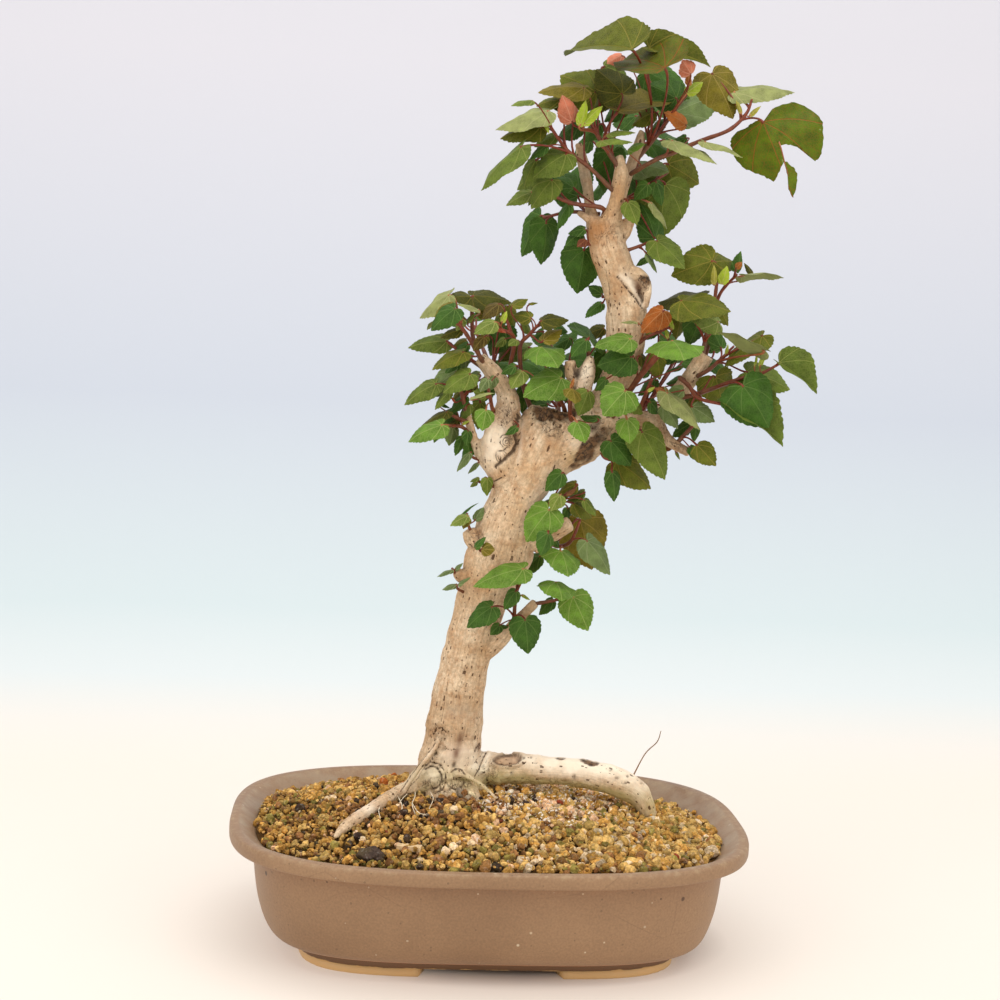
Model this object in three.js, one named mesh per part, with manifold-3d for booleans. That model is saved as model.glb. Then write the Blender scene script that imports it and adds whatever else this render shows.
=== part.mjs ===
// Sea hibiscus bonsai: a leaning pale trunk on one long bare root, leafy shoots, and an oval clay pot.
// Millimetres, +Z up. The pot's long side lies along X and the tree's show side faces -Y.

import * as THREE from "three";
import { mergeVertices } from "three/addons/utils/BufferGeometryUtils.js";
import Module from "manifold-3d";

const wasm = await Module();
wasm.setup();

// Driving sizes of the pot
const POT_LENGTH = 270;
const POT_DEPTH = 206;
const POT_HEIGHT = 64.5;
const LIP_HEIGHT = 7.4;
const LIP_WIDTH = 6.3;
const LIP_OVERHANG = 12.8;
const BODY_BOTTOM = 6;
const FOOT_RECESS = 4.5;
const RING_BOTTOM = 4.4;
const FOOT_GAP_FRONT = 70;
const FOOT_GAP_SIDE = 50;
const FLOOR_BOTTOM = 5.2;
const FLOOR_TOP = 13;
const POT_SIDES = 32;

// Driving sizes of what lies inside the pot
const DRAIN_OFFSET = 60;
const DRAIN_RADIUS = 12;
const SCREEN_SIZE = 36;
const SCREEN_THICK = 1.2;
const SCREEN_PITCH = 9;
const SCREEN_HOLE = 6.4;
const WIRE_RADIUS = 0.75;
const CLIP_TAIL = 10;
const SOIL_EDGE = 59;
const SOIL_RISE = 17;
const MOUND_LEFT = 10;
const MOUND_BACK = 10;
const SOIL_FRONT_RISE = 4;
const SOIL_GRAIN = 1.1;

// Clearances and section sizes
const TREE_BACK = 10;
const GAP = 0.3;
const BLADE_THICK = 0.8;
const STALK_RADIUS = 0.6;
const LARGE_LEAF = 28;
const SMALL_LEAF = 16;

// The front view from which places are read off: steps across and down a square view of 1000 steps,
// seen with this lens angle from this point, in the frame that is turned with the view.
const VIEW_STEPS = 1000;
const VIEW_ANGLE = 30;
const VIEW_POINT = new THREE.Vector3(-1, -961, 338);
const VIEW_PITCH = THREE.MathUtils.degToRad(6.3);
const VIEW_ROLL = THREE.MathUtils.degToRad(2.5);
const VIEW_TURN = THREE.MathUtils.degToRad(-4.3);
const VIEW_FOCUS = VIEW_STEPS / 2 / Math.tan(THREE.MathUtils.degToRad(VIEW_ANGLE / 2));

// Colours and finishes
const clay = { color: 0x96755a, roughness: 0.75, metalness: 0 };
const plasticMesh = { color: 0x2a2c2a, roughness: 0.6, metalness: 0 };
const aluminiumWire = { color: 0x8a6a4c, roughness: 0.4, metalness: 1 };
const soilGrain = { color: 0xb98a3c, roughness: 0.95, metalness: 0 };
const bark = { color: 0xe0b98f, roughness: 0.85, metalness: 0 };
const foliage = { color: 0x4f8a35, roughness: 0.5, metalness: 0 };
const lavaRock = { color: 0x3a2f28, roughness: 0.95, metalness: 0 };
const paleWood = { color: 0xd8b98c, roughness: 0.9, metalness: 0 };

// A repeatable draw of numbers from 0 to 1
function drawFrom(seed) {
  let state = seed;
  return () => {
    state = (state * 16807) % 2147483647;
    return state / 2147483647;
  };
}

// The point behind a place in the front view, at a depth beyond the pot's centre
function at(across, down, depth) {
  const x = across - VIEW_STEPS / 2;
  const y = down - VIEW_STEPS / 2;
  const right = (Math.cos(VIEW_ROLL) * x + Math.sin(VIEW_ROLL) * y) / VIEW_FOCUS;
  const up = (Math.sin(VIEW_ROLL) * x - Math.cos(VIEW_ROLL) * y) / VIEW_FOCUS;
  const forward = Math.cos(VIEW_PITCH) + Math.sin(VIEW_PITCH) * up;
  const rise = Math.cos(VIEW_PITCH) * up - Math.sin(VIEW_PITCH);
  const reach = (depth - VIEW_POINT.y) / forward;
  const point = new THREE.Vector3(VIEW_POINT.x + reach * right, depth, VIEW_POINT.z + reach * rise);
  return point.applyAxisAngle(new THREE.Vector3(0, 0, 1), VIEW_TURN);
}

// The tree stands a little behind the middle of the pot
function treeAt(across, down, depth) {
  return at(across, down, depth + TREE_BACK);
}

const EYE = VIEW_POINT.clone().applyAxisAngle(new THREE.Vector3(0, 0, 1), VIEW_TURN);

// Closed meshes from rings of points, and their joining and cutting
function closedMesh(points, faces) {
  const geometry = new THREE.BufferGeometry();
  const flat = points.flatMap((point) => [point.x, point.y, point.z]);
  geometry.setAttribute("position", new THREE.Float32BufferAttribute(flat, 3));
  geometry.setIndex(faces.flat());
  return geometry;
}

function loft(rings) {
  const sides = rings[0].length;
  const faces = [];
  for (let ring = 0; ring < rings.length - 1; ring++) {
    for (let side = 0; side < sides; side++) {
      const next = (side + 1) % sides;
      const low = ring * sides;
      const high = low + sides;
      faces.push([low + side, low + next, high + next]);
      faces.push([low + side, high + next, high + side]);
    }
  }
  const last = (rings.length - 1) * sides;
  for (let side = 1; side < sides - 1; side++) {
    faces.push([0, side + 1, side]);
    faces.push([last, last + side, last + side + 1]);
  }
  return closedMesh(rings.flat(), faces);
}

function solid(geometry) {
  geometry.deleteAttribute("normal");
  geometry.deleteAttribute("uv");
  const merged = mergeVertices(geometry, 1e-4);
  const vertProperties = new Float32Array(merged.attributes.position.array);
  const triVerts = new Uint32Array(merged.index.array);
  return new wasm.Manifold(new wasm.Mesh({ numProp: 3, vertProperties, triVerts }));
}

function geometryOf(body) {
  const mesh = body.getMesh();
  const geometry = new THREE.BufferGeometry();
  geometry.setAttribute("position", new THREE.Float32BufferAttribute(mesh.vertProperties, 3));
  geometry.setIndex(Array.from(mesh.triVerts));
  geometry.computeVertexNormals();
  return geometry;
}

function joinAll(bodies) {
  return bodies.reduce((whole, body) => whole.add(body));
}

function largestPiece(body) {
  const pieces = body.decompose();
  return pieces.reduce((best, piece) => (piece.volume() > best.volume() ? piece : best));
}

// A tube along stations of a point and a radius, with a section that stays untwisted
function tubeRings(stations, sides, lump, seed) {
  const draw = drawFrom(seed);
  const phase = draw() * Math.PI * 2;
  let side = new THREE.Vector3(0.31, -0.83, 0.46);
  return stations.map(({ point, radius }, index) => {
    const before = stations[Math.max(index - 1, 0)].point;
    const after = stations[Math.min(index + 1, stations.length - 1)].point;
    const along = after.clone().sub(before).normalize();
    side = side.clone().addScaledVector(along, -side.dot(along)).normalize();
    const other = new THREE.Vector3().crossVectors(along, side);
    return Array.from({ length: sides }, (_, corner) => {
      const angle = (corner / sides) * Math.PI * 2;
      const swell = 1 + lump * Math.sin(angle * 3 + phase + index * 0.9);
      const reach = radius * swell;
      return point
        .clone()
        .addScaledVector(side, Math.cos(angle) * reach)
        .addScaledVector(other, Math.sin(angle) * reach);
    });
  });
}

function smoothStations(rows, steps, extra = 0) {
  const points = rows.map(([across, down, depth]) => treeAt(across, down, depth));
  const curve = new THREE.CatmullRomCurve3(points, false, "catmullrom", 0.5);
  const count = Math.max(1, steps);
  return Array.from({ length: count + 1 }, (_, index) => {
    const place = (index / count) * (rows.length - 1);
    const low = Math.min(Math.floor(place), rows.length - 2);
    const share = place - low;
    const radius = rows[low][3] * (1 - share) + rows[low + 1][3] * share;
    return { point: curve.getPoint(index / count), radius: radius + extra };
  });
}

// Rounded-oval rings of the pot
function oval(halfLength, halfDepth, power, height, sides = POT_SIDES) {
  return Array.from({ length: sides }, (_, step) => {
    const angle = ((step + 0.5) / sides) * Math.PI * 2;
    const bend = 2 / power;
    const x = halfLength * Math.sign(Math.cos(angle)) * Math.abs(Math.cos(angle)) ** bend;
    const y = halfDepth * Math.sign(Math.sin(angle)) * Math.abs(Math.sin(angle)) ** bend;
    return new THREE.Vector3(x, y, height);
  });
}

// A ring set in from the rim by an inset, with its own squareness
function potRing([inset, height, power]) {
  return oval(POT_LENGTH / 2 - inset, POT_DEPTH / 2 - inset, power, height);
}

const POT_POWER = 2.94;
const OUTER_PROFILE = [
  [33.0, BODY_BOTTOM, 3.6],
  [28.0, 10, 3.4],
  [21.0, 18, 3.2],
  [16.0, 30, 3.0],
  [13.4, 44, POT_POWER],
  [LIP_OVERHANG, POT_HEIGHT - LIP_HEIGHT - 0.5, POT_POWER],
  [1.2, POT_HEIGHT - LIP_HEIGHT, POT_POWER],
  [0, POT_HEIGHT - LIP_HEIGHT + 1.2, POT_POWER],
  [0, POT_HEIGHT - 1.2, POT_POWER],
  [1.2, POT_HEIGHT, POT_POWER],
];
const INNER_PROFILE = [
  [36, FLOOR_TOP, 3.4],
  [26, 24, 3.2],
  [21, 46, POT_POWER],
  [18, 55, POT_POWER],
  [LIP_WIDTH, POT_HEIGHT + 0.01, POT_POWER],
];

function boxSolid(width, depth, height, x, y, z) {
  const geometry = new THREE.BoxGeometry(width, depth, height);
  geometry.translate(x, y, z);
  return solid(geometry);
}

function drainHole(x) {
  const geometry = new THREE.CylinderGeometry(DRAIN_RADIUS, DRAIN_RADIUS, FLOOR_TOP * 2, 16);
  geometry.rotateX(Math.PI / 2);
  geometry.translate(x, 0, FLOOR_TOP);
  return solid(geometry);
}

function makePot() {
  const inset = OUTER_PROFILE[0][0] + FOOT_RECESS;
  const ring = solid(loft([potRing([inset, 0, 4.2]), potRing([inset, BODY_BOTTOM + 1, 4.2])]));
  const well = solid(loft([potRing([inset + 9, -1, 4.2]), potRing([inset + 9, FLOOR_BOTTOM, 4.2])]));
  const tall = RING_BOTTOM + 1;
  const middle = RING_BOTTOM / 2 - 0.5;
  const frontGap = boxSolid(FOOT_GAP_FRONT, POT_DEPTH, tall, 0, 0, middle);
  const sideGap = boxSolid(POT_LENGTH, FOOT_GAP_SIDE, tall, 0, 0, middle);
  const body = solid(loft(OUTER_PROFILE.map(potRing)));
  const hollow = solid(loft(INNER_PROFILE.map(potRing)));
  const cuts = [well, frontGap, sideGap, hollow, drainHole(-DRAIN_OFFSET), drainHole(DRAIN_OFFSET)];
  return cuts.reduce((pot, cut) => pot.subtract(cut), body.add(ring));
}

function makeScreen(x) {
  const middle = FLOOR_TOP + GAP + SCREEN_THICK / 2;
  let plate = boxSolid(SCREEN_SIZE, SCREEN_SIZE, SCREEN_THICK, x, 0, middle);
  for (const column of [-1, 0, 1]) {
    for (const row of [-1, 0, 1]) {
      const holeX = x + column * SCREEN_PITCH;
      const hole = boxSolid(SCREEN_HOLE, SCREEN_HOLE, 4, holeX, row * SCREEN_PITCH, middle);
      plate = plate.subtract(hole);
    }
  }
  return plate;
}

// A wire staple over the screen, with its two tails bent out under the floor
function makeClip(x) {
  const low = FLOOR_BOTTOM - GAP - WIRE_RADIUS;
  const high = FLOOR_TOP + SCREEN_THICK + 2 * GAP + WIRE_RADIUS;
  const leg = SCREEN_PITCH;
  const route = [
    [-leg - CLIP_TAIL, low],
    [-leg, low],
    [-leg, high],
    [leg, high],
    [leg, low],
    [leg + CLIP_TAIL, low],
  ];
  const stations = route.map(([along, height]) => ({
    point: new THREE.Vector3(x + along, 0, height),
    radius: WIRE_RADIUS,
  }));
  const rods = stations.slice(1).map((end, index) => {
    return solid(loft(tubeRings([stations[index], end], 6, 0, 1)));
  });
  return joinAll(rods);
}

// The mound of clay grains, high at the trunk and low at the rim
function soilHeight(x, y) {
  const acrossShare = (x + MOUND_LEFT) / (POT_LENGTH / 2 - 9);
  const deepShare = (y - MOUND_BACK) / (POT_DEPTH / 2 - 9);
  const out = Math.min(acrossShare ** 2 + deepShare ** 2, 1);
  return SOIL_EDGE + SOIL_RISE * (1 - out) - SOIL_FRONT_RISE * deepShare;
}

function makeMound() {
  const draw = drawFrom(71);
  const rounds = 9;
  const sides = 30;
  const points = [new THREE.Vector3(0, 0, soilHeight(0, 0))];
  const faces = [];
  for (let round = 1; round <= rounds; round++) {
    for (const spot of oval(POT_LENGTH / 2 + 2, POT_DEPTH / 2 + 2, POT_POWER, 0, sides)) {
      const share = round / rounds;
      const x = spot.x * share;
      const y = spot.y * share;
      const grain = (draw() * 2 - 1) * SOIL_GRAIN;
      points.push(new THREE.Vector3(x, y, soilHeight(x, y) + grain));
    }
  }
  const ring = (round, side) => 1 + (round - 1) * sides + (side % sides);
  for (let side = 0; side < sides; side++) {
    faces.push([0, ring(1, side), ring(1, side + 1)]);
    for (let round = 1; round < rounds; round++) {
      faces.push([ring(round, side), ring(round + 1, side), ring(round + 1, side + 1)]);
      faces.push([ring(round, side), ring(round + 1, side + 1), ring(round, side + 1)]);
    }
  }
  const edge = points.slice(1 + (rounds - 1) * sides);
  const base = points.length;
  edge.forEach((point) => points.push(new THREE.Vector3(point.x, point.y, 0)));
  for (let side = 0; side < sides; side++) {
    const next = (side + 1) % sides;
    faces.push([ring(rounds, side), base + side, base + next]);
    faces.push([ring(rounds, side), base + next, ring(rounds, side + 1)]);
    if (side > 0 && side < sides - 1) {
      faces.push([base, base + side + 1, base + side]);
    }
  }
  return solid(closedMesh(points, faces));
}

function makeSoil(roots, pieces) {
  const cavity = INNER_PROFILE.map(([inset, height, power]) => [inset + GAP + 0.1, height, power]);
  cavity[0][1] = FLOOR_TOP + GAP;
  const fill = solid(loft(cavity.map(potRing)));
  const keepClear = [-DRAIN_OFFSET, DRAIN_OFFSET].map((x) => {
    const tall = SCREEN_THICK + 2 * WIRE_RADIUS + 4 * GAP + 1;
    return boxSolid(SCREEN_SIZE + 1, SCREEN_SIZE + 1, tall, x, 0, FLOOR_TOP + tall / 2 - 0.2);
  });
  const heap = fill.intersect(makeMound());
  return largestPiece([roots, ...keepClear, ...pieces].reduce((soil, cut) => soil.subtract(cut), heap));
}

// The trunk, its limbs, dead snags and roots: rows of steps across, steps down, depth and radius
const LIMBS = {
  trunk: [
    [452, 860, 2, 22],
    [449, 812, 2, 22],
    [449, 788, 2, 19.5],
    [451, 764, 2, 16.6],
    [453, 736, 1, 15],
    [457, 700, 0, 14.2],
    [463, 662, 0, 13.8],
    [472, 628, 0, 13.4],
    [482, 600, 0, 13.6],
    [491, 574, 0, 15.2],
    [500, 550, 0, 17.2],
    [508, 522, 0, 15.2],
    [516, 496, 0, 13.6],
    [527, 472, 0, 15.2],
    [539, 447, 1, 16.6],
    [549, 424, 3, 14.6],
    [553, 411, 4, 11.5],
  ],
  burl: [
    [514, 486, -1, 7],
    [501, 466, -5, 9.4],
    [499, 446, -7, 9.6],
    [504, 424, -6, 8.4],
    [508, 404, -4, 6.2],
    [503, 386, -2, 5],
    [491, 370, 0, 4.4],
    [479, 358, 0, 3.6],
  ],
  burlTwig: [
    [492, 470, -8, 3.6],
    [481, 456, -8, 3],
    [474, 440, -7, 2.6],
    [470, 425, -6, 2.4],
    [466, 411, -5, 2.2],
  ],
  rightLimb: [
    [547, 460, 2, 12.5],
    [568, 446, 2, 13.4],
    [590, 432, 2, 12.4],
    [612, 422, 2, 8.4],
    [634, 420, 1, 5.4],
    [656, 421, 0, 4],
  ],
  rightTwig: [
    [657, 408, -1, 2.4],
    [659, 424, -1, 3.2],
    [666, 438, -1, 3.2],
    [677, 446, -1, 2.8],
    [690, 453, -1, 2.4],
  ],
  rightArm: [
    [650, 425, 6, 4],
    [664, 410, 8, 4.2],
    [680, 392, 8, 4.6],
    [694, 373, 8, 4.6],
    [706, 355, 8, 4.4],
  ],
  leader: [
    [588, 436, 6, 10],
    [602, 412, 8, 10],
    [616, 384, 9, 9],
    [622, 352, 9, 8.8],
    [621, 322, 8, 8.8],
    [620, 298, 8, 9],
    [618, 274, 7, 9],
    [609, 252, 6, 9.8],
    [605, 234, 6, 10.2],
    [603, 218, 6, 8.6],
  ],
  brokenStub: [
    [626, 276, 4, 5.2],
    [638, 269, 3, 4.2],
    [646, 279, 2, 3.6],
    [648, 302, 2, 1.8],
  ],
  sideKnob: [
    [608, 238, 6, 6],
    [622, 231, 7, 5],
    [630, 220, 8, 3],
  ],
  leftKnob: [
    [598, 224, 4, 4],
    [584, 216, 3, 3],
    [575, 211, 3, 1.8],
  ],
  greyTop: [
    [594, 228, 8, 4.4],
    [590, 206, 10, 2.9],
    [586, 180, 12, 3],
    [582, 158, 14, 2.9],
    [578, 143, 15, 2.7],
  ],
  paleTop: [
    [611, 222, 2, 5.4],
    [616, 203, 1, 4.2],
    [618, 188, 1, 3.6],
    [621, 172, 1, 3.8],
    [619, 155, 1, 2.8],
  ],
  backTop: [
    [614, 214, 8, 4],
    [622, 192, 10, 3],
    [631, 166, 12, 2.8],
    [638, 146, 13, 2.8],
    [642, 130, 13, 2.8],
  ],
  deadSnag: [
    [588, 438, -1, 6],
    [581, 412, -4, 6.4],
    [581, 388, -6, 6],
    [588, 370, -6, 4.6],
    [590, 355, -6, 1.6],
  ],
  snagKnob: [
    [580, 390, -7, 4.4],
    [572, 376, -8, 3.6],
    [570, 360, -8, 3.2],
  ],
  cutStub: [
    [532, 545, -4, 5.4],
    [549, 535, -7, 5],
    [570, 523, -10, 4.2],
  ],
  lowerBranch: [
    [482, 654, -3, 5],
    [500, 641, -6, 4],
    [516, 622, -9, 3],
    [536, 602, -12, 2.4],
  ],
  leftUpperKnob: [
    [486, 546, -4, 6.4],
    [474, 540, -6, 5],
    [468, 530, -7, 3.6],
  ],
  leftLowerKnob: [
    [478, 574, -3, 6],
    [462, 577, -5, 3.6],
    [456, 570, -6, 2.6],
  ],
  thickRoot: [
    [462, 770, 4, 10],
    [492, 768, 3, 8.4],
    [520, 769, 2, 8],
    [556, 771, 1, 7.4],
    [592, 775, 1, 8],
    [620, 783, 0, 7.8],
    [639, 795, -1, 6.6],
    [648, 814, -2, 4.4],
    [650, 838, -2, 3],
  ],
  leftRoot: [
    [436, 776, -8, 7.6],
    [414, 788, -14, 4.6],
    [392, 797, -22, 3.8],
    [366, 812, -34, 3.4],
    [343, 830, -46, 3],
    [326, 850, -54, 2],
  ],
  raisedRoot: [
    [440, 736, -12, 2.2],
    [430, 756, -15, 2.4],
    [416, 778, -18, 2.6],
    [396, 800, -24, 2.2],
  ],
  frontRoot: [
    [456, 772, -12, 4],
    [474, 780, -18, 2.6],
    [492, 793, -25, 2.2],
    [506, 812, -30, 1.8],
  ],
  rightFrontRoot: [
    [462, 784, -10, 5],
    [476, 798, -16, 3.4],
    [486, 822, -20, 2.4],
  ],
  backRoot: [
    [446, 786, 16, 7],
    [424, 792, 30, 5],
    [404, 802, 42, 3.4],
    [392, 822, 50, 2.4],
  ],
  thinTwig: [
    [632, 778, 2, 1],
    [645, 754, 3, 0.8],
    [657, 742, 3, 0.75],
    [661, 731, 3, 0.7],
  ],
};

function limbSides(rows) {
  const widest = Math.max(...rows.map((row) => row[3]));
  return widest > 12 ? 10 : widest > 6 ? 7 : widest > 3 ? 5 : 4;
}

function makeTrunk(extra) {
  const limbs = Object.values(LIMBS).map((rows, index) => {
    const stations = smoothStations(rows, rows.length - 1, extra);
    return solid(loft(tubeRings(stations, limbSides(rows), 0.05, index + 5)));
  });
  return largestPiece(joinAll(limbs));
}

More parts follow.
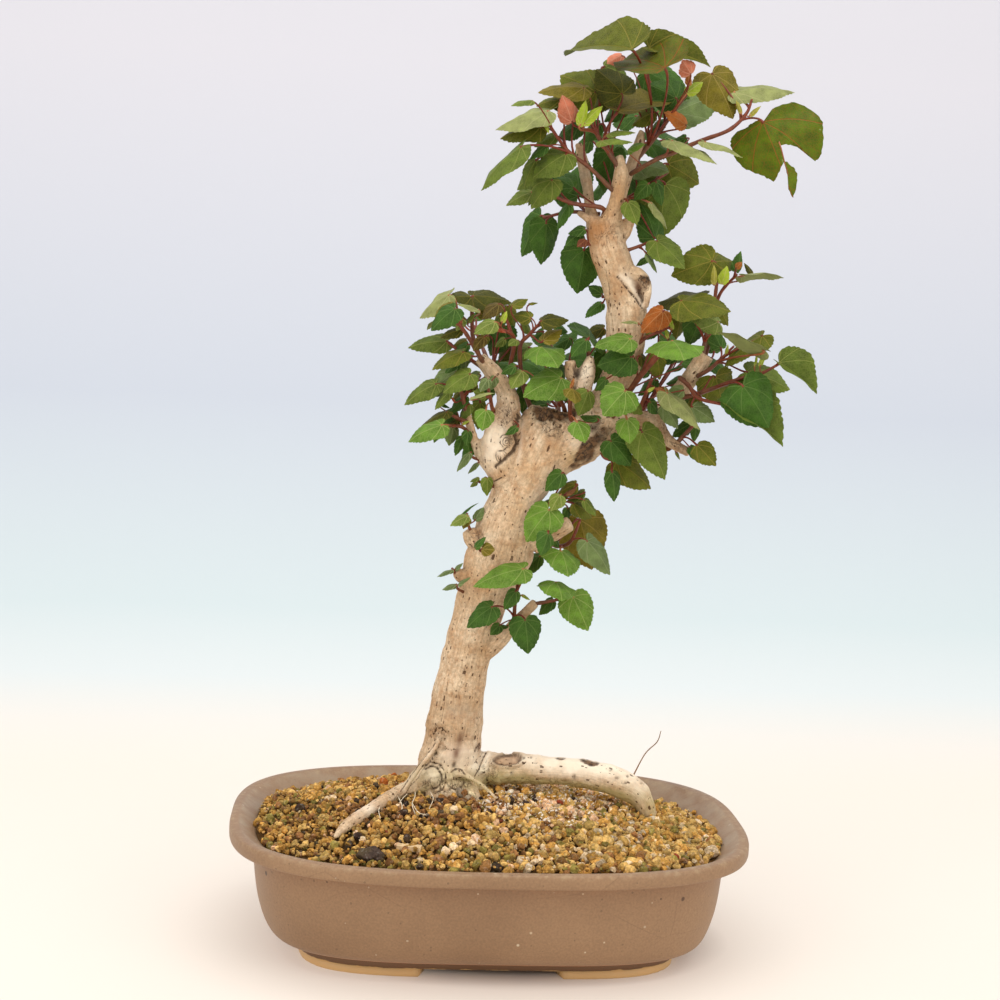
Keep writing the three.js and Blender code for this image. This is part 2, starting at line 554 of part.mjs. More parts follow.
// Leafy shoots. A stem is rows of steps across, steps down, depth and radius. A leaf is a row of its joint's
// steps across and down, its tip's steps across and down, the joint's depth, how far its tip lies behind the
// joint, how far its face turns from the viewer up to the sky in degrees, its width and its fold in degrees.
const SHOOTS = {
  crownLeft: {
    stem: [[617, 195, 1, 1.7], [590, 168, -10, 1.5], [567, 150, -16, 1.3], [546, 120, -22, 0.9]],
    leaves: [
      [566, 154, 533, 178, -16, -4, 30, 0.8],
      [547, 146, 530, 159, -12, 2, 40, 0.9],
      [521, 147, 481, 191, -26, 4, 66, 0.7],
      [541, 127, 500, 139, -20, 6, 50, 0.7],
      [553, 112, 495, 130, -14, 8, 112, 1.0],
      [533, 101, 511, 106, -26, -4, 60, 0.6],
      [580, 124, 558, 138, -4, 10, 40, 0.8],
      [545, 122, 549, 134, -24, -2, 20, 0.4],
    ],
  },
  crownTopLeft: {
    stem: [[619, 168, 0, 1.8], [601, 141, -4, 1.6], [588, 119, -8, 1.2]],
    leaves: [
      [608, 134, 636, 133, -12, -4, 60, 0.5],
      [602, 141, 633, 143, -14, -8, 70, 0.6],
      [617, 111, 671, 97, 2, -8, 74, 0.9],
      [584, 88, 538, 93, -12, -2, 62, 0.8],
      [596, 92, 556, 70, -2, 12, 28, 0.9],
      [622, 94, 596, 69, 6, 8, 30, 0.8],
      [574, 124, 562, 94, -16, -2, 20, 0.5, 40],
      [586, 120, 600, 97, -10, 3, 30, 0.3],
      [582, 121, 579, 98, -6, 6, 30, 0.3],
    ],
  },
  crownTop: {
    stem: [[631, 166, 12, 1.8], [657, 135, 14, 1.6], [676, 108, 16, 1.4], [690, 90, 18, 1.1]],
    leaves: [
      [676, 112, 720, 98, 20, 12, 40, 0.8],
      [686, 125, 664, 112, 8, -6, 30, 0.7],
      [648, 72, 690, 99, 24, 8, 30, 0.8],
      [666, 69, 621, 64, 8, -6, 48, 1.0],
      [647, 47, 712, 67, 26, 14, 40, 0.8],
      [630, 46, 566, 55, 20, -4, 78, 1.1],
      [622, 55, 603, 66, 12, -3, 30, 0.5, 35],
      [690, 80, 676, 62, 14, -3, 20, 0.6, 35],
      [688, 94, 696, 77, 16, 2, 30, 0.3],
      [684, 96, 679, 80, 20, 2, 30, 0.3],
    ],
  },
  crownRight: {
    stem: [
      [627, 176, 11, 1.8], [655, 160, -1, 1.6], [675, 152, -2, 1.6], [700, 141, -4, 1.5], [729, 130, -8, 1.4],
      [746, 114, -8, 1.2], [752, 99, -8, 0.8],
    ],
    leaves: [
      [628, 150, 645, 144, 2, -6, 50, 0.7],
      [648, 142, 671, 155, 12, 10, 50, 0.9],
      [686, 138, 669, 149, 10, 6, 40, 0.8],
      [672, 141, 717, 165, -10, -10, 68, 0.6],
      [705, 142, 743, 158, -12, -4, 72, 0.5],
      [712, 74, 733, 119, -2, -4, 24, 0.9],
      [748, 99, 795, 93, 0, 6, 112, 0.6],
      [763, 122, 793, 198, -10, -4, 4, 1.1, 26],
      [741, 113, 736, 100, -10, 0, 20, 0.4],
      [750, 116, 761, 106, -10, 0, 20, 0.4],
    ],
  },
  crownLeftLow: {
    stem: [[603, 218, 6, 1.7], [602, 208, 0, 1.7], [571, 203, -6, 1.4], [545, 192, -10, 0.9]],
    leaves: [
      [569, 204, 557, 230, -4, 4, 50, 0.7],
      [552, 180, 531, 209, -8, 4, 24, 0.8],
      [540, 170, 517, 190, 4, 10, 40, 0.8],
      [532, 192, 506, 206, -14, -2, 40, 0.7],
      [536, 196, 528, 206, -18, -4, 30, 0.5],
    ],
  },
  crownLeftBack: {
    stem: [[600, 214, 12, 1.6], [570, 212, 18, 1.4], [543, 218, 24, 1]],
    leaves: [
      [574, 188, 588, 160, 34, 8, 40, 0.9],
      [578, 196, 553, 166, 44, 10, 40, 0.9],
      [546, 223, 541, 265, 16, 2, 30, 0.8],
      [541, 216, 522, 257, 24, 6, 34, 0.7],
    ],
  },
  crownMiddle: {
    stem: [[618, 204, 9, 1.7], [641, 190, 16, 1.4], [668, 172, 22, 1]],
    leaves: [
      [628, 202, 637, 225, 2, -2, 16, 0.9],
      [651, 203, 667, 229, 4, 0, 64, 0.6],
      [648, 184, 634, 200, 10, 4, 20, 0.9],
      [656, 182, 662, 206, 14, 4, 40, 0.8],
      [638, 166, 669, 172, 8, -10, 50, 0.9],
      [655, 238, 640, 203, 14, 8, 40, 0.8],
      [665, 184, 658, 241, 18, 6, 10, 0.95],
      [668, 164, 699, 184, 30, 12, 14, 1.0],
    ],
  },
  crownBack: {
    stem: [[618, 203, 9, 1.8], [618, 206, 14, 1.8], [624, 182, 34, 1.5], [640, 150, 52, 1.2], [652, 118, 60, 0.8]],
    leaves: [
      [606, 184, 588, 200, 44, 10, 60, 0.9],
      [640, 176, 668, 196, 52, 8, 50, 0.9],
      [618, 152, 596, 130, 48, 12, 50, 0.9],
      [664, 140, 696, 150, 62, 14, 60, 0.9],
      [636, 116, 612, 124, 64, 14, 50, 0.8],
      [658, 112, 678, 92, 66, 10, 50, 0.8],
    ],
  },
  leaderLeft: {
    stem: [[600, 246, 4, 1.6], [584, 243, 2, 1.1]],
    leaves: [
      [585, 229, 568, 234, 4, 2, 40, 0.9],
      [581, 233, 565, 246, 0, -2, 30, 0.8],
      [586, 240, 577, 247, -4, -4, 20, 0.8],
      [584, 250, 577, 294, 6, 4, 6, 0.95],
    ],
  },
  leaderLeftLow: {
    stem: [[620, 297, 8, 1.4], [612, 296, 16, 1.4], [602, 297, 20, 1]],
    leaves: [
      [602, 294, 588, 286, 18, 2, 20, 0.9],
      [602, 303, 585, 318, 16, -2, 40, 0.7],
    ],
  },
  leaderRight: {
    stem: [[622, 252, 4, 1.5], [637, 247, 4, 1.2], [652, 241, 4, 0.9]],
    leaves: [
      [647, 254, 657, 273, 0, 2, 60, 0.6],
      [657, 241, 685, 269, 2, -6, 36, 0.8],
    ],
  },
  leaderFront: {
    stem: [[622, 343, 9, 1.8], [636, 344, 2, 1.8], [647, 337, 0, 1.3], [670, 327, -4, 0.9]],
    leaves: [
      [637, 322, 620, 323, -10, 0, 70, 0.6],
      [663, 311, 641, 333, -12, -2, 16, 0.9, 34],
      [672, 329, 664, 312, -6, 3, 30, 0.5],
      [668, 338, 664, 325, -2, 2, 40, 0.4],
      [647, 336, 656, 330, 0, 4, 40, 0.5],
    ],
  },
  rightUpper: {
    stem: [
      [701, 364, 8, 1.8], [706, 336, 10, 1.6], [714, 304, 8, 1.5], [717, 284, 6, 1.2], [722, 276, 4, 0.8],
    ],
    leaves: [
      [700, 316, 688, 346, 16, 4, 30, 0.9],
      [681, 301, 731, 312, -2, -10, 52, 0.9],
      [700, 297, 658, 303, 8, 10, 64, 1.1],
      [718, 322, 681, 312, -8, -6, 50, 0.8],
      [712, 261, 671, 276, 4, 4, 14, 0.95],
      [714, 262, 735, 263, 10, 12, 40, 0.8],
      [722, 284, 727, 266, 0, -2, 10, 0.7],
      [714, 284, 714, 265, -2, 2, 20, 0.4],
    ],
  },
  rightTopTwig: {
    stem: [[696, 369, 8, 1.5], [700, 372, 14, 1.5], [713, 330, 20, 1.4], [719, 296, 16, 1.3], [737, 274, 12, 1]],
    leaves: [
      [736, 271, 741, 251, 14, 4, 20, 0.7, 34],
      [736, 268, 742, 262, 8, -2, 10, 0.9],
      [743, 275, 784, 278, 12, 4, 108, 0.6],
      [752, 275, 744, 263, 18, 4, 40, 0.5],
      [714, 352, 709, 327, 26, 6, 30, 0.8],
    ],
  },
  rightMiddle: {
    stem: [[688, 381, 8, 1.8], [707, 371, 2, 1.5], [720, 360, 0, 1.3], [734, 346, -2, 0.8]],
    leaves: [
      [706, 361, 728, 371, 10, 6, 50, 0.9],
      [721, 348, 709, 326, 4, 6, 30, 0.8],
      [762, 336, 724, 368, 2, -4, 56, 0.7],
      [764, 350, 717, 332, -8, 4, 112, 0.7],
      [726, 354, 728, 344, -6, -2, 30, 0.4],
      [747, 372, 790, 390, -6, -4, 40, 0.9],
    ],
  },
  rightFar: {
    stem: [
      [678, 394, 8, 1.9], [683, 397, 1, 1.9], [700, 393, -2, 1.7], [742, 378, -10, 1.4], [760, 374, -12, 1.2],
      [779, 364, -14, 0.9],
    ],
    leaves: [
      [742, 386, 733, 379, -4, 4, 30, 0.8],
      [715, 377, 722, 404, 6, 8, 20, 1.2],
      [743, 386, 769, 428, -12, 2, 22, 1.1],
      [760, 366, 765, 352, -12, 0, 20, 0.4],
      [755, 366, 757, 351, -8, 2, 50, 0.3],
      [779, 363, 818, 394, -14, -4, 14, 0.85],
    ],
  },
  rightLow: {
    stem: [[687, 383, 8, 1.8], [680, 378, -1, 1.8], [689, 386, -6, 1.5], [698, 398, -12, 1.3], [724, 405, -20, 1]],
    leaves: [
      [692, 407, 715, 422, -14, -2, 20, 0.9],
      [700, 400, 682, 416, 2, 6, 40, 0.9],
      [726, 404, 783, 447, -22, -6, 20, 1.0],
    ],
  },
  rightTwigLeaf: {
    stem: [[676, 444, -1, 1.7], [687, 432, -2, 1.4], [695, 424, -4, 1]],
    leaves: [
      [690, 424, 672, 437, 4, 4, 30, 0.8],
      [696, 427, 694, 442, 2, 2, 30, 0.8],
      [697, 445, 716, 466, -8, -4, 12, 0.95],
      [690, 447, 700, 462, -2, 2, 40, 0.8],
      [671, 446, 659, 451, 6, 2, 40, 0.8],
      [676, 452, 680, 460, 4, 1, 40, 0.5],
    ],
  },
  middleStem: {
    stem: [[614, 388, 9, 2.2], [626, 394, 2, 2.2], [640, 376, -8, 2.2], [660, 353, -16, 2.1], [670, 349, -18, 1.4]],
    leaves: [
      [672, 341, 684, 360, -24, -26, 30, 1.05],
      [655, 352, 660, 380, -6, 4, 30, 0.9],
      [641, 356, 650, 372, -2, 4, 50, 0.8],
      [682, 366, 664, 374, 2, 2, 70, 0.7],
      [684, 379, 666, 384, 6, 6, 50, 0.9],
    ],
  },
  middleRed: {
    stem: [[640, 420, 1, 1.8], [640, 410, -4, 1.8], [645, 396, -12, 1.4], [652, 379, -18, 1.1]],
    leaves: [
      [657, 388, 668, 391, -20, -4, 30, 0.9, 30],
      [667, 393, 700, 430, -26, -4, 60, 0.7],
      [683, 390, 664, 396, -10, 4, 30, 0.9],
      [663, 406, 678, 429, -16, 0, 36, 0.8],
      [648, 391, 655, 387, -22, 0, 30, 0.6],
      [650, 402, 658, 414, -8, 6, 40, 0.9],
    ],
  },
  middleTop: {
    stem: [[617, 380, 4, 1.9], [625, 368, -5, 1.6], [631, 354, -9, 1.3], [632, 343, -11, 1]],
    leaves: [
      [606, 379, 595, 391, -10, 2, 30, 0.9],
      [631, 357, 597, 366, -6, 4, 22, 1.0],
      [630, 339, 594, 347, -18, -4, 52, 0.85],
    ],
  },
  middleFront: {
    stem: [[612, 418, -4, 1.8], [622, 404, -20, 1.5], [626, 390, -28, 1.1]],
    leaves: [
      [625, 391, 603, 416, -32, -6, 12, 1.1],
      [627, 419, 630, 444, -28, 0, 12, 1.1],
      [630, 402, 643, 414, -18, 4, 30, 0.9],
    ],
  },
  hangingLow: {
    stem: [[600, 446, 0, 1.6], [604, 457, -4, 1.3], [616, 462, -6, 0.9]],
    leaves: [
      [611, 441, 631, 466, -14, 0, 20, 0.9],
      [617, 462, 651, 489, -6, 2, 24, 0.95],
      [612, 472, 616, 507, -10, 0, 20, 0.8],
    ],
  },
  hangingRight: {
    stem: [[640, 424, 0, 1.5], [640, 434, 2, 1.2], [642, 443, 2, 0.9]],
    leaves: [
      [642, 432, 665, 480, -4, 0, 24, 0.85],
      [641, 442, 634, 457, 6, 2, 30, 0.9],
      [652, 444, 641, 428, 12, 6, 40, 0.9],
    ],
  },
  snagLeaf: {
    stem: [[589, 368, -4, 1.6], [588, 352, -2, 1.3], [588, 338, 0, 1]],
    leaves: [
      [589, 338, 585, 326, 2, 20, 56, 1.1],
      [586, 340, 571, 357, -6, -4, 30, 0.9],
    ],
  },
  middleLeft: {
    stem: [[582, 416, -4, 1.8], [572, 420, -6, 1.8], [570, 404, -16, 1.5], [573, 390, -20, 1]],
    leaves: [
      [588, 391, 578, 416, -20, -4, 20, 1.0],
      [572, 389, 575, 404, -26, -8, 34, 1.1],
      [571, 388, 574, 378, -20, 2, 20, 0.4],
      [577, 422, 585, 443, -30, -6, 22, 1.05],
      [598, 419, 580, 416, -14, 8, 60, 0.8],
    ],
  },
  topFront: {
    stem: [[566, 416, 2, 1.8], [561, 402, -4, 1.5], [545, 393, -10, 1.1]],
    leaves: [
      [561, 378, 523, 397, -12, -6, 34, 0.95],
      [558, 366, 565, 380, 4, 6, 40, 0.9],
      [541, 347, 558, 368, -14, -16, 34, 1.0],
      [529, 347, 497, 361, -10, 0, 50, 0.8],
      [522, 371, 511, 389, -22, -4, 20, 1.0],
    ],
  },
  topMiddle: {
    stem: [[538, 426, 4, 2], [524, 388, 8, 1.8], [520, 348, 4, 1.6], [530, 334, 2, 1.3], [541, 322, 0, 1]],
    leaves: [
      [543, 341, 562, 329, -2, 6, 44, 0.9],
      [543, 332, 533, 339, 8, 6, 40, 0.9],
      [541, 321, 569, 320, -6, 2, 50, 0.95],
      [531, 318, 512, 315, 2, 6, 30, 0.8],
      [512, 306, 528, 299, 4, 4, 50, 0.9],
      [529, 304, 538, 303, 8, 2, 60, 0.6],
      [553, 324, 568, 332, 8, 8, 60, 0.9],
      [517, 340, 508, 346, -8, -4, 30, 0.9],
      [523, 322, 531, 334, 12, 8, 50, 0.8],
    ],
  },
  topLeft: {
    stem: [[506, 412, -5, 1.8], [516, 416, 2, 1.8], [510, 372, 6, 1.7], [514, 338, -2, 1.5], [497, 328, -8, 1.1]],
    leaves: [
      [505, 339, 495, 347, -2, 2, 40, 0.9],
      [495, 322, 474, 334, -16, -4, 40, 0.95],
      [484, 337, 473, 351, -12, 2, 20, 0.8],
      [499, 304, 482, 319, -2, -4, 40, 0.9],
      [502, 322, 507, 311, -10, 0, 20, 0.6],
      [500, 316, 494, 323, 2, 4, 40, 0.8],
      [498, 329, 506, 333, -10, -3, 40, 0.6],
      [515, 366, 501, 374, 0, 2, 40, 0.9],
    ],
  },
  leftTop: {
    stem: [[480, 358, 1, 1.8], [473, 337, 5, 1.6], [472, 312, 4, 1.4], [472, 298, 4, 1]],
    leaves: [
      [479, 310, 455, 304, -6, -4, 72, 0.7],
      [487, 318, 478, 300, 14, 6, 40, 0.9],
      [471, 297, 449, 299, 2, -8, 46, 1.0],
      [473, 296, 512, 303, 4, 2, 50, 0.75],
      [468, 322, 474, 314, -6, 0, 30, 0.7],
      [462, 316, 456, 312, -2, 2, 40, 0.7],
    ],
  },
  leftOuter: {
    stem: [[484, 364, -2, 1.8], [476, 350, -7, 1.6], [465, 332, -11, 1.4], [456, 320, -14, 1.1]],
    leaves: [
      [462, 318, 456, 331, -8, 2, 30, 1.0],
      [455, 309, 431, 331, -18, -2, 34, 0.8],
      [453, 305, 434, 317, -12, 2, 40, 0.8],
      [449, 294, 419, 318, -6, 6, 120, 0.8],
      [434, 321, 427, 330, -10, 2, 130, 0.8],
    ],
  },
  leftFar: {
    stem: [[486, 370, -1, 1.6], [464, 355, -1, 1.3], [448, 342, -2, 1]],
    leaves: [
      [466, 340, 451, 348, 0, 2, 50, 0.8],
      [447, 341, 408, 348, -2, 2, 34, 0.8],
      [463, 352, 432, 370, -8, -4, 50, 0.7],
      [465, 353, 452, 375, -2, 4, 30, 0.8],
    ],
  },
  leftMiddle: {
    stem: [[467, 416, -5, 1.9], [463, 398, -10, 1.6], [459, 384, -14, 1.2]],
    leaves: [
      [477, 385, 463, 391, -10, 2, 40, 0.9],
      [479, 374, 462, 380, -6, 4, 50, 0.8],
      [456, 372, 425, 398, -10, 4, 36, 0.7],
      [470, 374, 443, 393, -18, -4, 34, 0.8],
      [450, 391, 435, 410, -14, 0, 36, 0.6],
      [436, 384, 404, 405, -12, -2, 38, 0.6],
      [455, 402, 450, 396, -14, -1, 30, 0.4],
    ],
  },
  leftLow: {
    stem: [[471, 424, -6, 1.7], [458, 418, -10, 1.4], [448, 413, -12, 1]],
    leaves: [
      [447, 412, 419, 430, -14, -2, 60, 0.6],
      [456, 412, 441, 425, -6, 4, 30, 0.9],
      [462, 424, 470, 421, -12, -2, 40, 0.5],
      [441, 404, 450, 408, -2, 4, 60, 0.6],
    ],
  },
  leftHanging: {
    stem: [[474, 440, -7, 1.6], [462, 427, -12, 1.3], [442, 426, -16, 0.9]],
    leaves: [
      [468, 431, 466, 446, -14, -2, 20, 0.9],
      [462, 437, 455, 456, -12, 0, 24, 0.6],
      [453, 427, 449, 446, -10, 2, 20, 0.9],
      [440, 427, 434, 443, -12, 2, 24, 0.7],
      [442, 425, 408, 442, -20, -2, 44, 0.7],
    ],
  },
  leftUnder: {
    stem: [[484, 460, -8, 1.3], [474, 458, -10, 1], [470, 452, -12, 0.8]],
    leaves: [
      [470, 453, 457, 472, -14, 0, 50, 0.6],
      [478, 463, 468, 474, -10, 0, 50, 0.6],
    ],
  },
  leftStub: {
    stem: [[516, 495, 0, 1.6], [494, 486, -4, 1.6], [484, 483, -8, 1.3], [477, 481, -10, 0.9]],
    leaves: [
      [479, 478, 470, 482, -12, 0, 50, 0.8],
      [477, 482, 470, 487, -8, 1, 40, 0.8],
      [487, 478, 487, 496, -2, 2, 20, 0.8],
    ],
  },
  leftFront: {
    stem: [[506, 415, -5, 1.6], [494, 412, -8, 1.6], [490, 396, -18, 1.3], [487, 384, -20, 1]],
    leaves: [
      [488, 379, 480, 392, -20, -2, 20, 0.9],
      [495, 377, 489, 391, -14, 2, 30, 0.8],
      [486, 397, 473, 391, -24, -4, 30, 0.8],
      [471, 398, 495, 393, -26, -4, 76, 0.5],
      [486, 410, 482, 431, -28, -2, 10, 1.1],
      [517, 427, 505, 435, -14, 0, 40, 0.8],
    ],
  },
  middleBack: {
    stem: [[560, 424, 8, 2], [556, 384, 34, 1.7], [562, 340, 48, 1.2]],
    leaves: [
      [548, 404, 522, 396, 40, 6, 50, 0.9],
      [566, 392, 592, 400, 44, 8, 50, 0.9],
      [544, 372, 518, 360, 50, 6, 50, 0.9],
      [570, 360, 596, 348, 56, 8, 50, 0.9],
      [552, 346, 530, 334, 58, 8, 50, 0.8],
      [566, 344, 576, 330, 58, 8, 50, 0.8],
    ],
  },
  rightBack: {
    stem: [[634, 422, 4, 1.9], [652, 398, 34, 1.6], [676, 358, 50, 1.2]],
    leaves: [
      [640, 412, 622, 400, 34, 8, 50, 0.9],
      [664, 402, 692, 412, 44, 8, 50, 0.9],
      [650, 372, 626, 366, 50, 8, 50, 0.9],
      [682, 362, 706, 348, 58, 6, 50, 0.9],
      [674, 350, 662, 326, 58, 10, 50, 0.8],
    ],
  },
  leftBack: {
    stem: [[497, 380, 2, 1.8], [486, 356, 30, 1.5], [474, 326, 44, 1.1]],
    leaves: [
      [496, 366, 520, 366, 34, 6, 50, 0.9],
      [472, 356, 452, 360, 40, 6, 50, 0.9],
      [484, 334, 506, 322, 46, 8, 50, 0.9],
      [464, 324, 446, 308, 50, 8, 50, 0.9],
      [476, 320, 484, 302, 50, 8, 50, 0.8],
    ],
  },
  stubUpper: {
    stem: [[534, 508, -2, 1.7], [546, 506, -8, 1.4], [556, 500, -12, 1]],
    leaves: [
      [562, 473, 545, 491, -10, 2, 26, 0.95],
      [560, 495, 551, 511, -16, -2, 20, 1.1],
      [549, 510, 526, 542, -20, -4, 20, 0.95],
      [568, 508, 566, 521, -8, 2, 30, 0.9],
      [573, 503, 592, 518, -4, 6, 40, 0.9],
      [584, 500, 596, 516, -8, 2, 40, 0.7],
      [566, 494, 577, 488, -12, 4, 30, 0.6, 40],
    ],
  },
  stubRight: {
    stem: [[545, 537, -6, 1.6], [556, 546, 0, 1.6], [570, 542, -8, 1.3], [580, 521, -10, 0.9]],
    leaves: [
      [580, 520, 592, 570, -4, 4, 10, 0.95],
      [587, 541, 610, 575, -14, 0, 40, 0.75],
      [561, 551, 568, 577, -18, -14, 30, 1.1],
      [548, 533, 540, 556, -20, -4, 30, 0.95],
      [540, 556, 523, 575, -16, 4, 40, 0.8],
      [554, 540, 559, 548, -10, 2, 30, 0.8],
    ],
  },
  lowerLeafy: {
    stem: [[514, 626, -10, 1.6], [515, 604, -14, 1.4], [518, 580, -18, 0.9]],
    leaves: [
      [516, 591, 504, 610, -12, 2, 26, 0.8],
      [492, 607, 467, 628, -26, -2, 34, 0.85],
      [523, 569, 473, 587, -28, -4, 42, 0.6],
      [500, 625, 490, 635, -16, 0, 20, 1.0],
      [500, 627, 509, 627, -12, 0, 40, 0.8],
      [525, 620, 528, 654, -22, -2, 12, 0.95],
      [522, 595, 530, 600, -14, 1, 40, 0.5],
    ],
  },
  lowerTip: {
    stem: [[534, 604, -12, 1.5], [551, 601, -14, 1.2], [562, 599, -16, 0.9]],
    leaves: [
      [553, 600, 539, 615, -12, 2, 34, 0.8],
      [556, 582, 562, 601, -18, -16, 30, 1.1],
      [573, 597, 588, 631, -18, -2, 14, 0.95],
    ],
  },
  kneeLeft: {
    stem: [[474, 538, -6, 1.4], [468, 524, -10, 1.1], [467, 513, -10, 0.8]],
    leaves: [
      [468, 516, 450, 526, -12, -2, 40, 0.8],
      [468, 518, 463, 529, -14, -2, 20, 0.9],
      [459, 517, 479, 503, -8, 0, 76, 0.4],
      [475, 520, 484, 507, -4, 2, 30, 0.8],
    ],
  },
  kneeLeftLow: {
    stem: [[460, 578, -5, 1.1], [454, 572, -8, 1], [452, 568, -9, 0.8]],
    leaves: [
      [453, 570, 437, 577, -10, 0, 60, 0.6],
      [455, 570, 463, 563, -8, 2, 50, 0.7],
    ],
  },
  kneeLeftFoot: {
    stem: [[468, 594, -6, 1.2], [458, 589, -10, 1], [456, 584, -11, 0.8]],
    leaves: [
      [456, 585, 442, 590, -12, 0, 50, 0.7],
      [458, 585, 471, 577, -11, 0, 60, 0.6],
    ],
  },
  kneeFront: {
    stem: [[486, 552, -8, 1.2], [481, 551, -22, 1], [479, 549, -25, 0.8]],
    leaves: [
      [475, 548, 486, 537, -26, 0, 40, 0.7],
      [482, 549, 495, 550, -27, -2, 10, 1.2],
    ],
  },
};

// Half a blade's edge from the notch to the tip: shares along and across, and the rib point it is joined to
const LARGE_EDGE = [
  [-0.14, 0.18, 0], [-0.08, 0.42, 0], [0.12, 0.54, 0], [0.2, 0.49, 1],
  [0.42, 0.47, 1], [0.5, 0.4, 2], [0.76, 0.24, 2],
];
const LARGE_RIB = [0.3, 0.62];
const MIDDLE_EDGE = [[-0.12, 0.22, 0], [0.04, 0.5, 0], [0.36, 0.45, 1], [0.72, 0.25, 1]];
const MIDDLE_RIB = [0.4];
const SMALL_EDGE = [[0, 0.36, 0], [0.36, 0.48, 0]];
const SMALL_RIB = [];
const BLADE_ARCH = 0.07;
const BLADE_WAVE = 0.07;
const BLADE_FOLD = 16;

// Steps along the line of sight, and bends of a stalk behind the joint and off the blade
const DEPTH_TRIES = [0, -4, 4, -8, 8, -12, 12, -16, 16, -21, 21, -27, 27, -34, 34, -42, 42];
const TRUNK_MARGIN = 0.6;
const STALK_BENDS = [[2.4, 1], [3, 3.6], [2.4, -1]];
const STRAIGHT_STALK = 0.2;
const STALK_LIFT = 1.5;
const LEAST_LEAF = 7;
const BAND_STEP = 2;

// A leaf's own axes, length and rise from its row
function leafPose(row, shift, wave) {
  const [jointX, jointY, tipX, tipY, depth, lean, turn, width, fold = BLADE_FOLD] = row;
  const joint = treeAt(jointX, jointY, depth + shift);
  const tip = treeAt(tipX, tipY, depth + shift + lean);
  const along = tip.clone().sub(joint);
  const length = along.length();
  along.divideScalar(length);
  const toEye = EYE.clone().sub(joint).normalize();
  const facing = toEye.addScaledVector(along, -toEye.dot(along)).normalize();
  const aside = new THREE.Vector3().crossVectors(along, facing);
  const leansDown = Math.abs(aside.z) > 0.35 ? aside.z < 0 : aside.x < 0;
  if (leansDown) {
    aside.negate();
  }
  const angle = THREE.MathUtils.degToRad(turn);
  const up = facing.multiplyScalar(Math.cos(angle)).addScaledVector(aside, Math.sin(angle));
  const across = new THREE.Vector3().crossVectors(up, along);
  return { joint, along, across, up, length, width, fold: THREE.MathUtils.degToRad(fold), wave };
}

function bladePoint(pose, alongShare, acrossShare, lift) {
  const inside = Math.max(alongShare, 0);
  const ripple = BLADE_WAVE * Math.sin(9 * alongShare + pose.wave + (acrossShare > 0 ? 1.3 : 0));
  const arch = BLADE_ARCH * 4 * inside * (1 - inside);
  const out = Math.abs(acrossShare) * pose.width;
  const height = arch - out * Math.sin(pose.fold) + ripple * out;
  return pose.joint
    .clone()
    .addScaledVector(pose.along, alongShare * pose.length)
    .addScaledVector(pose.across, acrossShare * pose.width * Math.cos(pose.fold) * pose.length)
    .addScaledVector(pose.up, height * pose.length + lift);
}

const LIMB_RODS = Object.values(LIMBS).flatMap((rows) =>
  rows.slice(1).map((row, index) => ({
    start: treeAt(rows[index][0], rows[index][1], rows[index][2]),
    end: treeAt(row[0], row[1], row[2]),
    startRadius: rows[index][3],
    endRadius: row[3],
  })),
);

function touchesLimb(spot) {
  return LIMB_RODS.some(({ start, end, startRadius, endRadius }) => {
    const rod = end.clone().sub(start);
    const offset = spot.point.clone().sub(start);
    const share = Math.min(Math.max(offset.dot(rod) / rod.lengthSq(), 0), 1);
    const radius = startRadius + (endRadius - startRadius) * share;
    return offset.addScaledVector(rod, -share).length() < radius + spot.reach + TRUNK_MARGIN;
  });
}

// Four corners round a stop of a stalk, seen from the blade's side
function stalkRing(pose, stalk, index, radius) {
  const stop = stalk[index];
  const run = index === stalk.length - 1 ? pose.along.clone() : stalk[index + 1].clone().sub(stop).normalize();
  if (index > 0) {
    run.add(stop.clone().sub(stalk[index - 1]).normalize()).normalize();
  }
  const aside = pose.across.clone().addScaledVector(run, -pose.across.dot(run));
  if (aside.length() < 0.3) {
    aside.copy(pose.up).addScaledVector(run, -pose.up.dot(run));
  }
  aside.setLength(radius);
  const over = new THREE.Vector3().crossVectors(run, aside);
  return [[1, 1], [-1, 1], [-1, -1], [1, -1]].map(([side, rise]) =>
    stop.clone().addScaledVector(aside, side).addScaledVector(over, rise),
  );
}

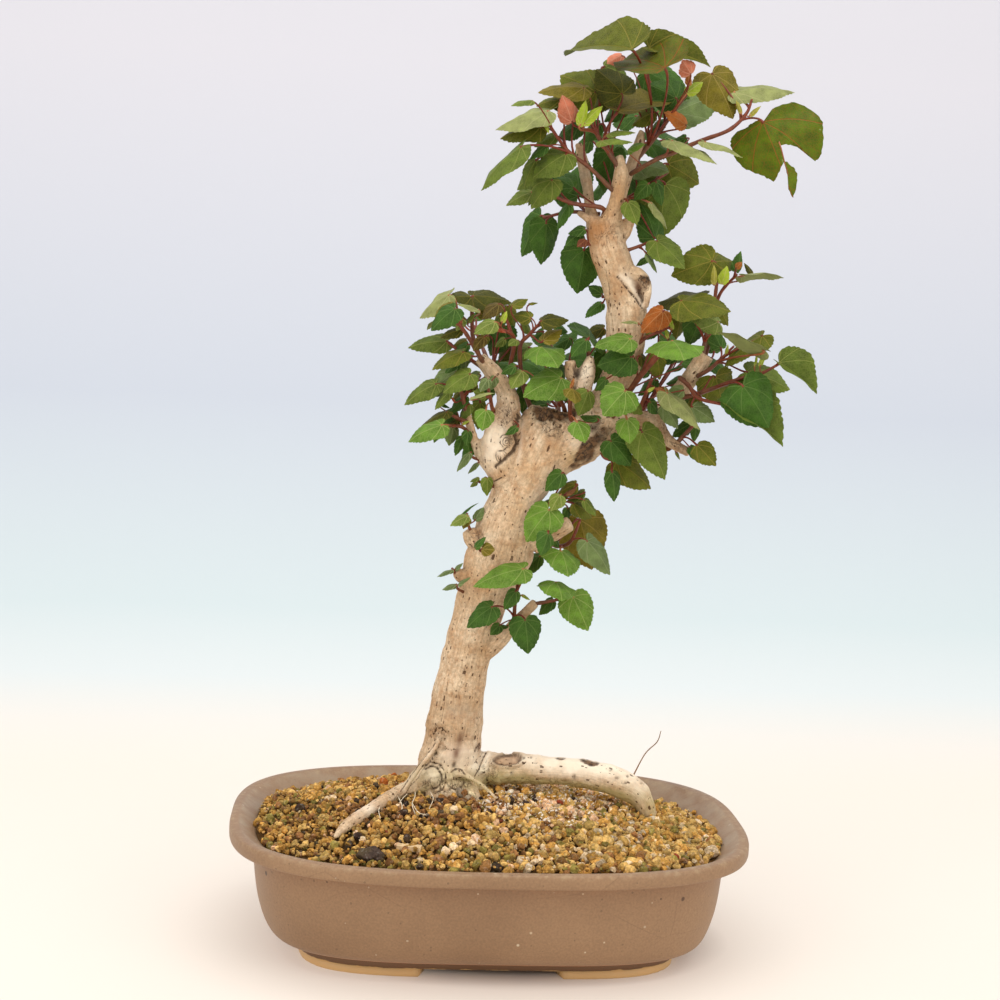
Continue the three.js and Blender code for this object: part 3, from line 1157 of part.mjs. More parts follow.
// A blade's points and faces, open only at the notch where its stalk goes in
function bladeSkin(pose, thick) {
  const large = pose.length > LARGE_LEAF;
  const small = pose.length < SMALL_LEAF;
  const edge = large ? LARGE_EDGE : small ? SMALL_EDGE : MIDDLE_EDGE;
  const rib = large ? LARGE_RIB : small ? SMALL_RIB : MIDDLE_RIB;
  const root = STALK_RADIUS / pose.length / pose.width;
  const shares = [[0, root], [0, -root]];
  rib.forEach((share) => shares.push([share, 0]));
  edge.forEach(([share, out]) => shares.push([share, out]));
  edge.forEach(([share, out]) => shares.push([share, -out]));
  shares.push([1, 0]);
  const count = shares.length;
  const tip = count - 1;
  const firstEdge = 2 + rib.length;
  const faces = [];
  // One face above and its twin below
  const pair = (a, b, c) => {
    faces.push([a, b, c]);
    faces.push([count + a, count + c, count + b]);
  };
  const hub = (half, step) => (step === 0 ? half : 1 + step);
  pair(1, rib.length > 0 ? 2 : tip, 0);
  for (const half of [0, 1]) {
    const first = firstEdge + half * edge.length;
    const face = (a, b, c) => (half === 0 ? pair(a, c, b) : pair(a, b, c));
    for (let place = 1; place < edge.length; place++) {
      const before = edge[place - 1][2];
      const now = edge[place][2];
      if (now > before) {
        face(hub(half, before), first + place - 1, hub(half, now));
      }
      face(hub(half, now), first + place - 1, first + place);
    }
    face(hub(half, rib.length), first + edge.length - 1, tip);
  }
  const loop = [0];
  edge.forEach((_, place) => loop.push(firstEdge + place));
  loop.push(tip);
  edge.forEach((_, place) => loop.push(firstEdge + 2 * edge.length - 1 - place));
  loop.push(1);
  loop.slice(1).forEach((next, place) => {
    const here = loop[place];
    faces.push([here, next, count + next]);
    faces.push([here, count + next, count + here]);
  });
  const above = shares.map(([share, out]) => bladePoint(pose, share, out, thick / 2));
  const below = shares.map(([share, out]) => bladePoint(pose, share, out, -thick / 2));
  return { points: [...above, ...below], faces, notch: [0, 1, count + 1, count] };
}

// The blade and the stalk as bodies of their own, to keep leaves clear of one another
function bladeBody(pose, thick) {
  const { points, faces, notch } = bladeSkin(pose, thick);
  const [a, b, c, d] = notch;
  return solid(closedMesh(points, [...faces, [b, a, d], [b, d, c]]));
}

function stalkBody(pose, stalk, radius) {
  return solid(loft(stalk.map((_, index) => stalkRing(pose, stalk, index, radius))));
}

function meet(one, other, most) {
  const near = one.box.min.every(
    (low, axis) => low < other.box.max[axis] && one.box.max[axis] > other.box.min[axis],
  );
  return near && one.body.intersect(other.body).volume() > most;
}

const boxed = (body) => ({ body, box: body.boundingBox() });

// Four walls between two rings of corners, joined at the turn that twists them least
function addTube(points, faces, last, now) {
  const twist = (turn) =>
    last.reduce((sum, corner, side) => sum + points[corner].distanceTo(points[now[(side + turn) % 4]]), 0);
  const turn = [0, 1, 2, 3].reduce((best, next) => (twist(next) < twist(best) - 1e-6 ? next : best));
  const turned = now.map((_, side) => now[(side + turn) % 4]);
  last.forEach((corner, side) => {
    const next = (side + 1) % 4;
    faces.push([corner, turned[side], turned[next]]);
    faces.push([corner, turned[next], last[next]]);
  });
  return turned;
}

// Adds a blade and its stalk to the skin of a shoot, growing out of four corners of the stem
function addLeaf(points, faces, { pose, stalk }, base) {
  const start = points.length;
  const blade = bladeSkin(pose, BLADE_THICK);
  points.push(...blade.points);
  blade.faces.forEach((face) => faces.push(face.map((corner) => start + corner)));
  let last = blade.notch.map((corner) => start + corner);
  for (let stop = stalk.length - 2; stop > 0; stop--) {
    const first = points.length;
    points.push(...stalkRing(pose, stalk, stop, STALK_RADIUS));
    last = addTube(points, faces, last, [first, first + 1, first + 2, first + 3]);
  }
  addTube(points, faces, last, base);
}

// Where a leaf leaves its stem: short of the stem's nearest point and outside the bark
function rootPlace(joint, fine, free) {
  const gaps = fine.map((point) => point.distanceTo(joint));
  let nearest = free;
  gaps.forEach((gap, index) => {
    if (index > free && gap < gaps[nearest] - 1e-6) {
      nearest = index;
    }
  });
  let start = nearest;
  let back = 0;
  while (start > free + 1 && back < gaps[nearest] * 0.5) {
    back += fine[start].distanceTo(fine[start - 1]);
    start -= 1;
  }
  return start / (fine.length - 1);
}

// A stem's curve, and short bands along it, one for each leaf, kept apart and clear of both ends
function layStem(name, { stem, leaves }) {
  const fineStations = smoothStations(stem, (stem.length - 1) * 6);
  const fine = fineStations.map(({ point }) => point);
  const hidden = fineStations.map(({ point, radius }) => touchesLimb({ point, reach: radius * 0.6 }));
  const free = Math.min(hidden.lastIndexOf(true) + 1, fine.length - 2);
  const curve = new THREE.CatmullRomCurve3(fine, false, "catmullrom", 0.5);
  const length = curve.getLength();
  const bands = leaves
    .filter((row) => leafPose(row, 0, 0).length >= LEAST_LEAF)
    .map((row) => ({ row, place: rootPlace(leafPose(row, 0, 0).joint, fine, free) * length }));
  bands.sort((one, other) => one.place - other.place);
  const start = (free / (fine.length - 1)) * length;
  const step = Math.min(BAND_STEP, (length - start) / (bands.length + 0.6));
  bands.forEach((band, index) => {
    const least = index === 0 ? start + step / 2 : bands[index - 1].place + step;
    band.place = Math.max(band.place, least);
  });
  for (let index = bands.length - 1; index >= 0; index--) {
    const most = index === bands.length - 1 ? length - step * 0.6 : bands[index + 1].place - step;
    bands[index].place = Math.min(bands[index].place, most);
  }
  const half = step * 0.36;
  const places = [0, length];
  bands.forEach(({ place }) => places.push(place - half, place + half));
  stem.slice(1, -1).forEach((_, index) => {
    const place = ((index + 1) / (stem.length - 1)) * length;
    if (places.every((other) => Math.abs(other - place) > BAND_STEP)) {
      places.push(place);
    }
  });
  places.sort((one, other) => one - other);
  const stations = places.map((place) => {
    const share = Math.min(Math.max(place / length, 0), 1);
    const row = share * (stem.length - 1);
    const low = Math.min(Math.floor(row), stem.length - 2);
    const radius = stem[low][3] + (stem[low + 1][3] - stem[low][3]) * (row - low);
    return { point: curve.getPointAt(share), radius };
  });
  const rings = tubeRings(stations, 4, 0.04, 3);
  bands.forEach((band) => {
    band.centre = curve.getPointAt(band.place / length);
    band.ring = places.findIndex((other) => Math.abs(other - (band.place - half)) < 1e-9);
    const [low, high] = [rings[band.ring], rings[band.ring + 1]];
    band.sides = [0, 1, 2, 3].map((side) => {
      const next = (side + 1) % 4;
      const corners = [low[side], low[next], high[next], high[side]];
      return corners.reduce((sum, corner) => sum.addScaledVector(corner, 0.25), new THREE.Vector3());
    });
    if (band === bands[bands.length - 1]) {
      band.sides.push(stations[stations.length - 1].point);
    }
  });
  const body = boxed(solid(loft(rings)));
  return { name, leaves: [], bands, rings, body };
}

// Ways for a stalk to reach its blade from a side of its band, or from the end of the stem: straight,
// lifted off the stem first, or round a bend by the notch
function stalkWays(pose, { centre, sides }) {
  const toJoint = pose.joint.clone().sub(centre).normalize();
  const outward = sides.map((root) => root.clone().sub(centre).normalize());
  const facing = outward.map((way) => way.dot(toJoint));
  const order = sides.map((_, side) => side).sort((one, other) => facing[other] - facing[one]);
  const ways = [];
  const add = (side, start) => {
    const away = pose.joint.clone().sub(start[start.length - 1]).normalize();
    if (away.dot(pose.along) > STRAIGHT_STALK) {
      ways.push({ side, stalk: [...start, pose.joint] });
    }
    const rise = away.dot(pose.up) > 0 ? -1 : 1;
    STALK_BENDS.forEach(([back, lift]) => {
      const bend = pose.joint.clone().addScaledVector(pose.along, -back).addScaledVector(pose.up, rise * lift);
      ways.push({ side, stalk: [...start, bend, pose.joint] });
    });
  };
  order.slice(0, 3).forEach((side) => add(side, [sides[side]]));
  order.slice(0, 2).forEach((side) => {
    const root = sides[side];
    add(side, [root, root.clone().addScaledVector(outward[side], STALK_LIFT)]);
  });
  return ways.sort((one, other) => one.stalk.length - other.stalk.length);
}

// Whether a leaf's faces cross any other face of the skin it belongs to, found edge by edge
function tangles({ points, faces, owners }, leaf) {
  const ray = new THREE.Ray();
  const hit = new THREE.Vector3();
  const pierces = (one, other) =>
    [[0, 1], [1, 2], [2, 0]].some(([from, to]) => {
      const [start, end] = [one[from], one[to]];
      if (other.includes(start) || other.includes(end)) {
        return false;
      }
      ray.origin.copy(points[start]);
      ray.direction.subVectors(points[end], points[start]).normalize();
      const met = ray.intersectTriangle(...other.map((corner) => points[corner]), false, hit);
      return met !== null && hit.distanceTo(points[start]) < points[end].distanceTo(points[start]);
    });
  const boxes = faces.map((face) => new THREE.Box3().setFromPoints(face.map((corner) => points[corner])));
  return faces.some(
    (face, index) =>
      owners[index] === leaf &&
      faces.some(
        (other, place) =>
          place !== index &&
          boxes[index].intersectsBox(boxes[place]) &&
          (pierces(face, other) || pierces(other, face)),
      ),
  );
}

// The skin of a four-sided stem with leaves that grow out of the sides of its bands
function shootSkin(rings, leaves) {
  const points = rings.flat();
  const bases = new Map(leaves.map((leaf) => [`${leaf.ring} ${leaf.side}`, leaf]));
  const faces = [[0, 2, 1], [0, 3, 2]];
  const owners = [];
  const cover = (leaf, [a, b, c, d]) => {
    if (leaf) {
      owners.length = faces.length;
      addLeaf(points, faces, leaf, [a, b, c, d]);
      owners.push(...faces.slice(owners.length).map(() => leaf));
    } else {
      faces.push([a, b, c], [a, c, d]);
    }
  };
  for (let ring = 0; ring < rings.length - 1; ring++) {
    for (let side = 0; side < 4; side++) {
      const low = ring * 4;
      const next = (side + 1) % 4;
      cover(bases.get(`${ring} ${side}`), [low + side, low + next, low + 4 + next, low + 4 + side]);
    }
  }
  const end = points.indexOf(rings[rings.length - 1][0]);
  cover(leaves.find((leaf) => leaf.side === 4), [end, end + 1, end + 2, end + 3]);
  return { points, faces, owners };
}

// All shoots, each leaf moved along the line of sight until it is clear
function placeShoots(trunkAround) {
  const draw = drawFrom(29);
  const shoots = Object.entries(SHOOTS).map(([name, shoot]) => layStem(name, shoot));
  const trunk = boxed(trunkAround);
  for (const shoot of shoots) {
    const strangers = shoots.filter((other) => other !== shoot);
    const around = strangers.flatMap((other) => [other.body, ...other.leaves.flatMap((leaf) => leaf.bodies)]);
    for (const band of shoot.bands) {
      const wave = draw() * Math.PI * 2;
      const leaf = DEPTH_TRIES.reduce(
        (found, shift) => found ?? clearLeaf(band, leafPose(band.row, shift, wave), shoot, around, trunk),
        null,
      );
      if (leaf) {
        shoot.leaves.push(leaf);
      }
    }
  }
  return shoots;
}

function clearLeaf(band, pose, shoot, around, trunk) {
  const wide = boxed(bladeBody(pose, BLADE_THICK + 2 * GAP));
  if ([...around, trunk].some((other) => meet(wide, other, 0))) {
    return null;
  }
  const blade = boxed(bladeBody(pose, BLADE_THICK));
  const mates = shoot.leaves.flatMap((leaf) => leaf.bodies);
  if ([...mates, shoot.body].some((other) => meet(blade, other, 0))) {
    return null;
  }
  for (const { side, stalk } of stalkWays(pose, band)) {
    const stalkAlone = boxed(stalkBody(pose, stalk, STALK_RADIUS + GAP));
    const leaf = { pose, stalk, side, ring: band.ring, bodies: [blade, stalkAlone] };
    const barred =
      [...around, trunk].some((other) => meet(stalkAlone, other, 0)) ||
      tangles(shootSkin(shoot.rings, [...shoot.leaves, leaf]), leaf);
    if (!barred) {
      return leaf;
    }
  }
  return null;
}

// Two odd pieces that lie on the clay grains
function makeLump(grow) {
  const geometry = new THREE.IcosahedronGeometry(1, 1);
  geometry.scale(5.4 + grow, 4.4 + grow, 3.4 + grow);
  geometry.rotateZ(0.4);
  const place = at(371, 857, -66);
  geometry.translate(place.x, place.y, soilHeight(place.x, place.y) + 1.2);
  return solid(geometry);
}

function makeChip(grow) {
  const geometry = new THREE.BoxGeometry(12 + 2 * grow, 5 + 2 * grow, 2.4 + 2 * grow);
  geometry.rotateZ(-0.2);
  const place = at(403, 854, -70);
  geometry.translate(place.x + 3, place.y, soilHeight(place.x, place.y) - 0.4);
  return solid(geometry);
}

function meshOf(name, body, finish) {
  const mesh = new THREE.Mesh(geometryOf(body), new THREE.MeshStandardMaterial(finish));
  mesh.name = name;
  return mesh;
}

const trunkAround = makeTrunk(GAP);
const group = new THREE.Group();
group.add(meshOf("pot", makePot(), clay));
[-DRAIN_OFFSET, DRAIN_OFFSET].forEach((x, index) => {
  group.add(meshOf(`drain_screen_${index + 1}`, makeScreen(x), plasticMesh));
  group.add(meshOf(`drain_clip_${index + 1}`, makeClip(x), aluminiumWire));
});
group.add(meshOf("soil", makeSoil(trunkAround, [makeLump(GAP), makeChip(GAP)]), soilGrain));
group.add(meshOf("lava_lump", makeLump(0), lavaRock));
group.add(meshOf("wood_chip", makeChip(0), paleWood));
group.add(meshOf("trunk", makeTrunk(0), bark));
for (const { name, rings, leaves } of placeShoots(trunkAround)) {
  const { points, faces } = shootSkin(rings, leaves);
  const body = largestPiece(solid(closedMesh(points, faces)).subtract(trunkAround));
  const node = `shoot_${name.replace(/[A-Z]/g, (letter) => `_${letter.toLowerCase()}`)}`;
  group.add(meshOf(node, body, foliage));
}

// The frame's origin is under the middle of the whole thing, on the surface it stands on
const reach = new THREE.Box3().setFromObject(group);
const middle = reach.getCenter(new THREE.Vector3());
group.position.set(-middle.x, -middle.y, -reach.min.z);

export default group;
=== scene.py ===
# Sea hibiscus bonsai: a leaning pale trunk on one long bare root, leafy shoots, and an oval clay pot.
# Sizes are in millimetres round the middle of the pot's underside, and turned to metres when a piece is made.

import math

import bmesh
import bpy
import numpy as np
from mathutils import Matrix, Vector, noise


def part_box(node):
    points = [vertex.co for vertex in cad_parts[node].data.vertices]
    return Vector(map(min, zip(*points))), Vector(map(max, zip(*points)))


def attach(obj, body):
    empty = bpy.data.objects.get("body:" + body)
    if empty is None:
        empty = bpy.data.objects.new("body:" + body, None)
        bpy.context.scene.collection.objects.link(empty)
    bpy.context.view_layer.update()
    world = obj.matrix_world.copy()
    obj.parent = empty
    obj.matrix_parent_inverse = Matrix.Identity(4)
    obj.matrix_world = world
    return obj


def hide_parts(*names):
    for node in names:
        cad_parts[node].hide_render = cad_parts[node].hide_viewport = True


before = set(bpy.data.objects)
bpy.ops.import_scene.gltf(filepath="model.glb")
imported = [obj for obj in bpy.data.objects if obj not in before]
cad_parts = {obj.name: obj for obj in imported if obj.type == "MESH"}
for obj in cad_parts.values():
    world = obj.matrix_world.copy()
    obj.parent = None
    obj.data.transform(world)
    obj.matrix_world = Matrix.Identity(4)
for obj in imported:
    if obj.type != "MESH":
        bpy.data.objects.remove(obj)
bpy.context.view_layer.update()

MM = 0.001
POT_BOX = [np.array(corner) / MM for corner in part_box("pot")]
POT_MIDDLE = np.array([(POT_BOX[0][0] + POT_BOX[1][0]) / 2, (POT_BOX[0][1] + POT_BOX[1][1]) / 2, 0.0])

# The pot's sizes
POT_LENGTH = 270
POT_DEPTH = 206
POT_POWER = 2.94
POT_SIDES = 176
FLOOR_TOP = 13
FOOT_INSET = 37.5
FOOT_WIDTH = 9
FOOT_HEIGHT = 4.4
FOOT_GAP_FRONT = 70
FOOT_GAP_SIDE = 50
DRAIN_OFFSET = 60
DRAIN_RADIUS = 12

# The heap of clay grains
SOIL_EDGE = 59
SOIL_RISE = 17
MOUND_LEFT = 10
MOUND_BACK = 10
SOIL_FRONT_RISE = 4
SOIL_INSET = 13.5

# Leaves and stalks
TREE_BACK = 10
BLADE_ARCH = 0.07
BLADE_WAVE = 0.07
BLADE_FOLD = 16
BLADE_HALF = 0.4
LEAST_LEAF = 7
STALK_RADIUS = 0.66
DEPTH_TRIES = (0, -4, 4, -8, 8, -12, 12, -16, 16, -21, 21, -27, 27, -34, 34, -42, 42)

# The trunk's skin
SKIN_STEP = 0.95

# The front view from which places are read off, in steps across and down a square view
VIEW_STEPS = 1000
VIEW_ANGLE = 30
VIEW_POINT = np.array([-1.0, -961.0, 338.0])
VIEW_PITCH = math.radians(6.3)
VIEW_ROLL = math.radians(2.5)
VIEW_TURN = math.radians(-4.3)
VIEW_FOCUS = VIEW_STEPS / 2 / math.tan(math.radians(VIEW_ANGLE / 2))
VIEW_RIGHT = np.array([1.0, 0.0, 0.0])
VIEW_UP = np.array([0.0, math.sin(VIEW_PITCH), math.cos(VIEW_PITCH)])
VIEW_AHEAD = np.array([0.0, math.cos(VIEW_PITCH), -math.sin(VIEW_PITCH)])


def turned(points, angle):
    """Points turned about the upright axis."""
    cos, sin = math.cos(angle), math.sin(angle)
    return points @ np.array([[cos, sin, 0.0], [-sin, cos, 0.0], [0.0, 0.0, 1.0]])


def at(across, down, depth):
    """The point behind a place in the front view, at a depth beyond the pot's middle."""
    x, y = across - VIEW_STEPS / 2, down - VIEW_STEPS / 2
    right = (math.cos(VIEW_ROLL) * x + math.sin(VIEW_ROLL) * y) / VIEW_FOCUS
    up = (math.sin(VIEW_ROLL) * x - math.cos(VIEW_ROLL) * y) / VIEW_FOCUS
    ray = VIEW_RIGHT * right + VIEW_UP * up + VIEW_AHEAD
    return turned(VIEW_POINT + ray * (depth - VIEW_POINT[1]) / ray[1], VIEW_TURN)


def tree_at(across, down, depth):
    """The same for a place of the tree, whose depths count from the trunk's foot."""
    return at(across, down, depth + TREE_BACK)


def limb_path(rows, steps):
    """Fine points and radii along a limb or stem, from its rows."""
    return smooth_rows([[*tree_at(*row[:3]), row[3]] for row in rows], steps)


def runs_along(points):
    """How far along a path each of its points is."""
    return np.concatenate([[0], np.cumsum(np.linalg.norm(np.diff(points, axis=0), axis=1))])


def seen(points):
    """Steps across and down at which points show in the front view."""
    rays = turned(points, -VIEW_TURN) - VIEW_POINT
    reach = rays @ VIEW_AHEAD
    x = rays @ VIEW_RIGHT / reach * VIEW_FOCUS
    y = -(rays @ VIEW_UP) / reach * VIEW_FOCUS
    across = math.cos(VIEW_ROLL) * x - math.sin(VIEW_ROLL) * y
    down = math.sin(VIEW_ROLL) * x + math.cos(VIEW_ROLL) * y
    return across + VIEW_STEPS / 2, down + VIEW_STEPS / 2


EYE = turned(VIEW_POINT, VIEW_TURN)


def unit(vector):
    """The same direction with a length of one."""
    return vector / np.linalg.norm(vector, axis=-1, keepdims=True)


def bell(values, width=1.0):
    """A smooth hump, 1 at zero and nearly nothing two widths away."""
    return np.exp(-((values / width) ** 2))


def rise(values, low, high):
    """A smooth step from 0 at low to 1 at high."""
    share = np.clip((values - low) / (high - low), 0, 1)
    return share * share * (3 - 2 * share)


def noise_at(points, size, seed=0):
    """Soft noise from about -1 to 1, with features of a size in millimetres."""
    offset = Vector((seed * 7.3, seed * 3.1, seed * 5.7))
    return np.array([noise.noise(Vector(point) + offset) for point in points / size])


def smooth_rows(rows, steps):
    """Rows with smooth ones put in between."""
    rows = np.array(rows, float)
    wide = np.vstack([2 * rows[0] - rows[1], rows, 2 * rows[-1] - rows[-2]])
    places = np.linspace(0, 1, steps, endpoint=False)[:, None]
    parts = []
    for index in range(len(rows) - 1):
        before, start, end, after = wide[index : index + 4]
        leave, arrive = (end - before) / 2, (after - start) / 2
        parts.append(
            start
            + leave * places
            + (3 * (end - start) - 2 * leave - arrive) * places**2
            + (2 * (start - end) + leave + arrive) * places**3
        )
    return np.vstack([*parts, rows[-1]])


class Skin:
    """Points and faces of one piece as it is put together, with values for each point."""

    def __init__(self):
        self.points = []
        self.faces = []
        self.finishes = []
        self.values = {}
        self.count = 0

    def add(self, points, faces, finish=0, **values):
        points = np.asarray(points, float)
        self.points.append(points)
        self.faces.extend([[self.count + corner for corner in face] for face in faces])
        self.finishes.extend([finish] * len(faces))
        for name, value in values.items():
            if isinstance(value, tuple):
                value = np.tile(value, (len(points), 1))
            elif not isinstance(value, np.ndarray):
                value = np.full(len(points), float(value))
            self.values.setdefault(name, []).append((self.count, value))
        self.count += len(points)


def piece_from(name, points, faces, materials, finishes=None, values=None, smooth=True):
    """A shown piece from points in millimetres."""
    mesh = bpy.data.meshes.new(name)
    mesh.from_pydata(((points + POT_MIDDLE) * MM).tolist(), [], faces)
    for value_name, value in (values or {}).items():
        kind = "FLOAT" if value.ndim == 1 else "FLOAT_VECTOR" if value.shape[1] == 3 else "FLOAT_COLOR"
        field = {"FLOAT": "value", "FLOAT_VECTOR": "vector", "FLOAT_COLOR": "color"}[kind]
        layer = mesh.attributes.new(value_name, kind, "POINT")
        layer.data.foreach_set(field, value.astype(np.float32).ravel())
    for material in materials:
        mesh.materials.append(material)
    if finishes is not None:
        mesh.polygons.foreach_set("material_index", finishes)
    mesh.polygons.foreach_set("use_smooth", [smooth] * len(mesh.polygons))
    mesh.update()
    piece = bpy.data.objects.new(name, mesh)
    bpy.context.scene.collection.objects.link(piece)
    return piece


def show(piece, slot, *nodes):
    """Sets a finished piece in the frame in the place of CAD nodes."""
    if nodes:
        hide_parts(*nodes)
    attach(piece, "root")
    return piece


def skin_piece(name, skin, materials, smooth=True):
    """A shown piece from a whole skin."""
    values = {}
    for value_name, parts in skin.values.items():
        shape = parts[0][1].shape[1:]
        whole = np.zeros((skin.count, *shape))
        for start, part in parts:
            whole[start : start + len(part)] = part
        values[value_name] = whole
    return piece_from(name, np.vstack(skin.points), skin.faces, materials, skin.finishes, values, smooth)


def ring_faces(rings, sides, closed_path=False, caps=True):
    """Faces of a tube laid out ring by ring."""
    faces = []
    for ring in range(rings if closed_path else rings - 1):
        low, high = ring * sides, (ring + 1) % rings * sides
        for side in range(sides):
            step = (side + 1) % sides
            faces.append([low + side, low + step, high + step, high + side])
    if caps and not closed_path:
        faces.append(list(range(sides))[::-1])
        faces.append(list(range((rings - 1) * sides, rings * sides)))
    return faces


def tube_frames(centres):
    """Two directions across a path at each of its points, untwisted."""
    runs = unit(np.gradient(centres, axis=0))
    aside = np.array([0.31, -0.83, 0.46])
    asides = []
    for run in runs:
        aside = unit(aside - run * (aside @ run))
        asides.append(aside)
    asides = np.array(asides)
    return asides, np.cross(runs, asides)


def tube(centres, radii, sides, lump=0.0, seed=0):
    """Rings of points round a path."""
    asides, others = tube_frames(centres)
    angles = np.linspace(0, 2 * math.pi, sides, endpoint=False)
    ring = np.cos(angles)[None, :, None] * asides[:, None] + np.sin(angles)[None, :, None] * others[:, None]
    reach = np.broadcast_to(np.asarray(radii, float)[:, None], (len(centres), sides)).copy()
    if lump:
        bumps = noise_at((centres[:, None] + ring * 6).reshape(-1, 3), 9, seed).reshape(reach.shape)
        reach *= 1 + lump * bumps
    return (centres[:, None] + ring * reach[..., None]).reshape(-1, 3)


def srgb(colour):
    """An sRGB hex colour as linear red, green, blue and alpha."""
    parts = [int(colour[place : place + 2], 16) / 255 for place in (1, 3, 5)]
    return (*[part / 12.92 if part <= 0.04045 else ((part + 0.055) / 1.055) ** 2.4 for part in parts], 1.0)


def toned(colour, tone):
    """An sRGB hex colour made lighter or darker, as linear values."""
    return tuple(np.append(np.array(srgb(colour)[:3]) * tone, 1))


# The trunk, its limbs, dead snags and roots: rows of steps across, steps down, depth and radius
LIMBS = {
    "trunk": [
        (452, 860, 2, 22), (449, 812, 2, 22), (449, 788, 2, 19.5), (451, 764, 2, 16.6), (453, 736, 1, 15),
        (458, 700, 0, 13.6), (465, 662, 0, 12.7), (473, 628, 0, 12.8), (482, 600, 0, 13.6),
        (491, 574, 0, 15.2), (500, 550, 0, 17.2), (508, 522, 0, 15.2), (516, 496, 0, 13.6),
        (527, 472, 0, 15.2), (539, 447, 1, 16.6), (549, 424, 3, 14.6), (553, 411, 4, 11.5),
    ],
    "burl": [
        (514, 486, -1, 7), (501, 466, -5, 9.4), (499, 446, -7, 9.6), (504, 424, -6, 8.4),
        (508, 404, -4, 6.2), (503, 386, -2, 5), (491, 370, 0, 4.4), (479, 358, 0, 3.6),
    ],
    "burl_twig": [
        (492, 470, -8, 3.6), (481, 456, -8, 3), (474, 440, -7, 2.6), (470, 425, -6, 2.4),
        (466, 411, -5, 2.2),
    ],
    "right_limb": [
        (547, 460, 2, 12.5), (568, 446, 2, 13.4), (590, 432, 2, 12.4), (612, 422, 2, 8.4),
        (634, 420, 1, 5.4), (656, 421, 0, 4),
    ],
    "right_twig": [
        (657, 408, -1, 2.4), (659, 424, -1, 3.2), (666, 438, -1, 3.2), (677, 446, -1, 2.8),
        (690, 453, -1, 2.4),
    ],
    "right_arm": [
        (650, 425, 6, 4), (664, 410, 8, 4.2), (680, 392, 8, 4.6), (694, 373, 8, 4.6), (706, 355, 8, 4.4),
    ],
    "leader": [
        (588, 436, 6, 10), (602, 412, 8, 10), (616, 384, 9, 9), (625, 352, 9, 10), (627, 322, 8, 11),
        (624, 298, 8, 10.4), (617, 274, 7, 9.6), (609, 252, 6, 9.8), (605, 234, 6, 10.2), (603, 218, 6, 8.6),
    ],
    "broken_stub": [
        (626, 276, 4, 5.2), (636, 274, 3, 4.2), (643, 278, 2, 3.3), (647, 286, 1, 2.5), (647, 297, 0, 2.1),
        (645, 308, 0, 1.7),
    ],
    "stub_root": [(622, 290, 6, 5.5), (634, 286, 6, 4.8), (640, 292, 5.5, 4.2), (642, 300, 5, 3.4)],
    "side_knob": [(608, 238, 6, 6), (622, 231, 7, 5), (630, 220, 8, 3)],
    "left_knob": [(598, 224, 4, 3.6), (586, 217, 3, 2.2), (577, 212, 3, 1.2)],
    "grey_top": [
        (594, 228, 8, 4.4), (590, 206, 10, 2.9), (586, 180, 12, 3), (582, 158, 14, 2.9), (578, 143, 15, 1.8),
    ],
    "pale_top": [
        (611, 222, 2, 5.4), (616, 203, 1, 4.2), (618, 188, 1, 3.6), (621, 172, 1, 3.8), (619, 155, 1, 2.2),
    ],
    "back_top": [
        (614, 214, 8, 4), (622, 192, 10, 3), (631, 166, 12, 2.8), (638, 146, 13, 2.8), (642, 130, 13, 1.6),
    ],
    "dead_snag": [
        (588, 438, -1, 6), (581, 412, -4, 6.4), (581, 388, -6, 6), (588, 370, -6, 4.6), (590, 355, -6, 1.6),
    ],
    "snag_knob": [(580, 390, -7, 4.4), (572, 376, -8, 3.6), (570, 360, -8, 3.2)],
    "cut_stub": [(532, 545, -4, 5.4), (549, 535, -7, 5), (570, 523, -10, 4.2)],
    "lower_branch": [(482, 654, -3, 5), (500, 641, -6, 4), (516, 622, -9, 3), (536, 602, -12, 2.4)],
    "left_upper_knob": [(486, 546, -4, 6.4), (474, 540, -6, 5), (468, 530, -7, 3.6)],
    "left_lower_knob": [(478, 574, -3, 6), (462, 577, -5, 3.6), (456, 570, -6, 2.6)],
    "thick_root": [
        (462, 770, 4, 10), (492, 768, 3, 8.4), (520, 769, 2, 8), (556, 771, 1, 7.4), (592, 775, 1, 8),
        (620, 783, 0, 7.8), (639, 795, -1, 6.6), (648, 814, -2, 4.4), (650, 838, -2, 3),
    ],
    "left_root": [
        (436, 776, -8, 7.6), (414, 786, -11, 4.8), (392, 796, -24, 3.6), (366, 812, -45, 3.3),
        (346, 826, -60, 3.1), (334, 838, -70, 1.2),
    ],
    "raised_root": [
        (439, 738, -12, 1.5), (432, 752, -14.5, 1.5), (422, 764, -16.5, 1.6), (410, 780, -18, 1.8),
        (397, 800, -23, 1.6),
    ],
    "front_root": [(457, 773, -12, 3.2), (470, 778, -17, 1.6), (484, 787, -22, 1.3), (497, 799, -30, 1)],
    "right_front_root": [(462, 784, -10, 5), (473, 791, -16, 3), (482, 812, -20, 2)],
    "back_root": [(446, 786, 16, 7), (424, 792, 30, 5), (404, 802, 42, 3.4), (392, 822, 50, 2.4)],
    "thin_twig": [(632, 778, 2, 0.4), (645, 754, 3, 0.3), (657, 742, 3, 0.27), (661, 731, 3, 0.2)],
}

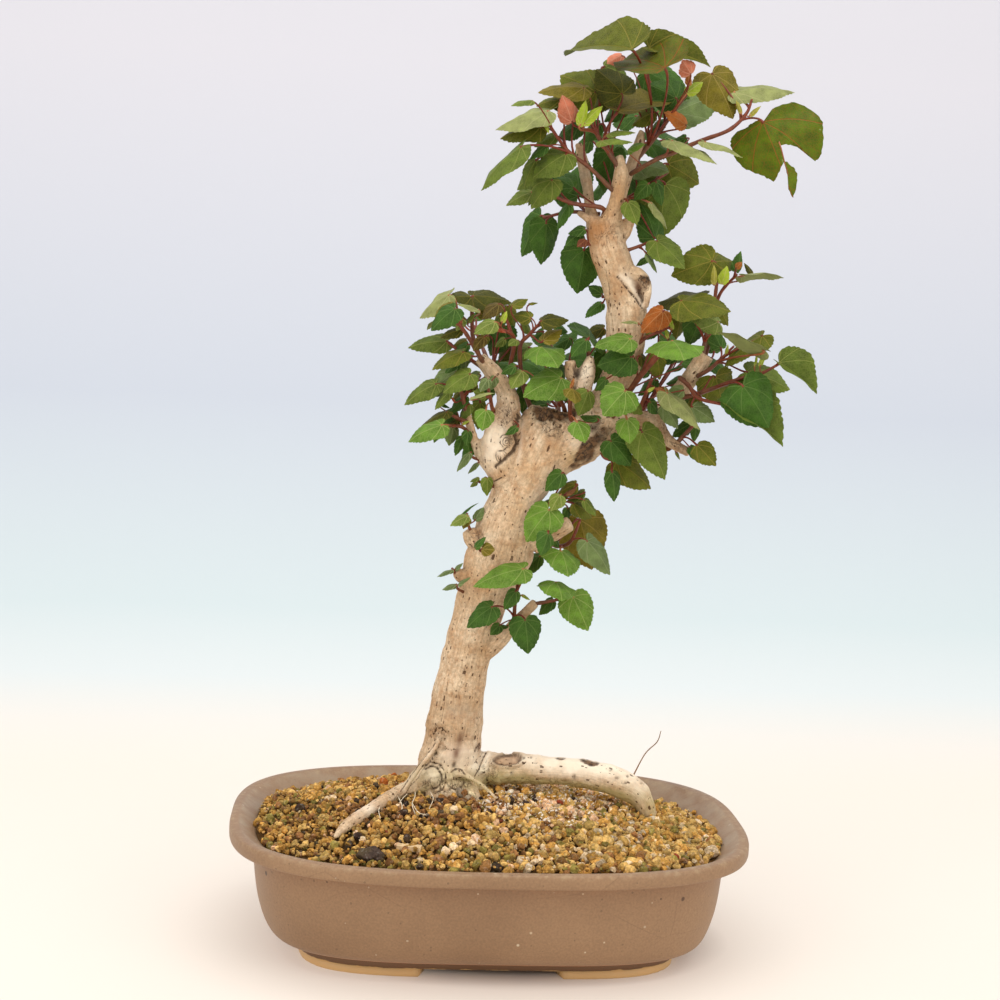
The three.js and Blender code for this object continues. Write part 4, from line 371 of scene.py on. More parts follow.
# Leafy shoots. Rows of 4 are the stem: steps across and down, depth and radius. The longer rows are leaves:
# the joint's steps across and down, the tip's steps across and down, the joint's depth, how far the tip lies
# behind it, the turn of the face up to the sky in degrees, the width, the tint where it isn't dark, and the
# fold where it is a special one
SHOOTS = {
    "crown_left": [
        (617, 195, 1, 1.7), (590, 168, -10, 1.5), (567, 150, -16, 1.3), (546, 120, -22, 0.9),
        (566, 154, 533, 178, -16, -4, 30, 0.8, "mid"), (547, 146, 530, 159, -12, 2, 40, 0.7),
        (521, 147, 481, 191, -26, 4, 66, 0.7, "mid"), (541, 127, 500, 139, -20, 6, 50, 0.7, "olive"),
        (533, 101, 511, 106, -26, -4, 60, 0.6, "mid"), (580, 124, 558, 138, -4, 10, 40, 0.8),
        (545, 122, 549, 134, -24, -2, 20, 0.4, "bud"),
    ],
    "crown_top_left": [
        (619, 168, 0, 1.8), (601, 141, -4, 1.6), (588, 119, -8, 1.2),
        (608, 134, 636, 133, -12, -4, 60, 0.5, "light"), (602, 141, 633, 143, -14, -8, 70, 0.6, "light"),
        (584, 88, 538, 93, -12, -2, 62, 0.8, "yellow"), (596, 92, 560, 75, -2, 12, 28, 1, "olive"),
        (622, 94, 596, 69, 6, 8, 24, 1, "darkolive"), (572, 122, 562, 95, -16, -2, 14, 0.9, "pink", 24),
        (584, 124, 603, 106, -20, 3, 30, 0.5, "bud"), (580, 125, 586, 100, -18, 4, 30, 0.5, "bud"),
    ],
    "crown_top": [
        (631, 166, 12, 1.8), (657, 135, 14, 1.6), (676, 108, 16, 1.4), (690, 90, 18, 1.1),
        (676, 112, 720, 98, 20, 12, 40, 0.8, "grey"), (686, 125, 664, 112, 8, -6, 30, 0.7, "orange"),
        (648, 72, 690, 99, 24, 8, 30, 0.8), (622, 55, 604, 66, 12, -3, 24, 0.8, "pink", 28),
        (691, 74, 682, 60, -16, -3, 14, 1.3, "pink", 22), (687, 93, 703, 82, -6, 2, 30, 0.8, "bud"),
        (689, 85, 688, 73, -8, 2, 30, 0.7, "orange"),
    ],
    "crown_right": [
        (627, 176, 11, 1.8), (655, 160, -1, 1.6), (675, 152, -2, 1.6), (700, 141, -4, 1.5),
        (729, 130, -8, 1.4), (746, 114, -8, 1.2), (752, 99, -8, 0.8),
        (628, 150, 645, 144, 2, -6, 50, 0.7, "bright"), (648, 142, 671, 155, 12, 10, 50, 0.9),
        (686, 138, 669, 149, 10, 6, 40, 0.8), (672, 141, 717, 165, -10, -10, 68, 0.6, "pale"),
        (705, 142, 743, 158, -12, -4, 72, 0.5, "pale"), (712, 74, 733, 119, -2, -4, 24, 0.9, "yellow"),
        (763, 122, 793, 198, -10, -4, 4, 1.1, "eaten", 26), (741, 113, 736, 100, -10, 0, 20, 0.4, "stipule"),
        (750, 116, 761, 106, -10, 0, 20, 0.4, "stipule"),
    ],
    "crown_left_low": [
        (603, 218, 6, 1.7), (602, 208, 0, 1.7), (571, 203, -6, 1.4), (545, 192, -10, 0.9),
        (569, 204, 557, 230, -4, 4, 50, 0.7), (552, 180, 531, 209, -8, 4, 24, 0.8, "mid"),
        (540, 170, 517, 190, 4, 10, 40, 0.8, "mid"), (532, 192, 506, 206, -14, -2, 40, 0.7, "light"),
        (536, 196, 528, 206, -18, -4, 30, 0.5, "light"),
    ],
    "crown_left_back": [
        (600, 214, 12, 1.6), (570, 212, 18, 1.4), (543, 218, 24, 1), (574, 188, 588, 160, 34, 8, 40, 0.9),
        (578, 196, 553, 166, 44, 10, 40, 0.9), (546, 223, 541, 265, 16, 2, 30, 0.8),
        (541, 216, 522, 257, 24, 6, 34, 0.7),
    ],
    "crown_middle": [
        (618, 204, 9, 1.7), (641, 190, 16, 1.4), (668, 172, 22, 1),
        (628, 202, 637, 225, 2, -2, 16, 0.9, "mid"), (651, 203, 667, 229, 4, 0, 64, 0.6, "pale"),
        (648, 184, 634, 200, 10, 4, 20, 0.9), (656, 182, 662, 206, 14, 4, 40, 0.8),
        (638, 166, 669, 172, 8, -10, 50, 0.9, "grey"), (655, 238, 640, 203, 14, 8, 40, 0.8),
        (665, 184, 658, 241, 18, 6, 10, 0.95, "mid"), (668, 164, 699, 184, 30, 12, 14, 1, "olive"),
    ],
    "crown_back": [
        (618, 203, 9, 1.8), (618, 206, 14, 1.8), (624, 182, 34, 1.5), (640, 150, 52, 1.2),
        (652, 118, 60, 0.8), (606, 184, 588, 200, 44, 10, 60, 0.9), (640, 176, 668, 196, 52, 8, 50, 0.9),
        (618, 152, 596, 130, 48, 12, 50, 0.9), (664, 140, 696, 150, 62, 14, 60, 0.9),
        (636, 116, 612, 124, 64, 14, 50, 0.8), (658, 112, 678, 92, 66, 10, 50, 0.8),
    ],
    "leader_left": [
        (600, 246, 4, 1.6), (584, 243, 2, 1.1), (585, 229, 568, 234, 4, 2, 40, 0.9),
        (581, 233, 565, 246, 0, -2, 30, 0.8), (586, 240, 577, 247, -4, -4, 20, 0.8, "redbrown"),
        (584, 250, 577, 294, 6, 4, 6, 0.95),
    ],
    "leader_left_low": [
        (620, 297, 8, 1.4), (612, 296, 16, 1.4), (602, 297, 20, 1), (602, 294, 588, 286, 18, 2, 20, 0.9),
        (602, 303, 585, 318, 16, -2, 40, 0.7),
    ],
    "leader_right": [
        (622, 252, 4, 1.5), (637, 247, 4, 1.2), (652, 241, 4, 0.9),
        (647, 254, 657, 273, 0, 2, 60, 0.6, "grey"), (657, 241, 685, 269, 2, -6, 36, 0.8, "mid"),
    ],
    "leader_front": [
        (622, 343, 9, 1.8), (636, 344, 2, 1.8), (647, 337, 0, 1.3), (670, 327, -4, 0.9),
        (637, 322, 620, 323, -10, 0, 70, 0.6, "pale"), (663, 311, 641, 333, -12, -2, 16, 0.9, "young", 34),
        (672, 329, 664, 312, -6, 3, 30, 0.5, "bud"), (668, 338, 664, 325, -2, 2, 40, 0.4, "bud"),
        (647, 336, 656, 330, 0, 4, 40, 0.5, "mid"),
    ],
    "right_upper": [
        (701, 364, 8, 1.8), (706, 336, 10, 1.6), (714, 304, 8, 1.5), (717, 284, 6, 1.2), (722, 276, 4, 0.8),
        (700, 316, 688, 346, 16, 4, 30, 0.9), (681, 301, 731, 312, -2, -10, 52, 0.9, "olive"),
        (700, 297, 658, 303, 8, 10, 64, 1.1, "darkolive"), (718, 322, 681, 312, -8, -6, 50, 0.8, "light"),
        (712, 261, 671, 276, 4, 4, 14, 0.95, "olive"), (714, 262, 735, 263, 10, 12, 40, 0.8, "olive"),
        (722, 284, 727, 266, 0, -2, 10, 0.7, "bud"), (714, 284, 714, 265, -2, 2, 20, 0.4, "stipule"),
    ],
    "right_top_twig": [
        (696, 369, 8, 1.5), (700, 372, 14, 1.5), (713, 330, 20, 1.4), (719, 296, 16, 1.3), (737, 274, 12, 1),
        (736, 271, 741, 251, 14, 4, 20, 0.7, "dark", 34), (736, 268, 742, 262, 8, -2, 10, 0.9, "orange"),
        (743, 275, 784, 278, 12, 4, 108, 0.6, "pale"), (752, 275, 744, 263, 18, 4, 40, 0.5, "darkolive"),
        (714, 352, 709, 327, 26, 6, 30, 0.8),
    ],
    "right_middle": [
        (688, 381, 8, 1.8), (707, 371, 2, 1.5), (720, 360, 0, 1.3), (734, 346, -2, 0.8),
        (706, 361, 728, 371, 10, 6, 50, 0.9), (721, 348, 709, 326, 4, 6, 30, 0.8),
        (762, 336, 724, 368, 2, -4, 56, 0.7, "olive"), (764, 350, 717, 332, -8, 4, 112, 0.7, "pale"),
        (726, 354, 728, 344, -6, -2, 30, 0.4, "bud"), (747, 372, 790, 390, -6, -4, 40, 0.9, "mid"),
    ],
    "right_far": [
        (678, 394, 8, 1.9), (683, 397, 1, 1.9), (700, 393, -2, 1.7), (742, 378, -10, 1.4),
        (760, 374, -12, 1.2), (779, 364, -14, 0.9), (742, 386, 733, 379, -4, 4, 30, 0.8),
        (715, 377, 722, 404, 6, 8, 20, 1.2, "olive"), (743, 386, 769, 428, -12, 2, 22, 1.1),
        (760, 366, 765, 352, -12, 0, 20, 0.4, "bud"), (755, 366, 757, 351, -8, 2, 50, 0.3, "bud"),
        (779, 363, 817, 394, -14, -4, 45, 0.94, "mid", -40),
    ],
    "right_low": [
        (687, 383, 8, 1.8), (680, 378, -1, 1.8), (689, 386, -6, 1.5), (698, 398, -12, 1.3),
        (724, 405, -20, 1), (692, 407, 715, 422, -14, -2, 20, 0.9, "grey"),
        (700, 400, 682, 416, 2, 6, 40, 0.9, "olive"), (726, 404, 783, 447, -22, -6, 45, 1, "mid", -40),
    ],
    "right_twig_leaf": [
        (676, 444, -1, 1.7), (687, 432, -2, 1.4), (695, 424, -4, 1), (690, 424, 672, 437, 4, 4, 30, 0.8),
        (696, 427, 694, 442, 2, 2, 30, 0.8), (697, 445, 716, 466, -8, -4, 12, 0.95, "olive"),
        (690, 447, 700, 462, -2, 2, 40, 0.8), (671, 446, 659, 451, 6, 2, 40, 0.8, "dry"),
        (676, 452, 680, 460, 4, 1, 40, 0.5, "mid"),
    ],
    "middle_stem": [
        (614, 388, 9, 2.2), (626, 394, 2, 2.2), (640, 376, -8, 2.2), (660, 353, -16, 2.1),
        (670, 349, -18, 1.4), (672, 341, 684, 360, -24, -26, 30, 1.05, "bright"),
        (655, 352, 660, 380, -6, 4, 30, 0.9, "olive"), (641, 356, 650, 372, -2, 4, 50, 0.8, "darkolive"),
        (682, 366, 664, 374, 2, 2, 70, 0.7), (684, 379, 666, 384, 6, 6, 50, 0.9),
    ],
    "middle_red": [
        (640, 420, 1, 1.8), (640, 410, -4, 1.8), (645, 396, -12, 1.4), (652, 379, -18, 1.1),
        (657, 388, 668, 391, -20, -4, 30, 0.9, "young", 30), (667, 393, 700, 430, -26, -4, 60, 0.7, "pale"),
        (683, 390, 664, 396, -10, 4, 30, 0.9, "grey"), (663, 406, 678, 429, -16, 0, 36, 0.8, "grey"),
        (648, 391, 655, 387, -22, 0, 30, 0.6, "bud"), (650, 402, 658, 414, -8, 6, 40, 0.9),
    ],
    "middle_top": [
        (617, 380, 4, 1.9), (625, 368, -5, 1.6), (631, 354, -9, 1.3), (632, 343, -11, 1),
        (606, 379, 595, 391, -10, 2, 30, 0.9), (631, 357, 597, 366, -6, 4, 22, 1),
        (630, 339, 594, 347, -18, -4, 52, 0.85, "bright"),
    ],
    "middle_front": [
        (612, 418, -4, 1.8), (622, 404, -20, 1.5), (626, 390, -28, 1.1),
        (625, 391, 603, 416, -32, -6, 12, 1.1, "bright"), (627, 419, 630, 444, -28, 0, 12, 1.1, "bright"),
        (630, 402, 643, 414, -18, 4, 30, 0.9, "mid"),
    ],
    "hanging_low": [
        (600, 446, 0, 1.6), (604, 457, -4, 1.3), (616, 462, -6, 0.9), (611, 441, 631, 466, -14, 0, 20, 0.9),
        (617, 462, 651, 489, -6, 2, 30, 0.8, "olive"), (612, 472, 614, 502, -10, 0, 24, 0.68),
    ],
    "hanging_right": [
        (640, 424, 0, 1.5), (640, 434, 2, 1.2), (642, 443, 2, 0.9),
        (642, 432, 665, 480, -4, 0, 24, 0.72, "mid"), (641, 442, 634, 457, 6, 2, 30, 0.9, "redbrown"),
        (652, 444, 641, 428, 12, 6, 40, 0.9),
    ],
    "snag_leaf": [
        (589, 368, -4, 1.6), (588, 352, -2, 1.3), (588, 338, 0, 1), (589, 338, 585, 326, 2, 20, 56, 1.1),
        (586, 340, 571, 357, -6, -4, 30, 0.9),
    ],
    "middle_left": [
        (582, 416, -4, 1.8), (572, 420, -6, 1.8), (570, 404, -16, 1.5), (573, 390, -20, 1),
        (588, 391, 578, 416, -20, -4, 20, 1, "mid"), (572, 389, 575, 404, -26, -8, 34, 1.1, "yellow"),
        (571, 388, 574, 378, -20, 2, 20, 0.4, "orange"), (577, 422, 585, 443, -30, -6, 22, 1.05, "bright"),
        (598, 419, 580, 416, -14, 8, 60, 0.8),
    ],
    "top_front": [
        (566, 416, 2, 1.8), (561, 402, -4, 1.5), (545, 393, -10, 1.1),
        (561, 378, 523, 397, -12, -6, 34, 0.95, "bright"), (558, 366, 565, 380, 4, 6, 40, 0.9),
        (541, 347, 558, 368, -14, -16, 34, 1, "bright"), (529, 347, 497, 361, -10, 0, 50, 0.8, "mid"),
        (522, 371, 511, 389, -22, -4, 20, 1, "light"),
    ],
    "top_middle": [
        (538, 426, 4, 2), (524, 388, 8, 1.8), (520, 348, 4, 1.6), (530, 334, 2, 1.3), (541, 322, 0, 1),
        (543, 341, 562, 329, -2, 6, 44, 0.9, "yellow"), (543, 332, 533, 339, 8, 6, 40, 0.9),
        (541, 321, 569, 320, -6, 2, 50, 0.95, "darkolive"), (531, 318, 512, 315, 2, 6, 30, 0.8, "olive"),
        (512, 306, 528, 299, 4, 4, 50, 0.9, "olive"), (529, 304, 538, 303, 8, 2, 60, 0.6, "olive"),
        (553, 324, 568, 332, 8, 8, 60, 0.9), (517, 340, 508, 346, -8, -4, 30, 0.9, "mid"),
        (523, 322, 531, 334, 12, 8, 50, 0.8, "mid"),
    ],
    "top_left": [
        (506, 412, -5, 1.8), (516, 416, 2, 1.8), (510, 372, 6, 1.7), (514, 338, -2, 1.5),
        (497, 328, -8, 1.1), (505, 339, 495, 347, -2, 2, 40, 0.9, "mid"),
        (495, 322, 474, 334, -16, -4, 40, 0.95, "light"), (484, 337, 473, 351, -12, 2, 20, 0.8, "tan"),
        (499, 304, 482, 319, -2, -4, 40, 0.9, "tan"), (502, 322, 507, 311, -10, 0, 20, 0.6, "bud"),
        (500, 316, 494, 323, 2, 4, 40, 0.8, "mid"), (498, 329, 506, 333, -10, -3, 40, 0.6, "red"),
        (515, 366, 501, 374, 0, 2, 40, 0.9),
    ],
    "left_top": [
        (480, 358, 1, 1.8), (473, 337, 5, 1.6), (472, 312, 4, 1.4), (472, 298, 4, 1),
        (479, 310, 455, 304, -6, -4, 72, 0.7, "pale"), (487, 318, 478, 300, 14, 6, 40, 0.9, "yellow"),
        (471, 297, 449, 299, 2, -8, 46, 1, "darkolive"), (473, 296, 512, 303, 4, 2, 50, 0.75, "darkolive"),
        (468, 322, 474, 314, -6, 0, 30, 0.7, "mid"), (462, 316, 456, 312, -2, 2, 40, 0.7, "mid"),
    ],
    "left_outer": [
        (484, 364, -2, 1.8), (476, 350, -7, 1.6), (465, 332, -11, 1.4), (456, 320, -14, 1.1),
        (462, 318, 456, 331, -8, 2, 30, 1, "light"), (455, 309, 431, 331, -18, -2, 34, 0.8),
        (453, 305, 434, 317, -12, 2, 40, 0.8, "yellow"), (434, 321, 427, 330, -10, 2, 130, 0.8, "light"),
    ],
    "left_far": [
        (486, 370, -1, 1.6), (464, 355, -1, 1.3), (448, 342, -2, 1),
        (466, 340, 451, 348, 0, 2, 50, 0.8, "olive"), (447, 341, 408, 348, -2, 2, 40, 0.62, "mid"),
        (463, 352, 432, 370, -8, -4, 50, 0.7, "olive"), (465, 353, 452, 375, -2, 4, 30, 0.8, "grey"),
    ],
    "left_middle": [
        (467, 416, -5, 1.9), (463, 398, -10, 1.6), (459, 384, -14, 1.2),
        (477, 385, 463, 391, -10, 2, 40, 0.9, "darkolive"), (479, 374, 462, 380, -6, 4, 50, 0.8, "grey"),
        (456, 372, 425, 398, -10, 4, 36, 0.7, "grey"), (470, 374, 443, 393, -18, -4, 34, 0.8, "mid"),
        (450, 391, 435, 410, -14, 0, 36, 0.6, "mid"), (436, 384, 404, 405, -12, -2, 38, 0.6, "mid"),
        (455, 402, 450, 396, -14, -1, 30, 0.4, "red"),
    ],
    "left_low": [
        (471, 424, -6, 1.7), (458, 418, -10, 1.4), (448, 413, -12, 1),
        (447, 412, 419, 430, -14, -2, 60, 0.6, "darkolive"), (456, 412, 441, 425, -6, 4, 30, 0.9),
        (462, 424, 470, 421, -12, -2, 40, 0.5, "bud"), (441, 404, 450, 408, -2, 4, 60, 0.6),
    ],
    "left_hanging": [
        (474, 440, -7, 1.6), (462, 427, -12, 1.3), (442, 426, -16, 0.9),
        (468, 431, 466, 446, -14, -2, 20, 0.9), (462, 437, 455, 456, -12, 0, 24, 0.6),
        (453, 427, 449, 446, -10, 2, 20, 0.9, "grey"), (440, 427, 434, 443, -12, 2, 24, 0.7),
        (442, 425, 408, 442, -20, -2, 44, 0.7, "bright"),
    ],
    "left_under": [
        (484, 460, -8, 1.3), (474, 458, -10, 1), (470, 452, -12, 0.8),
        (470, 453, 457, 472, -14, 0, 50, 0.6, "grey"), (478, 463, 468, 474, -10, 0, 50, 0.6, "grey"),
    ],
    "left_stub": [
        (516, 495, 0, 1.6), (494, 486, -4, 1.6), (484, 483, -8, 1.3), (477, 481, -10, 0.9),
        (479, 478, 470, 482, -12, 0, 50, 0.8, "mid"), (477, 482, 470, 487, -8, 1, 40, 0.8, "mid"),
        (487, 478, 487, 496, -2, 2, 20, 0.8, "mid"),
    ],
    "left_front": [
        (506, 415, -5, 1.6), (494, 412, -8, 1.6), (490, 396, -18, 1.3), (487, 384, -20, 1),
        (488, 379, 480, 392, -20, -2, 20, 0.9, "grey"), (495, 377, 489, 391, -14, 2, 30, 0.8, "grey"),
        (486, 397, 473, 391, -24, -4, 30, 0.8, "mid"), (471, 398, 495, 393, -26, -4, 76, 0.5, "pale"),
        (486, 410, 482, 431, -28, -2, 10, 1.1, "bright"), (517, 427, 505, 435, -14, 0, 40, 0.8),
    ],
    "middle_back": [
        (560, 424, 8, 2), (556, 384, 34, 1.7), (562, 340, 48, 1.2), (548, 404, 522, 396, 40, 6, 50, 0.9),
        (566, 392, 592, 400, 44, 8, 50, 0.9), (544, 372, 518, 360, 50, 6, 50, 0.9),
        (570, 360, 596, 348, 56, 8, 50, 0.9), (552, 346, 530, 334, 58, 8, 50, 0.8),
        (566, 344, 576, 330, 58, 8, 50, 0.8),
    ],
    "right_back": [
        (634, 422, 4, 1.9), (652, 398, 34, 1.6), (676, 358, 50, 1.2), (640, 412, 622, 400, 34, 8, 50, 0.9),
        (664, 402, 692, 412, 44, 8, 50, 0.9), (650, 372, 626, 366, 50, 8, 50, 0.9),
        (682, 362, 706, 348, 58, 6, 50, 0.9), (674, 350, 662, 326, 58, 10, 50, 0.8),
    ],
    "left_back": [
        (497, 380, 2, 1.8), (486, 356, 30, 1.5), (474, 326, 44, 1.1), (496, 366, 520, 366, 34, 6, 50, 0.9),
        (472, 356, 452, 360, 40, 6, 50, 0.9), (484, 334, 506, 322, 46, 8, 50, 0.9),
        (464, 324, 446, 308, 50, 8, 50, 0.9), (476, 320, 484, 302, 50, 8, 50, 0.8),
    ],
    "stub_upper": [
        (534, 508, -2, 1.7), (546, 506, -8, 1.4), (556, 500, -12, 1), (562, 473, 545, 491, -10, 2, 26, 0.95),
        (560, 495, 551, 511, -16, -2, 20, 1.1, "light"), (549, 510, 526, 542, -20, -4, 20, 0.95, "bright"),
        (568, 508, 566, 521, -8, 2, 30, 0.9), (573, 503, 592, 518, -4, 6, 40, 0.9, "olive"),
        (584, 500, 596, 516, -8, 2, 40, 0.7, "mid"), (566, 494, 577, 488, -12, 4, 30, 0.6, "dry", 40),
    ],
    "stub_right": [
        (545, 537, -6, 1.6), (556, 546, 0, 1.6), (570, 542, -8, 1.3), (580, 521, -10, 0.9),
        (580, 520, 592, 570, -4, 4, 10, 0.95, "yellow"), (587, 541, 610, 575, -14, 0, 40, 0.75, "grey"),
        (561, 551, 568, 577, -18, -14, 30, 1.1, "bright"), (548, 533, 540, 556, -20, -4, 30, 0.95),
        (540, 556, 523, 575, -16, 4, 40, 0.8), (554, 540, 559, 548, -10, 2, 30, 0.8),
    ],
    "lower_leafy": [
        (514, 626, -10, 1.6), (515, 604, -14, 1.4), (518, 580, -18, 0.9),
        (516, 591, 504, 610, -12, 2, 26, 0.8), (492, 607, 467, 628, -26, -2, 34, 0.85),
        (523, 569, 473, 587, -28, -4, 42, 0.6, "bright"), (500, 625, 490, 635, -16, 0, 20, 1),
        (500, 627, 509, 627, -12, 0, 40, 0.8), (525, 620, 528, 654, -22, -2, 12, 0.95),
        (522, 595, 530, 600, -14, 1, 40, 0.5, "bud"),
    ],
    "lower_tip": [
        (534, 604, -12, 1.5), (551, 601, -14, 1.2), (562, 599, -16, 0.9),
        (553, 600, 539, 615, -12, 2, 34, 0.8), (556, 582, 562, 601, -18, -16, 30, 1.1, "bright"),
        (573, 597, 588, 631, -18, -2, 14, 0.95, "bright"),
    ],
    "knee_left": [
        (474, 538, -6, 1.4), (468, 524, -10, 1.1), (467, 513, -10, 0.8),
        (468, 516, 450, 526, -12, -2, 40, 0.8, "light"), (468, 518, 463, 529, -14, -2, 20, 0.9, "yellow"),
        (459, 517, 479, 503, -8, 0, 76, 0.4), (475, 520, 484, 507, -4, 2, 30, 0.8, "grey"),
    ],
    "knee_left_low": [
        (460, 578, -5, 1.1), (454, 572, -8, 1), (452, 568, -9, 0.8),
        (453, 570, 437, 577, -10, 0, 60, 0.6, "grey"), (455, 570, 463, 563, -8, 2, 50, 0.7, "grey"),
    ],
    "knee_left_foot": [
        (468, 594, -6, 1.2), (458, 589, -10, 1), (456, 584, -11, 0.8),
        (456, 585, 442, 590, -12, 0, 50, 0.7, "grey"), (458, 585, 471, 577, -11, 0, 60, 0.6, "grey"),
    ],
    "knee_front": [
        (486, 552, -8, 1.2), (481, 551, -22, 1), (479, 549, -25, 0.8), (475, 548, 486, 537, -26, 0, 40, 0.7),
        (482, 549, 495, 550, -27, -2, 10, 1.2, "yellow"),
    ],
}

# Smaller leaves inside the crown in rows as above, which the frame's plain shoots don't have
INNER_LEAVES = {
    "crown_left": [
        (548, 111, 495, 130, -20, 8, 68, 0.8, "pale"), (560, 100, 536, 106, -10, 4, 50, 0.8, "olive"),
        (556, 136, 534, 147, -8, 2, 44, 0.8, "mid"), (570, 108, 548, 100, -6, 6, 40, 0.8, "darkolive"),
        (536, 160, 524, 188, -14, 4, 34, 0.8, "mid"),
    ],
    "crown_top_left": [
        (619, 111, 672, 104, -6, 26, 66, 0.72, "yellow", -14),
        (612, 96, 590, 112, 10, 4, 40, 0.9, "darkolive"), (604, 66, 628, 78, 12, 4, 30, 0.9, "mid"),
        (626, 104, 604, 122, 12, 6, 40, 0.9), (600, 124, 582, 142, 14, 6, 40, 0.9),
    ],
    "crown_top": [
        (632, 49, 565, 56, -32, 40, 66, 0.64, "olive", -22),
        (665, 68, 621, 62, -34, 32, 58, 0.92, "redvein", -14),
        (649, 48, 711, 67, -14, 6, 45, 0.56, "olive", -35), (676, 98, 648, 84, 8, 4, 20, 1.1),
        (654, 112, 632, 126, 12, 6, 40, 0.9, "olive"), (636, 96, 654, 106, 18, 6, 40, 0.8, "darkolive"),
        (664, 122, 646, 136, 16, 6, 50, 0.8),
    ],
    "crown_right": [(734, 92, 795, 93, -2, 10, 66, 0.6, "pale")],
    "crown_back": [
        (612, 152, 604, 192, 26, 6, 24, 0.85), (626, 176, 634, 206, 22, 6, 30, 0.8),
        (590, 140, 574, 156, 30, 6, 40, 0.9),
    ],
    "crown_left_low": [(574, 188, 550, 176, 4, 6, 40, 0.8), (556, 196, 572, 210, 6, 4, 50, 0.7)],
    "middle_back": [
        (526, 386, 522, 414, 12, 2, 20, 0.7), (570, 338, 552, 350, 22, 4, 40, 0.9),
        (604, 328, 582, 338, 26, 4, 40, 0.8, "darkolive"), (606, 352, 594, 384, 16, 4, 24, 0.6),
        (538, 392, 520, 404, 20, 4, 40, 0.8), (590, 396, 606, 408, 14, 4, 40, 0.8),
    ],
    "left_back": [
        (504, 326, 490, 356, 18, 4, 26, 0.9), (514, 342, 498, 362, 20, 4, 36, 0.9, "darkolive"),
        (508, 306, 514, 330, 18, 4, 36, 0.8, "olive"), (492, 386, 472, 402, 16, 4, 44, 0.9),
        (480, 402, 478, 430, 8, 2, 24, 0.7, "mid"), (468, 386, 452, 400, 10, 4, 44, 0.8, "darkolive"),
        (498, 364, 484, 378, 14, 4, 44, 0.9), (488, 336, 474, 348, 20, 4, 40, 0.8, "olive"),
        (514, 392, 498, 402, 14, 4, 44, 0.7),
    ],
    "right_back": [
        (680, 312, 676, 340, 26, 4, 30, 0.8, "olive"), (656, 330, 636, 340, 20, 4, 40, 0.7),
        (656, 380, 638, 396, 18, 4, 44, 0.8), (716, 304, 728, 326, 20, 4, 30, 0.8, "olive"),
        (676, 356, 656, 362, 20, 4, 40, 0.8), (690, 400, 672, 408, 14, 4, 40, 0.7),
    ],
    "left_hanging": [
        (472, 446, 462, 462, -8, 2, 30, 0.8), (466, 440, 470, 458, -10, 2, 30, 0.7),
        (458, 420, 446, 432, -8, 2, 40, 0.8, "darkolive"),
    ],
    "left_middle": [(466, 396, 450, 414, -8, 2, 40, 0.7), (470, 404, 460, 422, -8, 2, 36, 0.7, "mid")],
    "left_outer": [
        (449, 295, 419, 318, -8, 8, 62, 0.8, "pale"), (462, 330, 440, 338, -6, 2, 44, 0.7, "darkolive"),
        (468, 344, 450, 358, -4, 2, 44, 0.7),
    ],
    "left_far": [(458, 362, 440, 382, -4, 2, 40, 0.6)],
    "stub_upper": [
        (576, 484, 554, 498, -6, 4, 50, 0.9, "olive"), (584, 492, 566, 502, -4, 4, 50, 0.8, "mid"),
        (560, 502, 542, 502, -4, 2, 50, 0.7),
    ],
    "leader_right": [(648, 258, 636, 266, 6, 2, 40, 0.7)],
}

# Leaf colours of the upper face, and the colour of the veins on it; the 'pale' tint is a painted sheen, for
# leaves whose tops catch the sky's light at a slant
LEAF_TINTS = {
    "mid": ("#66792B", "#939A4C"), "dark": ("#40641E", "#688640"), "bright": ("#688E2E", "#9EB15F"),
    "light": ("#788B37", "#AAAF64"), "pale": ("#949B5C", "#BBBA80"), "grey": ("#6E8149", "#94A06C"),
    "olive": ("#666F1E", "#9B8E3C"), "darkolive": ("#484C11", "#7E752C"), "yellow": ("#746A1B", "#A89248"),
    "eaten": ("#58700A", "#A05A24"), "redvein": ("#5F6E0E", "#A45225"), "redbrown": ("#79422C", "#9F6341"),
    "tan": ("#5A4A1A", "#8E7A3C"), "young": ("#A85B22", "#C88C55"), "orange": ("#B86A2C", "#C38952"),
    "pink": ("#D98060", "#E0A084"), "red": ("#A04426", "#C07050"), "dry": ("#7A4E2C", "#9A7048"),
    "bud": ("#AAC034", "#C4C868"), "stipule": ("#A09A38", "#B8B060"),
}
UNDER_TINT = "#949E66"
STALK_RED = "#762C12"
STALK_PALE = "#A8683E"
STEM_BARK = "#6C462A"

# Half a leaf's edge from its stalk round the notch to the tip, in shares along and across
EDGE_CURVE = [
    (0, 0), (-0.05, 0.05), (-0.13, 0.15), (-0.13, 0.3), (-0.06, 0.43), (0.07, 0.515), (0.22, 0.535),
    (0.38, 0.505), (0.54, 0.43), (0.7, 0.325), (0.83, 0.21), (0.93, 0.09), (1, 0),
]
SMALL_CURVE = [
    (0, 0), (-0.03, 0.06), (-0.05, 0.16), (0, 0.3), (0.1, 0.41), (0.24, 0.46), (0.4, 0.45), (0.56, 0.39),
    (0.7, 0.3), (0.82, 0.2), (0.92, 0.09), (1, 0),
]
